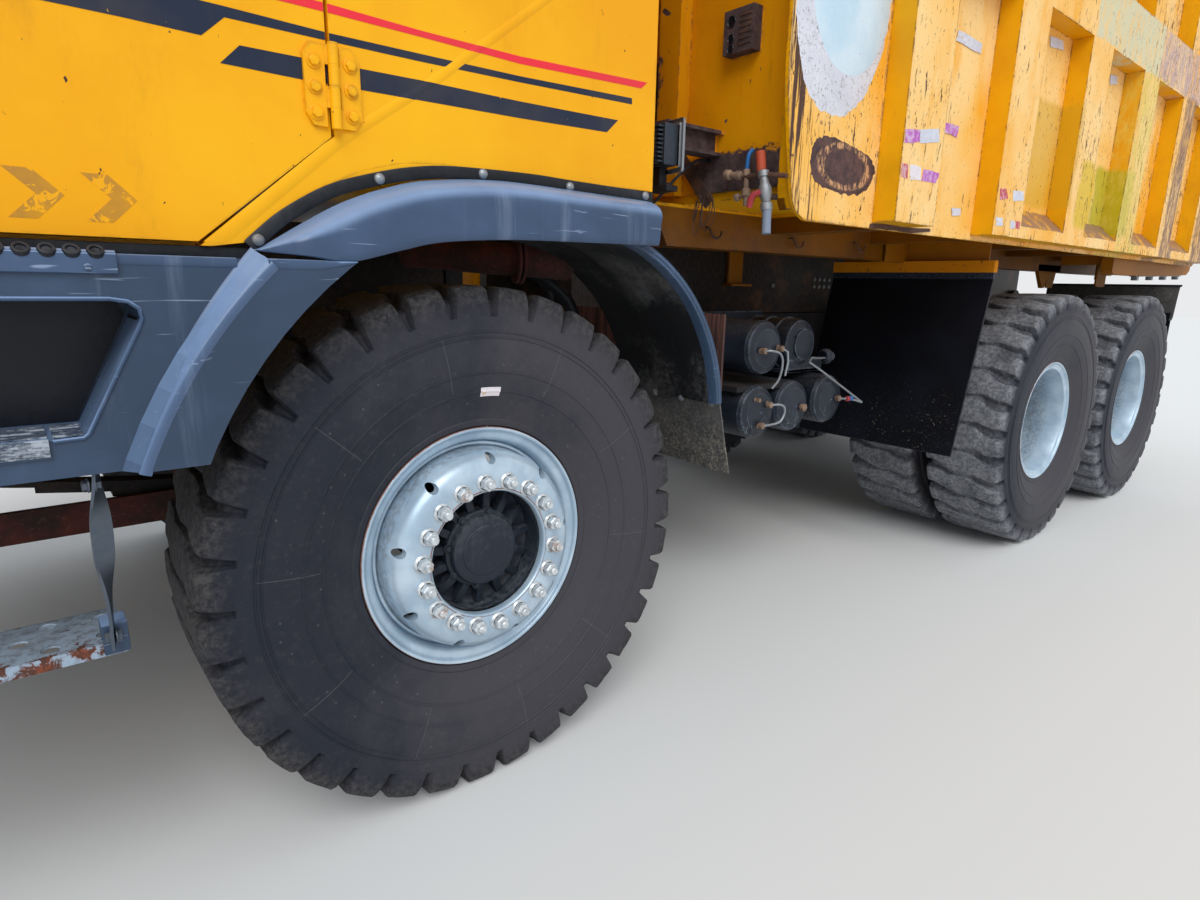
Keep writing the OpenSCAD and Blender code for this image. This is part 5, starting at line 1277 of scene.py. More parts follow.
def add_rubbers(L):
    low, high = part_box("door_glass_left")
    z0, z1 = low.z, high.z
    x0, x1 = low.x, high.x
    outline = [Vector((x0, CAB_Y, z0 + 0.06)), Vector((x1, CAB_Y, z0)), Vector((x1, CAB_Y, z1)),
               Vector((x0, CAB_Y, z1))]
    kit = frame_loop(rounded(outline, 0.03), 0.036, (0, 1, 0), 0.006)
    both_sides("door_window_rubber", kit, L["rubber"], DOOR, 40)
    front, back = 2.01, 1.8
    slope = Vector((back - front, 0, 1.0))
    lean = slope.normalized()
    foot = at(front, 0, 2.36)
    nrm = Vector((lean.z, 0, -lean.x))
    a = foot + lean * 0.07
    b = foot + lean * (slope.length - 0.06)
    ring = [a + Vector((0, -1.4, 0)), a + Vector((0, 1.4, 0)), b + Vector((0, 1.4, 0)),
            b + Vector((0, -1.4, 0))]
    frame_loop(rounded(ring, 0.05), 0.045, nrm, 0.008).make("screen_rubber", L["rubber"], "chassis", 40)
    wip = Kit()
    for y in (0.75, -0.35):
        p = foot + lean * 0.045 + nrm * 0.02 + Vector((0, y, 0))
        wip.turned([(0.022, -0.02), (0.022, 0.012), (0.012, 0.018), (0, 0.018)], p, nrm, 16)
        q = p + Vector((0, -0.26, 0)) + lean * 0.5 + nrm * 0.006
        wip.tube([p + nrm * 0.012, p.lerp(q, 0.5) + nrm * 0.022, q + nrm * 0.012], [0.008, 0.006, 0.004], 6)
        e = (q - p).normalized()
        wip.tube([q - e * 0.3 + nrm * 0.004, q + e * 0.26 + nrm * 0.004], 0.006, 6)
    wip.make("wipers", L["rubber"], "chassis", 40)
    w = [at(-0.582, y, z) for y, z in ((-0.9, 2.45), (0.9, 2.45), (0.9, 3.1), (-0.9, 3.1))]
    frame_loop(rounded(w, 0.05), 0.04, (-1, 0, 0), 0.004).make("rear_window_rubber", L["rubber"],
                                                               "chassis", 40)


# The fender over the front wheel

FLARE_TOP = [(0.562, 1.555), (0.545, 1.562), (0.463, 1.612), (0.374, 1.662), (0.267, 1.704),
             (0.153, 1.732), (-0.042, 1.75), (-0.338, 1.747), (-0.552, 1.743)]
FLARE_LOW = [(0.567, 1.553), (0.545, 1.5495), (0.463, 1.541), (0.385, 1.534), (0.267, 1.563),
             (0.158, 1.587), (-0.042, 1.602), (-0.338, 1.608), (-0.541, 1.611)]


def add_fender(L):
    tops = smooth_path([Vector((x, 0, z)) for x, z in FLARE_TOP], 5)
    lows = smooth_path([Vector((x, 0, z)) for x, z in FLARE_LOW], 5)
    rows = []
    for t, b in zip(tops, lows):
        h = t.z - b.z
        s = min(1.0, h / 0.12)
        out = 0.012 + 0.066 * min(1.0, h / 0.055)
        ring = []
        # share of the way from top to bottom, how far out, and a drop that the roll adds
        for share, reach, drop in ((0, 0.0, 0.0), (0, 0.1, 0.001), (0, 0.34, 0.006), (0, 0.6, 0.014),
                                   (0, 0.8, 0.024), (0, 0.92, 0.036), (0, 0.975, 0.05), (0.5, 1.0, 0.0),
                                   (0.86, 1.0, 0.0), (0.97, 0.985, 0.0), (1.0, 0.94, 0.0),
                                   (1.0, 0.84, -0.002), (0.9, 0.8, 0.0), (0.5, 0.78, 0.0), (0.3, 0.4, 0.0),
                                   (0.25, 0.0, 0.0)):
            x = t.x + (b.x - t.x) * share
            z = t.z + (b.z - t.z) * share - drop * s
            ring.append(at(x, CAB_Y + 0.002 + out * reach, z))
        rows.append(ring)
    flare = skin(rows)
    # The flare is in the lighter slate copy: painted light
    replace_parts(both_sides("fender_flare", flare, L["slate_bright"], CAB, 40)[0], "front_fenders")
    # The liner is part of a ring about a point above and behind the axle
    cx, cz, r0 = -0.288, 1.05, 0.586

    def ring_at(deg, r, y):
        a = radians(deg)
        return at(cx + r * cos(a), y, cz + r * sin(a))

    degs = [94 + 81 * i / 26 for i in range(27)]
    liner = []
    for d in degs:
        ribs = []
        for j in range(15):
            y = 1.15 + 0.476 * j / 14
            bulge = 0.007 if j in (4, 5, 9, 10) else 0.0
            ribs.append(ring_at(d, r0 + bulge, y))
        ribs += [ring_at(d, r0 + 0.011, 1.626), ring_at(d, r0 + 0.011, 1.15)]
        liner.append(ribs)
    both_sides("arch_liner", skin(liner), L["liner"], CAB, 50)
    edge = []
    for d in degs:
        prof = ((0.0, 1.6), (-0.002, 1.632), (0.001, 1.64), (0.006, 1.6405), (0.009, 1.6375),
                (0.012, 1.6405), (0.019, 1.6405), (0.022, 1.6375), (0.026, 1.639), (0.03, 1.632),
                (0.0325, 1.6), (0.03, 1.572), (0.022, 1.568), (0.012, 1.6))
        edge.append([ring_at(d, r0 + u, y) for u, y in prof])
    both_sides("liner_edge", skin(edge), L["slate"], CAB, 35)
    # The flap under it hangs a little twisted
    y0, y1 = 1.155, 1.634
    rows = []
    for i in range(13):
        t = i / 12
        row_front, row_back = [], []
        for j in range(13):
            s = j / 12
            y = y0 + (y1 - y0) * s
            top = Vector((-0.87 - 0.022 * s, 0, 1.132 - 0.03 * s))
            low = Vector((-1.012 + 0.05 * s, 0, 0.829 + 0.01 * s))
            p = top.lerp(low, t)
            wave = 0.006 * sin(7 * s + 2 * t) * t + 0.004 * sin(17 * s) * t
            row_front.append(at(p.x + wave, y, p.z))
            row_back.append(at(p.x + wave - 0.006, y, p.z - 0.001))
        rows.append(row_front + list(reversed(row_back)))
    both_sides("fender_flap", skin(rows), L["mud"], CAB, 60)
    clips = Kit()
    for y in (1.2, 1.33, 1.46, 1.6):
        clips.bolt(at(-0.868 - 0.022 * (y - y0) / (y1 - y0), y, 1.108 - 0.02 * (y - y0)), (1, 0, -0.12),
                   0.009, 0.007, 1.6)
    both_sides("flap_bolts", clips, L["plain_steel"], CAB)
    # A bracket holds the liner on the frame
    hold = Kit().box(at(-0.902, 0.45, 1.18), at(-0.872, 1.16, 1.232), 0.005)
    both_sides("liner_bracket", hold, L["chassis"], CAB)
    # The exhaust pipe and a hose cross behind the wheel, over its sweep
    pipe = Kit()
    pipe.tube(bend(6, [(-0.24, 0.62, 1.6), (-0.27, 0.8, 1.592), (-0.35, 1.02, 1.578), (-0.46, 1.12, 1.57),
                       (-0.6, 1.13, 1.562)]), 0.055, 20)
    for x, y in ((-0.395, 1.108), (-0.41, 1.115)):
        pipe.turned([(0.056, 0), (0.078, 0), (0.078, 0.01), (0.056, 0.01)], at(x, y, 1.571),
                    (-0.93, 0.3, 0), 24, closed=False)
    both_sides("exhaust_pipe", pipe, L["old_red"], CAB)
    hose = Kit()
    hose.tube(bend(6, [(-0.2, 0.62, 1.62), (-0.38, 0.92, 1.6), (-0.56, 1.08, 1.5), (-0.66, 1.1, 1.38),
                       (-0.7, 1.0, 1.26), (-0.72, 0.7, 1.2)]), 0.024, 14)
    hose.tube(bend(6, [(-0.3, 0.58, 1.66), (-0.48, 0.8, 1.63), (-0.62, 0.92, 1.52), (-0.7, 0.9, 1.4),
                       (-0.74, 0.66, 1.3)]), 0.014, 12)
    both_sides("arch_hoses", hose, L["rubber"], CAB)


def arc_row(deg, r, y):
    """A place on the ring about the panel's own arch centre."""
    a = radians(deg)
    return at(-0.245 + r * cos(a), y, 0.7 + r * sin(a))


def add_surround(L):
    """Details on the step panel."""
    bolts = Kit()
    for x in (0.856, 1.12, 1.38, 1.64, 1.9):
        bolts.screw(at(x, PANEL_Y + 0.006, 1.509), (0, 1, 0), 0.009, 0.005)
    for x, z in ((1.15, 1.16), (1.45, 1.16), (1.75, 1.16)):
        bolts.screw(at(x, PANEL_Y, z), (0, 1, 0), 0.007, 0.004)
    both_sides("panel_screws", bolts, L["slate"], CAB)
    # The tread plate's rounded top edge with its rimmed holes, in the lighter slate as painted highlight
    plate = Kit()
    rows = []
    for x in (0.8115, 1.0, 1.3, 1.6):
        rows.append([at(x, y, z) for y, z in ((1.596, 1.5375), (1.62, 1.5415), (1.632, 1.5395),
                                              (1.6385, 1.5335), (1.64, 1.524), (1.6395, 1.5),
                                              (1.636, 1.4985), (1.636, 1.53), (1.596, 1.5365))])
    skin(rows, plate)
    both_sides("tread_plate", plate, L["slate_bright"], CAB, 35)
    holes = Kit()
    for i in range(14):
        p = at(0.841 + i * 0.0355, 1.6335, 1.5385)
        holes.turned([(0.0075, -0.004), (0.0085, 0.0035), (0.0105, 0.005), (0.013, 0.004),
                      (0.015, -0.003)], p, (0, 0.72, 0.7), 18, closed=False)
        holes.turned([(0.0075, 0.0012), (0.0, 0.0012)], p, (0, 0.72, 0.7), 18, closed=False)
    both_sides("tread_rims", holes, L["rubber"], CAB)
    # The ridge along the panel's flare, in lighter slate as painted highlight
    rows = []
    for i in range(25):
        t = i / 24
        deg = 21.7 + (46.2 - 21.7) * t
        r1 = 1.156 + 0.028 * t ** 1.5
        mid = (1.149 + r1) / 2
        rows.append([arc_row(deg, r, y) for r, y in ((1.128, 1.669), (1.133, 1.6712), (1.139, 1.6736),
                                                     (1.145, 1.6742), (1.15, 1.671),
                                                     (mid - 0.004, 1.658 + 0.003 * t),
                                                     (mid + 0.003, 1.644 + 0.003 * t),
                                                     (r1 - 0.004, 1.6345), (r1, 1.6315),
                                                     (r1 + 0.004, 1.6298))])
    both_sides("panel_ridge", ruled(Kit(), rows), L["ridge"], CAB, 80)
    # A rounded rim along the panel's top, first on the panel, then on the flare, in lighter slate as painted
    # highlight
    for name, x0, x1, y in (("panel_top_rim", 0.606, 0.8105, PANEL_Y),
                            ("flare_top_rim", 0.372, 0.556, FLARE_Y)):
        rows = []
        for i in range(9):
            x = x0 + (x1 - x0) * i / 8
            h = 1.0 if name == "panel_top_rim" else min(1.0, 0.15 + i / 4)
            rows.append([at(x, y + a, 1.5352 + (b - 0.0012) * h) for a, b in ((-0.022, 0.0012),
                    (-0.006, 0.0016), (0.0004, -0.001), (0.0018, -0.008), (0.0016, -0.017), (0.0, -0.0185),
                    (-0.022, -0.001))])
        both_sides(name, skin(rows), L["slate_bright"], CAB, 50)
    # A bead round the recess, in lighter slate as painted highlight
    rim = [(1.495, 1.4535), (1.2, 1.4535), (0.83, 1.4535), (0.802, 1.449), (0.785, 1.436), (0.7815, 1.418),
           (0.788, 1.4), (0.84, 1.3), (0.889, 1.205), (0.898, 1.198), (0.945, 1.1965)]
    both_sides("recess_bead", Kit().tube([at(x, PANEL_Y + 0.0005, z) for x, z in rim], 0.0042, 8),
               L["slate_bright"], CAB, 60)
    # The dark box behind the opening: a thin plate of painted shade
    back = Kit()
    flat_plate(back, ((0.806, 1.45), (0.788, 1.42), (0.8, 1.392), (0.896, 1.2015), (1.497, 1.2015),
                      (1.497, 1.45)), 1.4325, 1.436)
    both_sides("recess_shade_back", back, L["shade_fill"], CAB)
    # The worn tread in the recess, with its raised bars and its bent-over edge
    tread = Kit()
    for x0, x1 in ((0.897, 0.945), (0.952, 1.498)):
        for y in (1.5, 1.528, 1.556, 1.584, 1.612):
            tread.box(at(x0, y - 0.006, 1.2005), at(x1, y + 0.006, 1.2055), 0.0022)
    tread.box(at(0.9515, 1.6355, 1.17), at(1.498, 1.6385, 1.2035), 0.001)
    both_sides("recess_tread", tread, L["scuffed"], CAB)
    # The hanging step: a twisted strap with its bolts, and a punched tread
    strap = Kit()
    for x in (0.897, 1.497):
        rows = []
        for i in range(25):
            t = i / 24
            a = 1.42 - 1.25 * math.exp(-((t - 0.36) / 0.22) ** 2)
            c = at(x - 0.01 + 0.01 * t, 1.6 - 0.016 * t, 1.123 - 0.375 * t)
            e = Vector((cos(a), sin(a), 0)) * 0.019
            n = Vector((-sin(a), cos(a), 0)) * 0.003
            rows.append(strap_section(c, e, n))
        skin(rows, strap)
        for z, y in ((1.1, 1.602), (0.772, 1.587)):
            strap.bolt(at(x - 0.005, y, z), (-1, 0, 0), 0.0115, 0.012, 1.45)
            strap.bolt(at(x + 0.003, y, z), (1, 0, 0), 0.0115, 0.012, 1.3)
    both_sides("step_straps", strap, L["dull_steel"], CAB)
    ends = Kit().box(at(0.868, 1.505, 0.726), at(0.914, 1.57, 0.792), 0.003)
    ends.box(at(1.478, 1.505, 0.726), at(1.524, 1.57, 0.792), 0.003)
    both_sides("step_end_blocks", ends, L["slate"], CAB)
    # A rusty rail under the frame, on two hangers
    rail = Kit().box(at(0.5, 0.452, 0.668), at(1.93, 0.476, 0.772), 0.004)
    for x in (1.28, 1.86):
        rail.box(at(x, 0.4515, 0.765), at(x + 0.07, 0.4635, 1.06), 0.002)
    rail.box(at(0.54, 0.452, 0.765), at(0.6, 0.462, 1.06), 0.002)
    for x in (0.57, 1.315, 1.895):
        rail.bolt(at(x, 0.462, 1.04), (0, 1, 0), 0.011, 0.009)
    both_sides("under_rail", rail, L["old_red"], CAB)
    x0, x1, y0, y1, z = 0.872, 1.52, 1.372, 1.566, 0.7475
    punched = [(0.905, 1.42), (0.905, 1.515)] + [(1.0 + 0.105 * i + 0.05 * (j % 2), 1.405 + 0.062 * j)
                                                 for i in range(5) for j in range(3)
                                                 if 1.0 + 0.105 * i + 0.05 * (j % 2) < 1.5]
    me = punched_plate("step_tread_mesh", x0, x1, y0, y1, z, 0.004, punched, 0.017)
    tread = place("step_tread_left", me, L["blue_rust"], "chassis")
    other = me.copy()
    other.transform(Matrix.Diagonal((1, -1, 1, 1)))
    other.flip_normals()
    place("step_tread_right", other, L["blue_rust"], "chassis")
    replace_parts(tread, "hanging_steps")


def punched_plate(name, x0, x1, y0, y1, z, thick, holes, r):
    """A tray with a turned-down rim and oval holes, cut with a boolean."""
    k = Kit().box(at(x0, y0, z), at(x1, y1, z + thick), 0.0015)
    k.box(at(x0, y0, z - 0.024), at(x1, y0 + 0.004, z + 0.001))
    k.box(at(x0, y1 - 0.004, z - 0.024), at(x1, y1, z + 0.001))
    k.box(at(x0, y0, z - 0.024), at(x0 + 0.004, y1, z + 0.001))
    k.box(at(x1 - 0.004, y0, z - 0.024), at(x1, y1, z + 0.001))
    cut = Kit()
    for x, y in holes:
        cut.turned([(r, -0.02), (r, 0.02)], at(x, y, z), (0, 0, 1), 20)
    me = bpy.data.meshes.new(name)
    me.from_pydata([tuple(v) for v in k.v], [], k.f)
    return cut_away(name, me, cut, overlaps=True)


# The dump body's fixtures, stickers and worn places

BODY_Y = 1.707
RIB_Y = 1.8


def film_look(name, colour):
    """A torn scrap of reflective tape."""
    k = Look(name, 0.32)
    wear = k.noise(60.0, 4, 0.78)
    lines = k.noise(22.0, 4, 0.7, warp=1.2)
    tone = k.mix(k.step(lines, 0.45, 0.62, 0.0, 0.45), colour, srgb(232, 226, 232))
    k.colour(k.mix(k.step(wear, 0.6, 0.64), tone, srgb(206, 150, 60)))
    k.bump(k.plus(wear, lines), 0.25, 0.001)
    return k


def ragged(points, seed, size, parts=4):
    """An outline with its edges torn by small steps."""
    out = []
    n = len(points)
    for i in range(n):
        (a, b), (c, d) = points[i], points[(i + 1) % n]
        for j in range(parts):
            t = j / parts
            u = noise.noise(Vector((seed, i * 1.3 + t * 2.7, 0.5))) * size
            w = noise.noise(Vector((seed + 9, i * 1.9 + t * 3.1, 1.5))) * size
            out.append((a + (c - a) * t + u, b + (d - b) * t + w))
    return out


def round_outline(points, steps=5):
    """A smooth closed outline of (x, z) through the points."""
    p = [Vector((x, 0, z)) for x, z in points]
    n = len(p)
    out = []
    for i in range(n):
        for k in range(steps):
            q = curve(p[i - 1], p[i], p[(i + 1) % n], p[(i + 2) % n], k / steps)
            out.append((q.x, q.z))
    return out


def fan(kit, outline, y, thick):
    """A flat film with a rounded outline, built from its middle, so that long outlines stay clean."""
    cx = sum(x for x, z in outline) / len(outline)
    cz = sum(z for x, z in outline) / len(outline)
    n = len(outline)
    v = [at(cx, y + thick, cz)]
    for s, h in ((0.5, thick), (0.985, thick), (1.0, 0.0)):
        v += [at(cx + (x - cx) * s, y + h, cz + (z - cz) * s) for x, z in outline]
    f = [(0, 1 + i, 1 + (i + 1) % n) for i in range(n)]
    for k in range(2):
        f += [(1 + k * n + i, 1 + k * n + (i + 1) % n, 1 + (k + 1) * n + (i + 1) % n, 1 + (k + 1) * n + i)
              for i in range(n)]
    f.append(tuple(1 + 2 * n + i for i in reversed(range(n))))
    return kit.add(v, f)


def blob_look():
    """A burnt brown ring with paler orange islands inside it."""
    k = Look("rust_blob", 0.88)
    x, _, z = k.xyz()
    dx = k.math("DIVIDE", k.minus(x, AX - 1.412), 0.2)
    dz = k.math("DIVIDE", k.minus(z, 1.922), 0.092)
    r = k.radius(dx, dz)
    a = k.noise(22.0, 5, 0.75)
    b = k.noise(70.0, 4, 0.78, stretch=(1, 1, 0.4))
    ring = k.band(k.plus(r, k.both(a, 0.25)), 0.78, 0.98, 0.05)
    tone = k.mix(k.step(a, 0.35, 0.65), srgb(58, 42, 44), srgb(94, 66, 62))
    tone = k.mix(k.both(ring, k.step(b, 0.44, 0.58)), tone, srgb(206, 154, 108))
    k.colour(tone)
    k.bump(k.plus(a, b), 0.35, 0.002)
    return k


def add_body(L):
    # The worn corner plate laps over the wall's end
    edge = [(-1.047, 3.05), (-1.047, 2.202), (-1.052, 2.12), (-1.061, 2.066), (-1.076, 1.985),
            (-1.091, 1.909), (-1.104, 1.84), (-1.119, 1.785), (-1.133, 1.762), (-1.153, 1.746),
            (-1.18, 1.736), (-1.218, 1.7275), (-1.4, 1.7265), (-1.622, 1.726), (-1.622, 3.05)]
    both_sides("corner_plate", flat_plate(Kit(), edge, 1.694, BODY_Y), L["body"], DUMP)
    blank = Kit()
    back = [(-1.068, 2.7), (-1.06, 2.341), (-1.095, 2.245), (-1.129, 2.165), (-1.17, 2.117),
            (-1.235, 2.085), (-1.308, 2.072), (-1.385, 2.092), (-1.451, 2.13), (-1.5, 2.18),
            (-1.539, 2.239), (-1.58, 2.32), (-1.609, 2.406), (-1.6155, 2.506), (-1.6, 2.62), (-1.5, 2.76),
            (-1.34, 2.83), (-1.16, 2.78)]
    back = [(min(x, -1.053), z) for x, z in back]
    fan(blank, ragged(back, 3.1, 0.01, 5), BODY_Y, 0.0012)
    both_sides("plate_backing", blank, L["white_back"], DUMP)
    oval = Kit()
    n = 56
    ring = []
    for i in range(n):
        a = 2 * pi * i / n
        ring.append((-1.372 + 0.232 * cos(a), 2.49 + 0.274 * sin(a)))
    fan(oval, ring, BODY_Y + 0.0012, 0.0012)
    both_sides("blank_plate", oval, L["white_plate"], DUMP)
    rust = Kit()
    blob = round_outline([(-1.214, 1.977), (-1.293, 2.011), (-1.45, 1.994), (-1.578, 1.968),
                          (-1.613, 1.922), (-1.547, 1.846), (-1.399, 1.832), (-1.257, 1.851),
                          (-1.208, 1.892)], 6)
    fan(rust, ragged(blob, 5.7, 0.009, 2), BODY_Y, 0.0006)
    both_sides("rust_patch", rust, L["blob"], DUMP)
    # Scraps of tape
    scraps = {
        "violet": [(RIB_Y, [(-1.636, 2.068), (-1.735, 2.08), (-1.745, 2.037), (-1.636, 2.024)]),
                   (BODY_Y, [(-2.109, 2.174), (-2.235, 2.175), (-2.224, 2.133), (-2.115, 2.131)]),
                   (RIB_Y, [(-1.8, 1.949), (-1.925, 1.945), (-1.9, 1.906), (-1.79, 1.905)])],
        "silver": [(RIB_Y, [(-1.737, 2.08), (-1.882, 2.099), (-1.894, 2.056), (-1.747, 2.037)]),
                   (BODY_Y, [(-2.129, 2.519), (-2.347, 2.515), (-2.347, 2.476), (-2.118, 2.478)]),
                   (BODY_Y, [(-3.036, 2.69), (-3.2, 2.701), (-3.218, 2.662), (-3.056, 2.645)]),
                   (BODY_Y, [(-3.926, 2.681), (-4.034, 2.696), (-4.045, 2.648), (-3.936, 2.634)]),
                   (RIB_Y, [(-2.63, 1.95), (-2.75, 1.95), (-2.764, 1.914), (-2.645, 1.903)]),
                   (RIB_Y, [(-2.493, 1.822), (-2.56, 1.826), (-2.575, 1.789), (-2.507, 1.784)]),
                   (BODY_Y, [(-2.26, 1.848), (-2.337, 1.854), (-2.347, 1.822), (-2.269, 1.817)]),
                   (RIB_Y, [(-2.645, 1.82), (-2.7, 1.82), (-2.708, 1.789), (-2.658, 1.785)])],
        "crimson": [(RIB_Y, [(-1.636, 1.952), (-1.68, 1.953), (-1.688, 1.904), (-1.636, 1.904)]),
                    (RIB_Y, [(-2.492, 1.941), (-2.56, 1.947), (-2.59, 1.907), (-2.506, 1.899)]),
                    (RIB_Y, [(-2.712, 1.82), (-2.755, 1.82), (-2.765, 1.789), (-2.716, 1.787)])],
        "pale": [(RIB_Y, [(-1.692, 1.953), (-1.775, 1.951), (-1.785, 1.905), (-1.702, 1.904)])],
    }
    for k, (name, bits) in enumerate(sorted(scraps.items())):
        kit = Kit()
        for j, (y, pts) in enumerate(bits):
            lift = 0.0011 + 0.0002 * k
            sheet_on(kit, ragged(pts, 2.3 + j * 1.7 + k, 0.006, 4), y, lift)
        both_sides("tape_" + name, kit, L["film_" + name], DUMP)
    # Hooks under the long beam
    hooks = Kit()
    for x, z in ((-1.865, 1.7), (-2.395, 1.706), (-1.29, 1.712)):
        pts = [at(x, 1.164, z + 0.02), at(x, 1.182, z + 0.018), at(x - 0.012, 1.19, z - 0.006),
               at(x - 0.036, 1.19, z - 0.022), at(x - 0.062, 1.19, z - 0.014),
               at(x - 0.072, 1.19, z + 0.008)]
        hooks.tube(smooth_path(pts, 4), 0.0048, 8)
    both_sides("beam_hooks", hooks, L["rust"], DUMP)
    # A bracket stands down from the runner, behind the long beam
    brk = Kit()
    brk.box(at(-2.385, 0.449, 1.512), at(-2.262, 0.47, 1.7), 0.004)
    brk.box(at(-2.415, 0.449, 1.5), at(-2.232, 0.52, 1.513), 0.003)
    brk.box(at(-4.66, 0.449, 1.5), at(-4.56, 0.52, 1.735), 0.006)
    brk.box(at(-5.02, 0.449, 1.47), at(-4.94, 0.5, 1.735), 0.006)
    both_sides("runner_brackets", brk, L["ochre"], DUMP)
    guides = Kit()
    for i in range(4):
        for j in range(2):
            guides.bolt(at(-3.14 - 0.055 * i, 0.4505, 1.552 - 0.044 * j), (0, 1, 0), 0.009, 0.008, 1.5)
    guides.bolt(at(-2.706, 0.4505, 1.508), (0, 1, 0), 0.009, 0.008, 1.5)
    both_sides("frame_bolts", guides, L["plain_steel"], CAB)
    # Hook and staple on the second and third rib's faces
    wires = Kit()
    wires.tube([at(-3.515, BODY_Y + 0.001, 2.205), at(-3.515, BODY_Y + 0.02, 2.205),
                at(-3.52, BODY_Y + 0.022, 2.07)], 0.006, 8)
    wires.tube([at(-3.48, BODY_Y + 0.018, 2.206), at(-3.56, BODY_Y + 0.018, 2.206)], 0.006, 8)
    wires.tube(bend(4, [(-4.365, BODY_Y + 0.001, 2.285), (-4.345, BODY_Y + 0.022, 2.27),
                        (-4.375, BODY_Y + 0.024, 2.235), (-4.35, BODY_Y + 0.022, 2.2)]), 0.006, 8)
    both_sides("side_hooks", wires, L["rust"], DUMP)
    # The torn lower lip behind the corner plate
    lip = Kit()
    torn = [(-1.616, 1.742), (-1.612, 1.7245), (-1.65, 1.7235), (-1.69, 1.7275), (-1.74, 1.725),
            (-1.8, 1.7285), (-1.864, 1.7245), (-1.934, 1.7245), (-1.99, 1.73), (-2.091, 1.74),
            (-2.085, 1.752), (-1.98, 1.747), (-1.86, 1.744), (-1.74, 1.747)]
    sheet_on(lip, torn, BODY_Y, 0.0022)
    both_sides("torn_lip", lip, L["rust"], DUMP)
    add_wall_fixtures(L)
    add_tank_fittings(L)


def turned_lamp(kit):
    """The work lamp's parts, turned a little outwards."""
    pin = at(-0.829, 1.355, 0)
    m = Matrix.Translation(pin) @ Matrix.Rotation(radians(-9), 4, "Z") @ Matrix.Translation(-pin)
    kit.v = [m @ v for v in kit.v]
    return kit


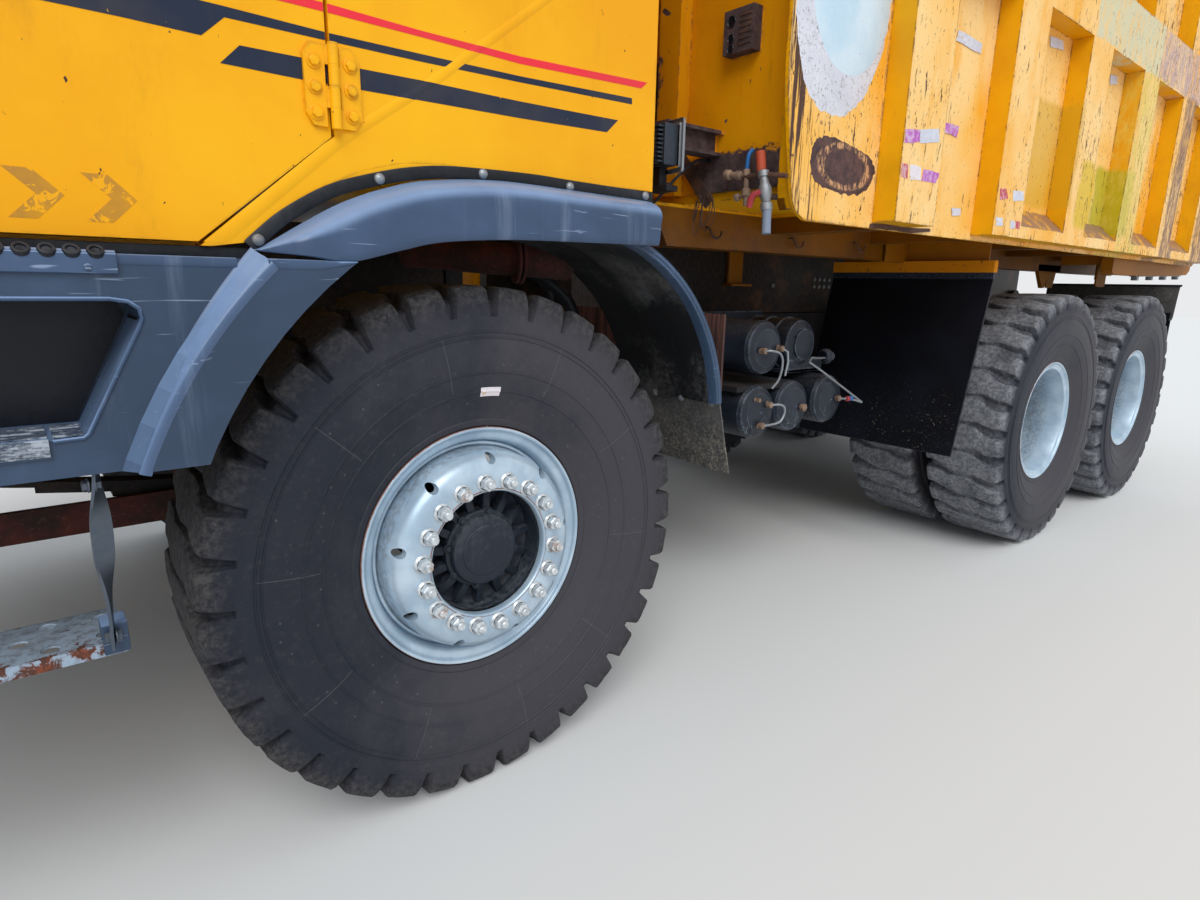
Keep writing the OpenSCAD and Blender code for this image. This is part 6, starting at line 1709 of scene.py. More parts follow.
def add_wall_fixtures(L):
    """What hangs on the front wall's lower corner: a strap with wires, air valves and the work lamp."""
    strap = Kit()
    rows = []
    for i in range(7):
        t = i / 6
        c = at(-1.12, 1.173 + 0.16 * t, 1.978 - 0.178 * t)
        e = Vector((0, 0.018, 0.016))
        n = Vector((0.004, 0, 0))
        rows.append(strap_section(c, e, n))
    skin(rows, strap)
    both_sides("wall_strap", strap, L["rust"], DUMP)
    wires = Kit()
    for dy, dz, dx in ((0.0, 0.0, 0.0), (0.02, 0.01, 0.012), (-0.028, 0.02, 0.02), (0.036, -0.01, 0.02),
                       (-0.012, -0.03, 0.028)):
        pts = [at(-1.115 + dx, 1.32 + dy, 1.832), at(-1.105 + dx, 1.35 + dy, 1.8 + dz),
               at(-1.1 + dx, 1.345 + dy * 1.4, 1.75 + dz), at(-1.105 + dx, 1.318 + dy, 1.712 + dz),
               at(-1.11 + dx, 1.298 + dy * 0.6, 1.748 + dz), at(-1.115 + dx, 1.308 + dy * 0.5, 1.815)]
        wires.tube(smooth_path(pts, 4), 0.0018, 6)
    both_sides("loose_wires", wires, L["rust"], DUMP)
    # Valves: short pipes standing on the wall's foot strip
    brass = Kit()
    brass.turned([(0.01, 0), (0.018, 0.004), (0.018, 0.022), (0.0115, 0.028), (0.0115, 0.05),
                  (0.0155, 0.054), (0.0155, 0.074), (0.01, 0.078), (0.01, 0.1)], at(-1.085, 1.434, 1.888),
                 (0, 1, -0.12), 14)
    brass.turned([(0.01, 0), (0.01, 0.03), (0.0165, 0.034), (0.0165, 0.056), (0.0105, 0.06),
                  (0.009, 0.098), (0.013, 0.102), (0.013, 0.122)], at(-1.085, 1.536, 1.775), (0, -0.04, 1),
                 12)
    brass.turned([(0.008, 0), (0.008, 0.024), (0.0135, 0.028), (0.0135, 0.042), (0, 0.045)],
                 at(-1.085, 1.53, 1.812), (0, -1, -0.15), 12)
    both_sides("air_valve_fittings", brass, L["brass"], DUMP)
    white = Kit()
    white.turned([(0.013, 0), (0.02, 0.004), (0.021, 0.026), (0.014, 0.032), (0.018, 0.044),
                  (0.0225, 0.06), (0.0225, 0.08), (0.016, 0.094), (0.0145, 0.112), (0.02, 0.116),
                  (0.02, 0.134), (0.012, 0.138)], at(-1.075, 1.638, 1.75), (0, -0.2, 1), 16)
    both_sides("valve_body", white, L["plain_steel"], DUMP)
    pipe = Kit()
    pipe.tube([at(-1.075, 1.612, 1.872), at(-1.082, 1.66, 1.866), at(-1.09, 1.7, 1.861)], 0.0085, 10)
    pipe.tube([at(-1.085, 1.52, 1.872), at(-1.08, 1.612, 1.872)], 0.009, 10)
    pipe.tube([at(-1.085, 1.442, 1.886), at(-1.125, 1.42, 1.888), at(-1.149, 1.415, 1.89)], 0.009, 10)
    pipe.tube([at(-1.075, 1.628, 1.8), at(-1.115, 1.628, 1.802), at(-1.149, 1.628, 1.804)], 0.01, 10)
    both_sides("valve_pipes", pipe, L["rust"], DUMP)
    red = Kit()
    red.tube([at(-1.052, 1.622, 1.812), at(-1.045, 1.602, 1.806), at(-1.045, 1.59, 1.79),
              at(-1.045, 1.584, 1.764)], [0.009, 0.011, 0.012, 0.01], 10)
    both_sides("valve_handle", red, L["red_paint"], DUMP)
    stub = Kit()
    stub.tube([at(-1.078, 1.602, 1.878), at(-1.079, 1.597, 1.91), at(-1.08, 1.59, 1.948)],
              [0.0155, 0.0165, 0.016], 16)
    both_sides("red_hose_stub", stub, L["red_hose"], DUMP)
    grey = Kit()
    grey.tube(bend(3, [(-1.074, 1.639, 1.762), (-1.07, 1.643, 1.72), (-1.066, 1.648, 1.676)]), 0.0155, 14)
    both_sides("hose_end", grey, L["grey_pvc"], DUMP)
    blue = Kit()
    blue.tube(bend(3, [(-1.085, 1.532, 1.888), (-1.083, 1.534, 1.915), (-1.084, 1.538, 1.945),
                       (-1.1, 1.54, 1.962)]), 0.007, 10)
    both_sides("blue_hose", blue, L["blue_hose"], DUMP)
    # The box on the wall keeps three open holes and a cable end; the dark discs inside the holes are painted
    # shade
    box = Kit()
    for z, r in ((2.392, 0.014), (2.338, 0.01), (2.305, 0.01)):
        box.turned([(r, -0.002), (r + 0.004, 0.003), (r + 0.006, 0.0)], at(-1.0995, 1.412, z), (1, 0, 0),
                   16, closed=False)
        box.turned([(r, 0.0008), (0, 0.0008)], at(-1.0995, 1.412, z), (1, 0, 0), 16, closed=False)
    both_sides("box_holes", box, L["shade_fill"], DUMP)
    ribs = Kit()
    for i in range(6):
        ribs.box(at(-1.1005, 1.45, 2.31 + i * 0.018), at(-1.0965, 1.5, 2.318 + i * 0.018), 0.0015)
    both_sides("box_ribs", ribs, L["rust"], DUMP)
    # The work lamp, on the stub beam's end
    case = Kit()
    y0, y1, z0, z1 = 1.286, 1.424, 1.892, 2.026
    x0, x1 = -0.8585, -0.8
    case.box(at(x0, y0, z0), at(x1, y1, z1), 0.01)
    for i in range(9):
        z = z0 + 0.009 + i * 0.0138
        case.box(at(x1 - 0.002, y0 + 0.008, z), at(x1 + 0.02, y1 - 0.008, z + 0.006), 0.0015)
    for y in (y0 + 0.034, y0 + 0.069, y0 + 0.104):
        case.box(at(x1 - 0.002, y - 0.003, z0 + 0.006), at(x1 + 0.016, y + 0.003, z1 - 0.006), 0.001)
    both_sides("work_lamp", turned_lamp(case), L["lamp_case"], DUMP)
    ring_points = [at(x0 + 0.001, y0 - 0.005, z0 - 0.005), at(x0 + 0.001, y1 + 0.005, z0 - 0.005),
                   at(x0 + 0.001, y1 + 0.005, z1 + 0.005), at(x0 + 0.001, y0 - 0.005, z1 + 0.005)]
    rim = Kit()
    rows = []
    for dx, grow in ((0.0, 0.0), (-0.01, 0.002), (-0.013, -0.002), (-0.013, -0.014), (-0.004, -0.014)):
        mid = at(x0, (y0 + y1) / 2, (z0 + z1) / 2)
        rows.append([Vector((p.x + dx, p.y + math.copysign(grow, p.y - mid.y),
                             p.z + math.copysign(grow, p.z - mid.z))) for p in rounded(ring_points, 0.012)])
    ruled(rim, rows, closed=True)
    both_sides("work_lamp_rim", turned_lamp(rim), L["plain_steel"], DUMP)
    lens = Kit().box(at(x0 - 0.009, y0 + 0.004, z0 + 0.004), at(x0 - 0.002, y1 - 0.004, z1 - 0.004), 0.002)
    both_sides("work_lamp_lens", turned_lamp(lens), L["lens"], DUMP)
    foot = Kit()
    foot.box(at(-0.848, 1.338, 1.83), at(-0.818, 1.372, 1.893), 0.003)
    foot.box(at(-0.86, 1.316, 1.812), at(-0.806, 1.42, 1.831), 0.003)
    foot.box(at(-0.875, 1.316, 1.812), at(-0.86, 1.35, 1.966), 0.003)
    foot.bolt(at(-0.832, 1.395, 1.831), (0, 0, 1), 0.009, 0.009, 1.5)
    both_sides("work_lamp_bracket", foot, L["trim"], DUMP)
    cable = Kit()
    route = bend(5, [(-0.822, 1.292, 1.915), (-0.815, 1.27, 1.905), (-0.812, 1.262, 1.865),
                     (-0.815, 1.28, 1.81), (-0.83, 1.3, 1.775), (-0.87, 1.3, 1.79), (-0.96, 1.3, 1.87),
                     (-1.06, 1.31, 1.945), (-1.149, 1.31, 1.952)])
    cable.tube(route, 0.0055, 8)
    both_sides("lamp_wire", cable, L["rubber"], DUMP)
    tie = Kit()
    tie.turned([(0.0085, -0.006), (0.0085, 0.006)], at(-0.83, 1.3, 1.775), (0.5, 0.5, -0.5), 10)
    tie.tube([at(-0.83, 1.306, 1.772), at(-0.827, 1.32, 1.752), at(-0.829, 1.33, 1.72)],
             [0.006, 0.004, 0.002], 6)
    both_sides("green_tie", tie, L["green_tie"], DUMP)


def add_tank_fittings(L):
    fit = Kit()
    steel = Kit()
    y = 1.322
    for x, z, big in ((-1.505, 1.232, 1), (-1.624, 1.237, 1), (-1.573, 0.992, 1), (-1.525, 0.904, 1),
                      (-1.825, 0.957, 1.25), (-2.109, 0.976, 1), (-1.49, 1.02, 0.6)):
        fit.turned([(0.016 * big, 0), (0.016 * big, 0.008), (0.012 * big, 0.01), (0.012 * big, 0.02)],
                   at(x, y - 0.008, z), (0, 1, 0), 12)
        fit.turned([(0.015 * big, 0.018), (0.015 * big, 0.034), (0.01 * big, 0.036), (0, 0.037)],
                   at(x, y - 0.008, z), (0, 1, 0), 6)
    both_sides("tank_fittings", fit, L["brass"], CAB)
    pipes = [[(-1.505, 1.345, 1.232), (-1.52, 1.365, 1.234), (-1.56, 1.378, 1.224), (-1.585, 1.378, 1.195),
              (-1.59, 1.374, 1.15), (-1.583, 1.366, 1.105), (-1.56, 1.352, 1.068)],
             [(-1.624, 1.345, 1.237), (-1.64, 1.362, 1.225), (-1.642, 1.366, 1.18), (-1.636, 1.36, 1.12)],
             [(-1.573, 1.345, 0.992), (-1.6, 1.37, 0.996), (-1.625, 1.378, 0.982), (-1.632, 1.374, 0.95),
              (-1.605, 1.368, 0.915), (-1.525, 1.345, 0.904)],
             [(-2.109, 1.345, 0.976), (-2.15, 1.36, 0.974), (-2.215, 1.366, 0.962),
              (-2.279, 1.368, 0.946)], [(-2.279, 1.368, 0.946), (-2.15, 1.345, 1.02),
                                        (-1.99, 1.316, 1.112), (-1.9, 1.3, 1.16)],
             [(-1.9, 1.3, 1.16), (-1.93, 1.29, 1.178), (-2.02, 1.27, 1.17), (-2.1, 1.25, 1.165)],]
    for route in pipes:
        pts = [at(*p) for p in route]
        steel.tube(smooth_path(pts, 4) if len(pts) > 4 else pts, 0.0052, 8)
    both_sides("tank_pipes", steel, L["plain_steel"], CAB)
    for name, look, x in (("red", L["red_paint"], -2.156), ("blue", L["blue_hose"], -2.182)):
        k = Kit().turned([(0.0105, -0.01), (0.0125, -0.006), (0.0125, 0.006), (0.0105, 0.01)],
                         at(x, 1.362, 0.973), (1, -0.06, 0.02), 12)
        both_sides("pipe_collar_" + name, k, look, CAB)
    # The dark filter housing and its shelf, behind the upper tank
    box = Kit()
    prof = [(0.0, 0.0), (0.085, 0.0), (0.112, 0.02), (0.12, 0.06), (0.12, 0.3), (0.112, 0.32),
            (0.085, 0.33), (0.06, 0.334), (0.0, 0.334)]
    box.turned(prof, at(-1.945, 0.89, 1.235), (0, 1, 0), 40)
    for y0 in (0.94, 1.03, 1.12):
        box.turned([(0.1205, 0), (0.126, 0.003), (0.126, 0.016), (0.1205, 0.019)], at(-1.945, y0, 1.235),
                   (0, 1, 0), 40, closed=False)
    box.turned([(0.075, 0), (0.075, 0.012), (0.06, 0.016), (0.0, 0.016)], at(-1.945, 1.2235, 1.235),
               (0, 1, 0), 24)
    box.box(at(-2.13, 0.78, 1.1), at(-1.86, 1.215, 1.1165), 0.003)
    box.box(at(-2.13, 1.205, 1.1), at(-1.86, 1.215, 1.16), 0.003)
    box.box(at(-2.1, 0.7, 1.085), at(-1.89, 0.8, 1.105), 0.003)
    box.turned([(0.03, 0), (0.038, 0.006), (0.038, 0.03), (0.022, 0.036), (0.022, 0.06), (0, 0.062)],
               at(-2.15, 1.205, 1.166), (-1, 0.2, 0), 18)
    both_sides("filter_housing", box, L["black"], CAB)
    chord = Kit()
    chord.box(at(-1.72, 0.76, 1.052), at(-1.4, 1.29, 1.078), 0.004)
    both_sides("tank_shelf", chord, L["chassis"], CAB)


def add_underbody(L):
    """Beams, tabs and posts under the body's tail, and the upper half of the rear flaps."""
    beam = Kit()
    flat_plate(beam, ((-4.76, 1.645), (-4.8, 1.625), (-5.4, 1.628), (-6.2, 1.645), (-6.66, 1.662),
                      (-6.74, 1.7), (-6.74, 1.752), (-6.2, 1.742), (-4.76, 1.742)), 1.575, 1.645)
    for x in (-4.86, -5.7, -6.55):
        beam.box(at(x - 0.01, 1.3, 1.69), at(x + 0.01, 1.58, 1.775), 0.003)
    both_sides("tail_side_beam", beam, L["ochre"], DUMP)
    tabs = Kit()
    for i in range(4):
        x = -5.42 - 0.358 * i
        low = 1.628 + max(0.0, -5.4 - x) * 0.0235
        tabs.box(at(x - 0.022, 1.59, low - 0.032), at(x + 0.022, 1.63, low + 0.004), 0.004)
    flat_plate(tabs, ((-5.36, 1.622), (-6.58, 1.65), (-6.58, 1.656), (-5.36, 1.628)), 1.59, 1.63)
    both_sides("tail_tabs", tabs, L["plain_steel"], DUMP)
    posts = Kit()
    flat_plate(posts, ((-5.3, 1.8), (-5.3, 1.556), (-5.338, 1.546), (-5.48, 1.546), (-5.505, 1.56),
                       (-5.49, 1.8)), 1.394, 1.406)
    posts.box(at(-5.4, 1.362, 1.6), at(-5.388, 1.406, 1.8), 0.002)
    flat_plate(posts, ((-4.867, 1.652), (-4.975, 1.53), (-5.016, 1.53), (-5.06, 1.652)), 1.135, 1.16)
    flat_plate(posts, ((-5.06, 1.652), (-5.1, 1.532), (-5.215, 1.532), (-5.25, 1.652)), 1.135, 1.147)
    posts.box(at(-5.28, 1.115, 1.648), at(-4.84, 1.165, 1.7), 0.003)
    both_sides("tail_posts", posts, L["ochre"], DUMP)
    apron = Kit()
    apron.box(at(-2.925, 0.8, 1.64), at(-2.915, 1.62, 1.775), 0.002)
    apron.box(at(-2.925, 1.18, 1.64), at(-2.68, 1.186, 1.775), 0.002)
    both_sides("mudguard_apron", apron, L["ochre"], DUMP)
    flap = Kit()
    rows = []
    for i in range(9):
        z = 1.575 - 0.26 * i / 8
        wave = 0.004 * sin(5 * i / 8)
        rows.append([at(-6.2015 + wave, 0.79, z), at(-6.2015 + wave + 0.003, 1.25, z),
                     at(-6.2015 + wave, 1.722 - 0.012 * i / 8, z),
                     at(-6.1955 + wave, 1.722 - 0.012 * i / 8, z), at(-6.1955 + wave + 0.003, 1.25, z),
                     at(-6.1955 + wave, 0.79, z)])
    skin(rows, flap)
    both_sides("rear_flap_top", flap, L["mud"], CAB)
    bar = Kit().box(at(-6.215, 0.78, 1.562), at(-6.185, 1.73, 1.578), 0.003)
    bar.box(at(-6.22, 0.6, 1.34), at(-6.18, 0.8, 1.356), 0.003)
    bar.box(at(-6.22, 0.78, 1.34), at(-6.18, 0.8, 1.578), 0.003)
    both_sides("rear_flap_hanger", bar, L["chassis"], CAB)


# What the photo doesn't show: front, lamps, mirrors, tail and right side, in the type's usual form

def ring(kit, centre, axis, r, thick, depth, n=40):
    """A round bezel."""
    return kit.turned([(r + thick, 0), (r + thick, depth * 0.6), (r + thick * 0.6, depth),
                       (r, depth * 0.85), (r - thick * 0.25, 0.0)], centre, axis, n, closed=False)


def add_front(L):
    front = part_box("lamps")[1].x - AX
    for name, y, r in (("low_beam", 1.4, 0.072), ("high_beam", 1.18, 0.066)):
        cup, glass, rim = Kit(), Kit(), Kit()
        c = at(front, y, 1.3)
        ring(rim, c, (1, 0, 0), 0.084, 0.01, 0.014)
        cup.turned([(0.082, 0.001), (r, 0.008), (r * 0.9, 0.0035), (r * 0.45, 0.0015), (0.02, 0.001),
                    (0.018, 0.006), (0.0, 0.0065)], c, (1, 0, 0), 48, closed=False)
        glass.turned([(0.0835, 0.0085), (0.078, 0.0135), (0.055, 0.0195), (0.028, 0.0225), (0.0, 0.0235),
                      (0.0, 0.0215), (0.028, 0.0205), (0.054, 0.0175), (0.076, 0.0115), (0.0815, 0.0075)],
                     c, (1, 0, 0), 48, closed=False)
        both_sides(name + "_rim", rim, L["plain_steel"], CAB)
        both_sides(name + "_cup", cup, L["bright"], CAB)
        both_sides(name + "_glass", glass, L["lens"], CAB)
    # Turn lamps on the bumper's slanted corners
    out = Vector((0.13, 0.1, 0)).normalized()
    along = Vector((-0.1, 0.13, 0)).normalized()
    mid = at(2.085, 1.585, 1.3)
    lens = Kit()
    up = Vector((0, 0, 1))
    for s, h, w, d in ((0, 0.1, 0.048, 0.003), (1, 0.07, 0.03, 0.006)):
        v = []
        for dz, dy, do in ((-h / 2, -w / 2, 0.0), (-h / 2, w / 2, 0.0), (h / 2, w / 2, 0.0),
                           (h / 2, -w / 2, 0.0), (-h / 2 + 0.006, -w / 2 + 0.006, 0.016),
                           (-h / 2 + 0.006, w / 2 - 0.006, 0.016), (h / 2 - 0.006, w / 2 - 0.006, 0.016),
                           (h / 2 - 0.006, -w / 2 + 0.006, 0.016)):
            v.append(mid + along * dy + up * dz + out * (do + s * d - 0.008))
        lens.add(v, [(0, 1, 2, 3), (7, 6, 5, 4), (0, 4, 5, 1), (1, 5, 6, 2), (2, 6, 7, 3), (3, 7, 4, 0)])
    both_sides("corner_turn_lamp", lens, L["amber_lens"], CAB)
    # The bumper's face: a rubbed top edge with a painted glint, its blank plate, the lower grid and bolts
    face = 2.15
    plate = Kit()
    plate.box(at(face, -0.26, 1.235), at(face + 0.004, 0.26, 1.375), 0.0015)
    plate.box(at(face + 0.0035, -0.252, 1.243), at(face + 0.0048, 0.252, 1.367), 0.0006)
    plate.make("blank_front_plate", L["white_plate"], "chassis")
    bolts = Kit()
    for y in (-0.235, 0.235):
        bolts.bolt(at(face + 0.004, y, 1.305), (1, 0, 0), 0.006, 0.006)
    for s in (1, -1):
        for y, z in ((0.98, 1.46), (0.98, 0.9), (1.5, 0.9), (0.86, 1.46), (0.3, 1.46), (1.3, 1.46)):
            bolts.bolt(at(face, s * y, z), (1, 0, 0), 0.011, 0.009)
    bolts.make("bumper_bolts", L["plain_steel"], "chassis")
    grid = Kit()
    for i in range(30):
        y = -0.725 + 0.05 * i
        if abs(y) < 0.17:
            continue
        grid.box(at(2.046, y - 0.004, 0.905), at(2.06, y + 0.004, 1.115), 0.001)
    for z in (0.945, 1.01, 1.075):
        for s in (1, -1):
            grid.box(at(2.04, min(s * 0.17, s * 0.752), z - 0.005),
                     at(2.052, max(s * 0.17, s * 0.752), z + 0.005), 0.001)
    grid.make("bumper_grid", L["trim"], "chassis")
    lip = Kit()
    rows = []
    for y in (-1.49, -0.7, 0.7, 1.49):
        rows.append([at(2.15 + a, y, 1.534 + b) for a, b in ((-0.05, 0.0), (-0.012, 0.0025), (0.0, -0.001),
                                                             (0.003, -0.01), (0.003, -0.024),
                                                             (0.0, -0.028), (-0.05, -0.002))])
    skin(rows, lip)
    lip.make("bumper_lip", L["slate_glint"], "chassis", 50)
    # Louvres between the grille's bars, dark as painted shade, and a worn bright strip on each bar
    fins = Kit()
    for i in range(33):
        y = -0.832 + 0.052 * i
        fins.box(at(2.0105, y - 0.003, 1.692), at(2.0175, y + 0.003, 2.188), 0.0008)
    fins.make("grille_fins", L["shade_fill"], "chassis")
    strips = Kit()
    for i in range(6):
        strips.box(at(2.0395, -0.846, 1.734 + i * 0.08), at(2.043, 0.846, 1.746 + i * 0.08), 0.001)
    strips.make("grille_strips", L["plain_steel"], "chassis")
    # Handles on the front panel, roof marker lamps, the sun visor
    grab = Kit()
    for s in (1, -1):
        grab.tube(bend(5, [(2.008, s * 1.22, 1.8), (2.055, s * 1.22, 1.83), (2.06, s * 1.22, 2.05),
                           (2.055, s * 1.22, 2.27), (2.008, s * 1.22, 2.3)]), 0.012, 12)
    grab.make("front_grab_rails", L["trim"], "chassis")
    marks = Kit()
    x = 1.77
    for y in (-1.2, -0.6, 0.0, 0.6, 1.2):
        marks.turned([(0.04, 0), (0.04, 0.01), (0.032, 0.028), (0.018, 0.034), (0, 0.035)],
                     at(x - 0.1, y, 3.4295), (0, 0, 1), 24)
    marks.make("roof_marker_lamps", L["amber_lens"], "chassis")
    visor = Kit()
    rows = []
    for y in (-1.3, -0.65, 0.0, 0.65, 1.3):
        rows.append([at(a, y, b) for a, b in ((1.8, 3.392), (1.84, 3.376), (1.93, 3.318), (1.955, 3.292),
                                              (1.948, 3.288), (1.922, 3.306), (1.832, 3.366),
                                              (1.798, 3.38))])
    skin(rows, visor)
    visor.make("sun_visor", L["trim"], "chassis", 50)


def add_mirrors(L):
    face, shell = Kit(), Kit()
    # The housing's rounded shell, and its face looking backwards
    y0, y1, z0, z1 = 1.77, 2.01, 2.42, 3.01
    rows = []
    for dx, inset in ((-0.0002, 0.0), (0.02, 0.001), (0.042, 0.006), (0.058, 0.02), (0.066, 0.045)):
        corners = [at(1.79 + dx, y0 + inset, z0 + inset), at(1.79 + dx, y1 - inset, z0 + inset),
                   at(1.79 + dx, y1 - inset, z1 - inset), at(1.79 + dx, y0 + inset, z1 - inset)]
        rows.append(rounded(corners, 0.035))
    skin(rows, shell)
    both_sides("mirror_shell", shell, L["trim"], CAB, 50)
    for a, b in ((2.445, 2.775), (2.79, 2.99)):
        ring_points = rounded([at(1.7885, y0 + 0.022, a), at(1.7885, y1 - 0.022, a),
                               at(1.7885, y1 - 0.022, b), at(1.7885, y0 + 0.022, b)], 0.022)
        n = len(ring_points)
        face.add(ring_points + [p + Vector((0.003, 0, 0)) for p in ring_points],
                 [tuple(range(n)), tuple(reversed(range(n, 2 * n)))] + [(i, (i + 1) % n, n + (i + 1) % n,
                n + i) for i in range(n)])
    both_sides("mirror_face", face, L["mirror"], CAB)
    arm = Kit()
    for z in (3.02, 2.385):
        pts = [at(1.81, 1.588, z), at(1.812, 1.68, z + (0.012 if z > 2.7 else -0.012)),
               at(1.815, 1.8, z - (0.002 if z > 2.7 else -0.006)),
               at(1.818, 1.89, z - (0.02 if z > 2.7 else -0.045))]
        arm.tube(smooth_path(pts, 5), 0.013, 12)
        arm.turned([(0.036, 0), (0.036, 0.006), (0.022, 0.01), (0, 0.01)], at(1.81, 1.588, z), (0, 1, 0), 20)
    both_sides("mirror_arms", arm, L["trim"], CAB)


def add_cabin(L):
    # The wheel's grip and boss, on the CAD wheel's own axis
    c = at(1.44, 0.74, 2.42)
    q = Matrix.Translation(c) @ Matrix.Rotation(radians(-60), 4, "Y")
    grip = Kit()
    n, m = 48, 10
    v = [q @ Vector(((0.212 + 0.0195 * cos(2 * pi * j / m)) * cos(2 * pi * i / n),
                     (0.212 + 0.0195 * cos(2 * pi * j / m)) * sin(2 * pi * i / n),
                     0.0195 * sin(2 * pi * j / m))) for i in range(n) for j in range(m)]
    f = [(i * m + j, ((i + 1) % n) * m + j, ((i + 1) % n) * m + (j + 1) % m, i * m + (j + 1) % m)
         for i in range(n) for j in range(m)]
    grip.add(v, f)
    boss = Kit().turned([(0.062, -0.012), (0.064, 0.01), (0.056, 0.024), (0.03, 0.03), (0, 0.031)],
                        (0, 0, 0), (0, 0, 1), 28)
    grip.add([q @ p for p in boss.v], boss.f)
    grip.make("steering_grip", L["rubber"], "chassis")
    # Instruments and switches on the dash
    dials = Kit()
    for y in (0.6, 0.74, 0.88):
        dials.turned([(0.052, 0), (0.052, 0.01), (0.046, 0.014), (0.044, 0.006), (0, 0.005)],
                     at(1.512, y, 2.352), (-0.5, 0, 0.866), 28)
    for i in range(6):
        dials.box(at(1.478, 0.1 + i * 0.055, 2.262), at(1.492, 0.14 + i * 0.055, 2.3), 0.003)
    dials.make("dash_dials", L["trim"], "chassis")


def add_tail(L):
    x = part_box("lamps")[0].x - AX
    red, amber, rim = Kit(), Kit(), Kit()
    z0, z1 = 1.11, 1.25
    for kit, y0, y1 in ((red, 0.262, 0.33), (amber, 0.334, 0.384), (red, 0.388, 0.42)):
        kit.box(at(x - 0.012, y0, z0 + 0.012), at(x + 0.002, y1, z1 - 0.012), 0.004)
    for z in (z0, z1 - 0.01):
        rim.box(at(x - 0.006, 0.25, z), at(x + 0.001, 0.43, z + 0.01), 0.002)
    both_sides("tail_lens_red", red, L["red_lens"], CAB)
    both_sides("tail_lens_amber", amber, L["amber_lens"], CAB)
    both_sides("tail_lamp_rim", rim, L["trim"], CAB)
    clips = Kit()
    for y in (0.84, 1.06, 1.28, 1.5, 1.66):
        clips.bolt(at(-6.2405, y, 1.33), (-1, 0, 0), 0.01, 0.008)
        clips.bolt(at(-6.1595, y, 1.33), (1, 0, 0), 0.01, 0.008)
    both_sides("tail_flap_bolts", clips, L["plain_steel"], CAB)
    shine = Kit().turned([(0.034, 0), (0.034, 0.005), (0.028, 0.009), (0, 0.01)], at(-6.205, 1.6, 1.24),
                         (-1, 0, 0), 24)
    both_sides("tail_reflector", shine, L["red_lens"], CAB)


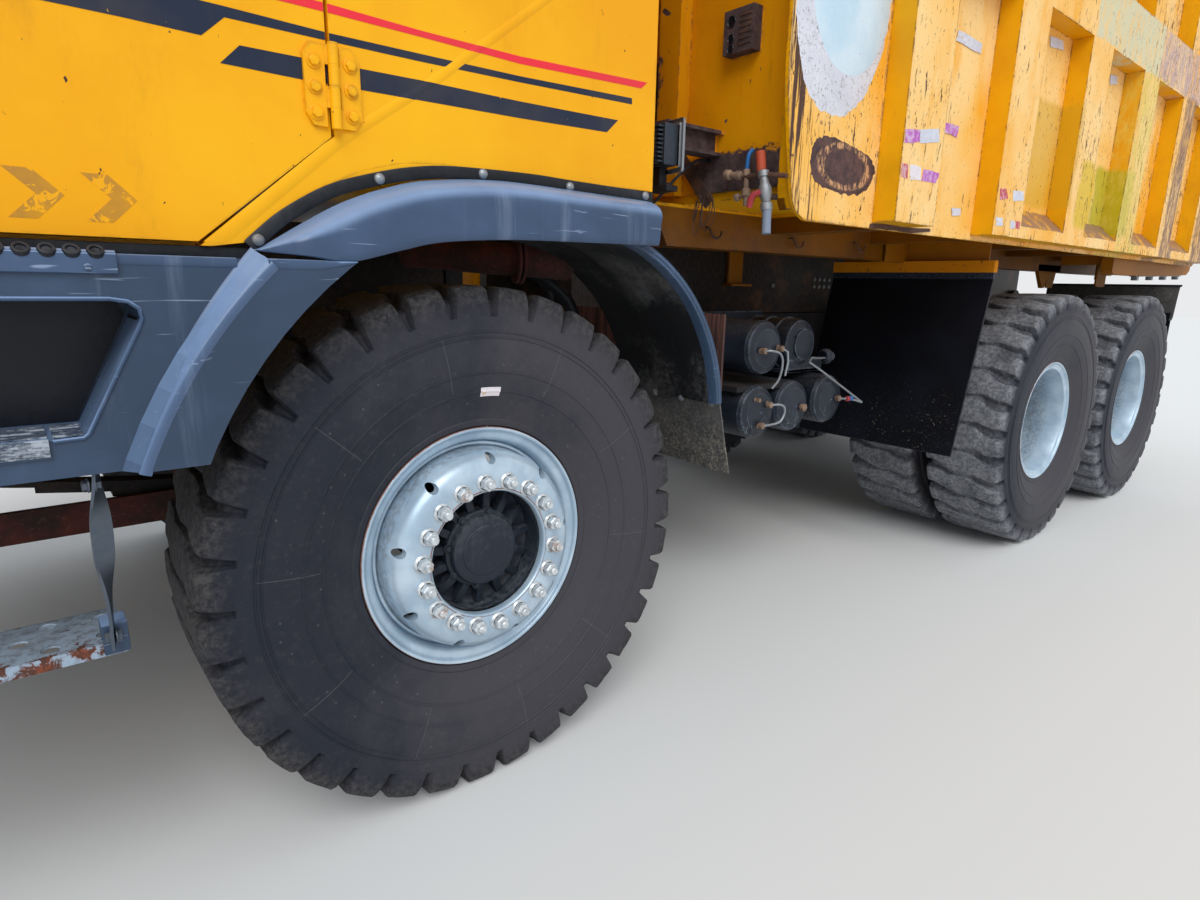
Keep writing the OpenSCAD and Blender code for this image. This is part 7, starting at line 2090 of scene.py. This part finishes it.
def add_right_side(L):
    """The silencer's straps and flap, and the side tanks' straps and caps."""
    steel, caps = Kit(), Kit()
    for x in (-1.42, -1.845, -2.27):
        path = [(-1.3235, 0.88), (-1.3235, 1.32), (-1.262, 1.3835), (-0.658, 1.3835), (-0.5965, 1.32),
                (-0.5965, 0.88), (-0.658, 0.8165), (-1.262, 0.8165)]
        inner = [(y * 0.997 - 0.002 if y < -1 else y - 0.0025, z) for y, z in path]
        rows = [[at(x + dx, y, z) for y, z in line] for dx, line in
                ((-0.024, path), (0.024, path), (0.024, inner), (-0.024, inner))]
        ruled(steel, rows, closed=True)
        steel.bolt(at(x, -1.3235, 1.1), (0, -1, 0), 0.012, 0.012)
    steel.make("tank_straps", L["plain_steel"], "chassis")
    caps.turned([(0.066, 0), (0.066, 0.02), (0.072, 0.022), (0.072, 0.048), (0.062, 0.054), (0, 0.055)],
                at(-1.62, -1.08, 1.3795), (0, 0, 1), 28)
    for i in range(3):
        a = 2 * pi * i / 3
        caps.box(at(-1.62 + 0.055 * cos(a) - 0.01, -1.08 + 0.055 * sin(a) - 0.01, 1.432),
                 at(-1.62 + 0.055 * cos(a) + 0.01, -1.08 + 0.055 * sin(a) + 0.01, 1.44), 0.002)
    caps.turned([(0.04, 0), (0.04, 0.026), (0.034, 0.032), (0, 0.033)], at(-2.2, -0.9, 1.3795), (0, 0, 1), 22)
    caps.make("tank_caps", L["trim"], "chassis")
    shield = Kit()
    cx, cy = -0.76, -0.82
    for z in (1.3, 1.45, 1.6, 1.75, 1.86):
        shield.turned([(0.1305, 0), (0.137, 0.003), (0.137, 0.027), (0.1305, 0.03)], at(cx, cy, z),
                      (0, 0, 1), 40, closed=False)
    for z in (1.95, 2.45, 2.95):
        shield.turned([(0.0655, 0), (0.072, 0.003), (0.072, 0.022), (0.0655, 0.025)], at(cx, cy, z),
                      (0, 0, 1), 32, closed=False)
    shield.make("silencer_bands", L["plain_steel"], "chassis")
    cover = Kit()
    rows = []
    for i in range(19):
        a = radians(-195 + 190 * i / 18)
        rows.append([at(cx + r * cos(a), cy + r * sin(a), z) for r, z in ((0.15, 1.315), (0.152, 1.315),
                (0.152, 1.835), (0.15, 1.835))])
    skin(rows, cover)
    cover.make("silencer_shield", L["scuffed"], "chassis", 50)


def add_hoist(L):
    """The bolted collar at the top of the hoist's barrel."""
    x, z, r = -0.76, 2.4, 0.125
    k = Kit().turned([(r + 0.0004, 0), (r + 0.012, 0.002), (r + 0.012, 0.036), (r + 0.0004, 0.0395)],
                     at(x, 0.0, z), (0, 0, 1), 48, closed=False)
    for i in range(8):
        a = 2 * pi * i / 8
        k.bolt(at(x + (r + 0.012) * cos(a), (r + 0.012) * sin(a), z + 0.019), (cos(a), sin(a), 0), 0.007,
               0.006)
    k.make("hoist_collar_barrel", L["chassis"], "hoist_barrel")


def main():
    L = make_looks()
    add_camera()
    add_stage()
    dress(L["cab"], "cab_shell", "door_left", "door_right")
    dress(L["slate"], "front_bumper", "step_panels")
    dress(L["black"], "air_tanks", "side_tanks")
    dress(L["chassis"], "frame_rails", "cross_members", "frame_brackets")
    dress(L["cast"], "engine_block", "front_axle_beam", "front_springs", "rear_axles", "bogie_springs",
          "propeller_shafts", "knuckle_left", "knuckle_right", "tie_rod")
    dress(L["flap"], "body_mudflaps", "rear_mudflaps")
    dress(L["body"], "body_floor", "body_beams", "body_side_left", "body_side_right")
    dress(L["wall"], "body_front_wall", "hoist_barrel")
    dress(L["bright"], "hoist_stage_1", "hoist_stage_2", "hoist_stage_3", "hoist_stage_4")
    dress(L["trim"], "front_grille", "mirrors")
    dress(L["glass"], "cab_glass", "door_glass_left", "door_glass_right")
    dress(L["seat"], "cab_seats")
    dress(L["dash"], "dashboard")
    dress(L["lens"], "lamps")
    dress(L["rust"], "exhaust_silencer", "hanging_steps")
    add_wheels(L)
    add_cab(L)
    add_fender(L)
    add_surround(L)
    add_body(L)
    add_underbody(L)
    add_front(L)
    add_mirrors(L)
    add_cabin(L)
    add_tail(L)
    add_right_side(L)
    add_hoist(L)


main()
bpy.context.scene.view_settings.view_transform = "Standard"
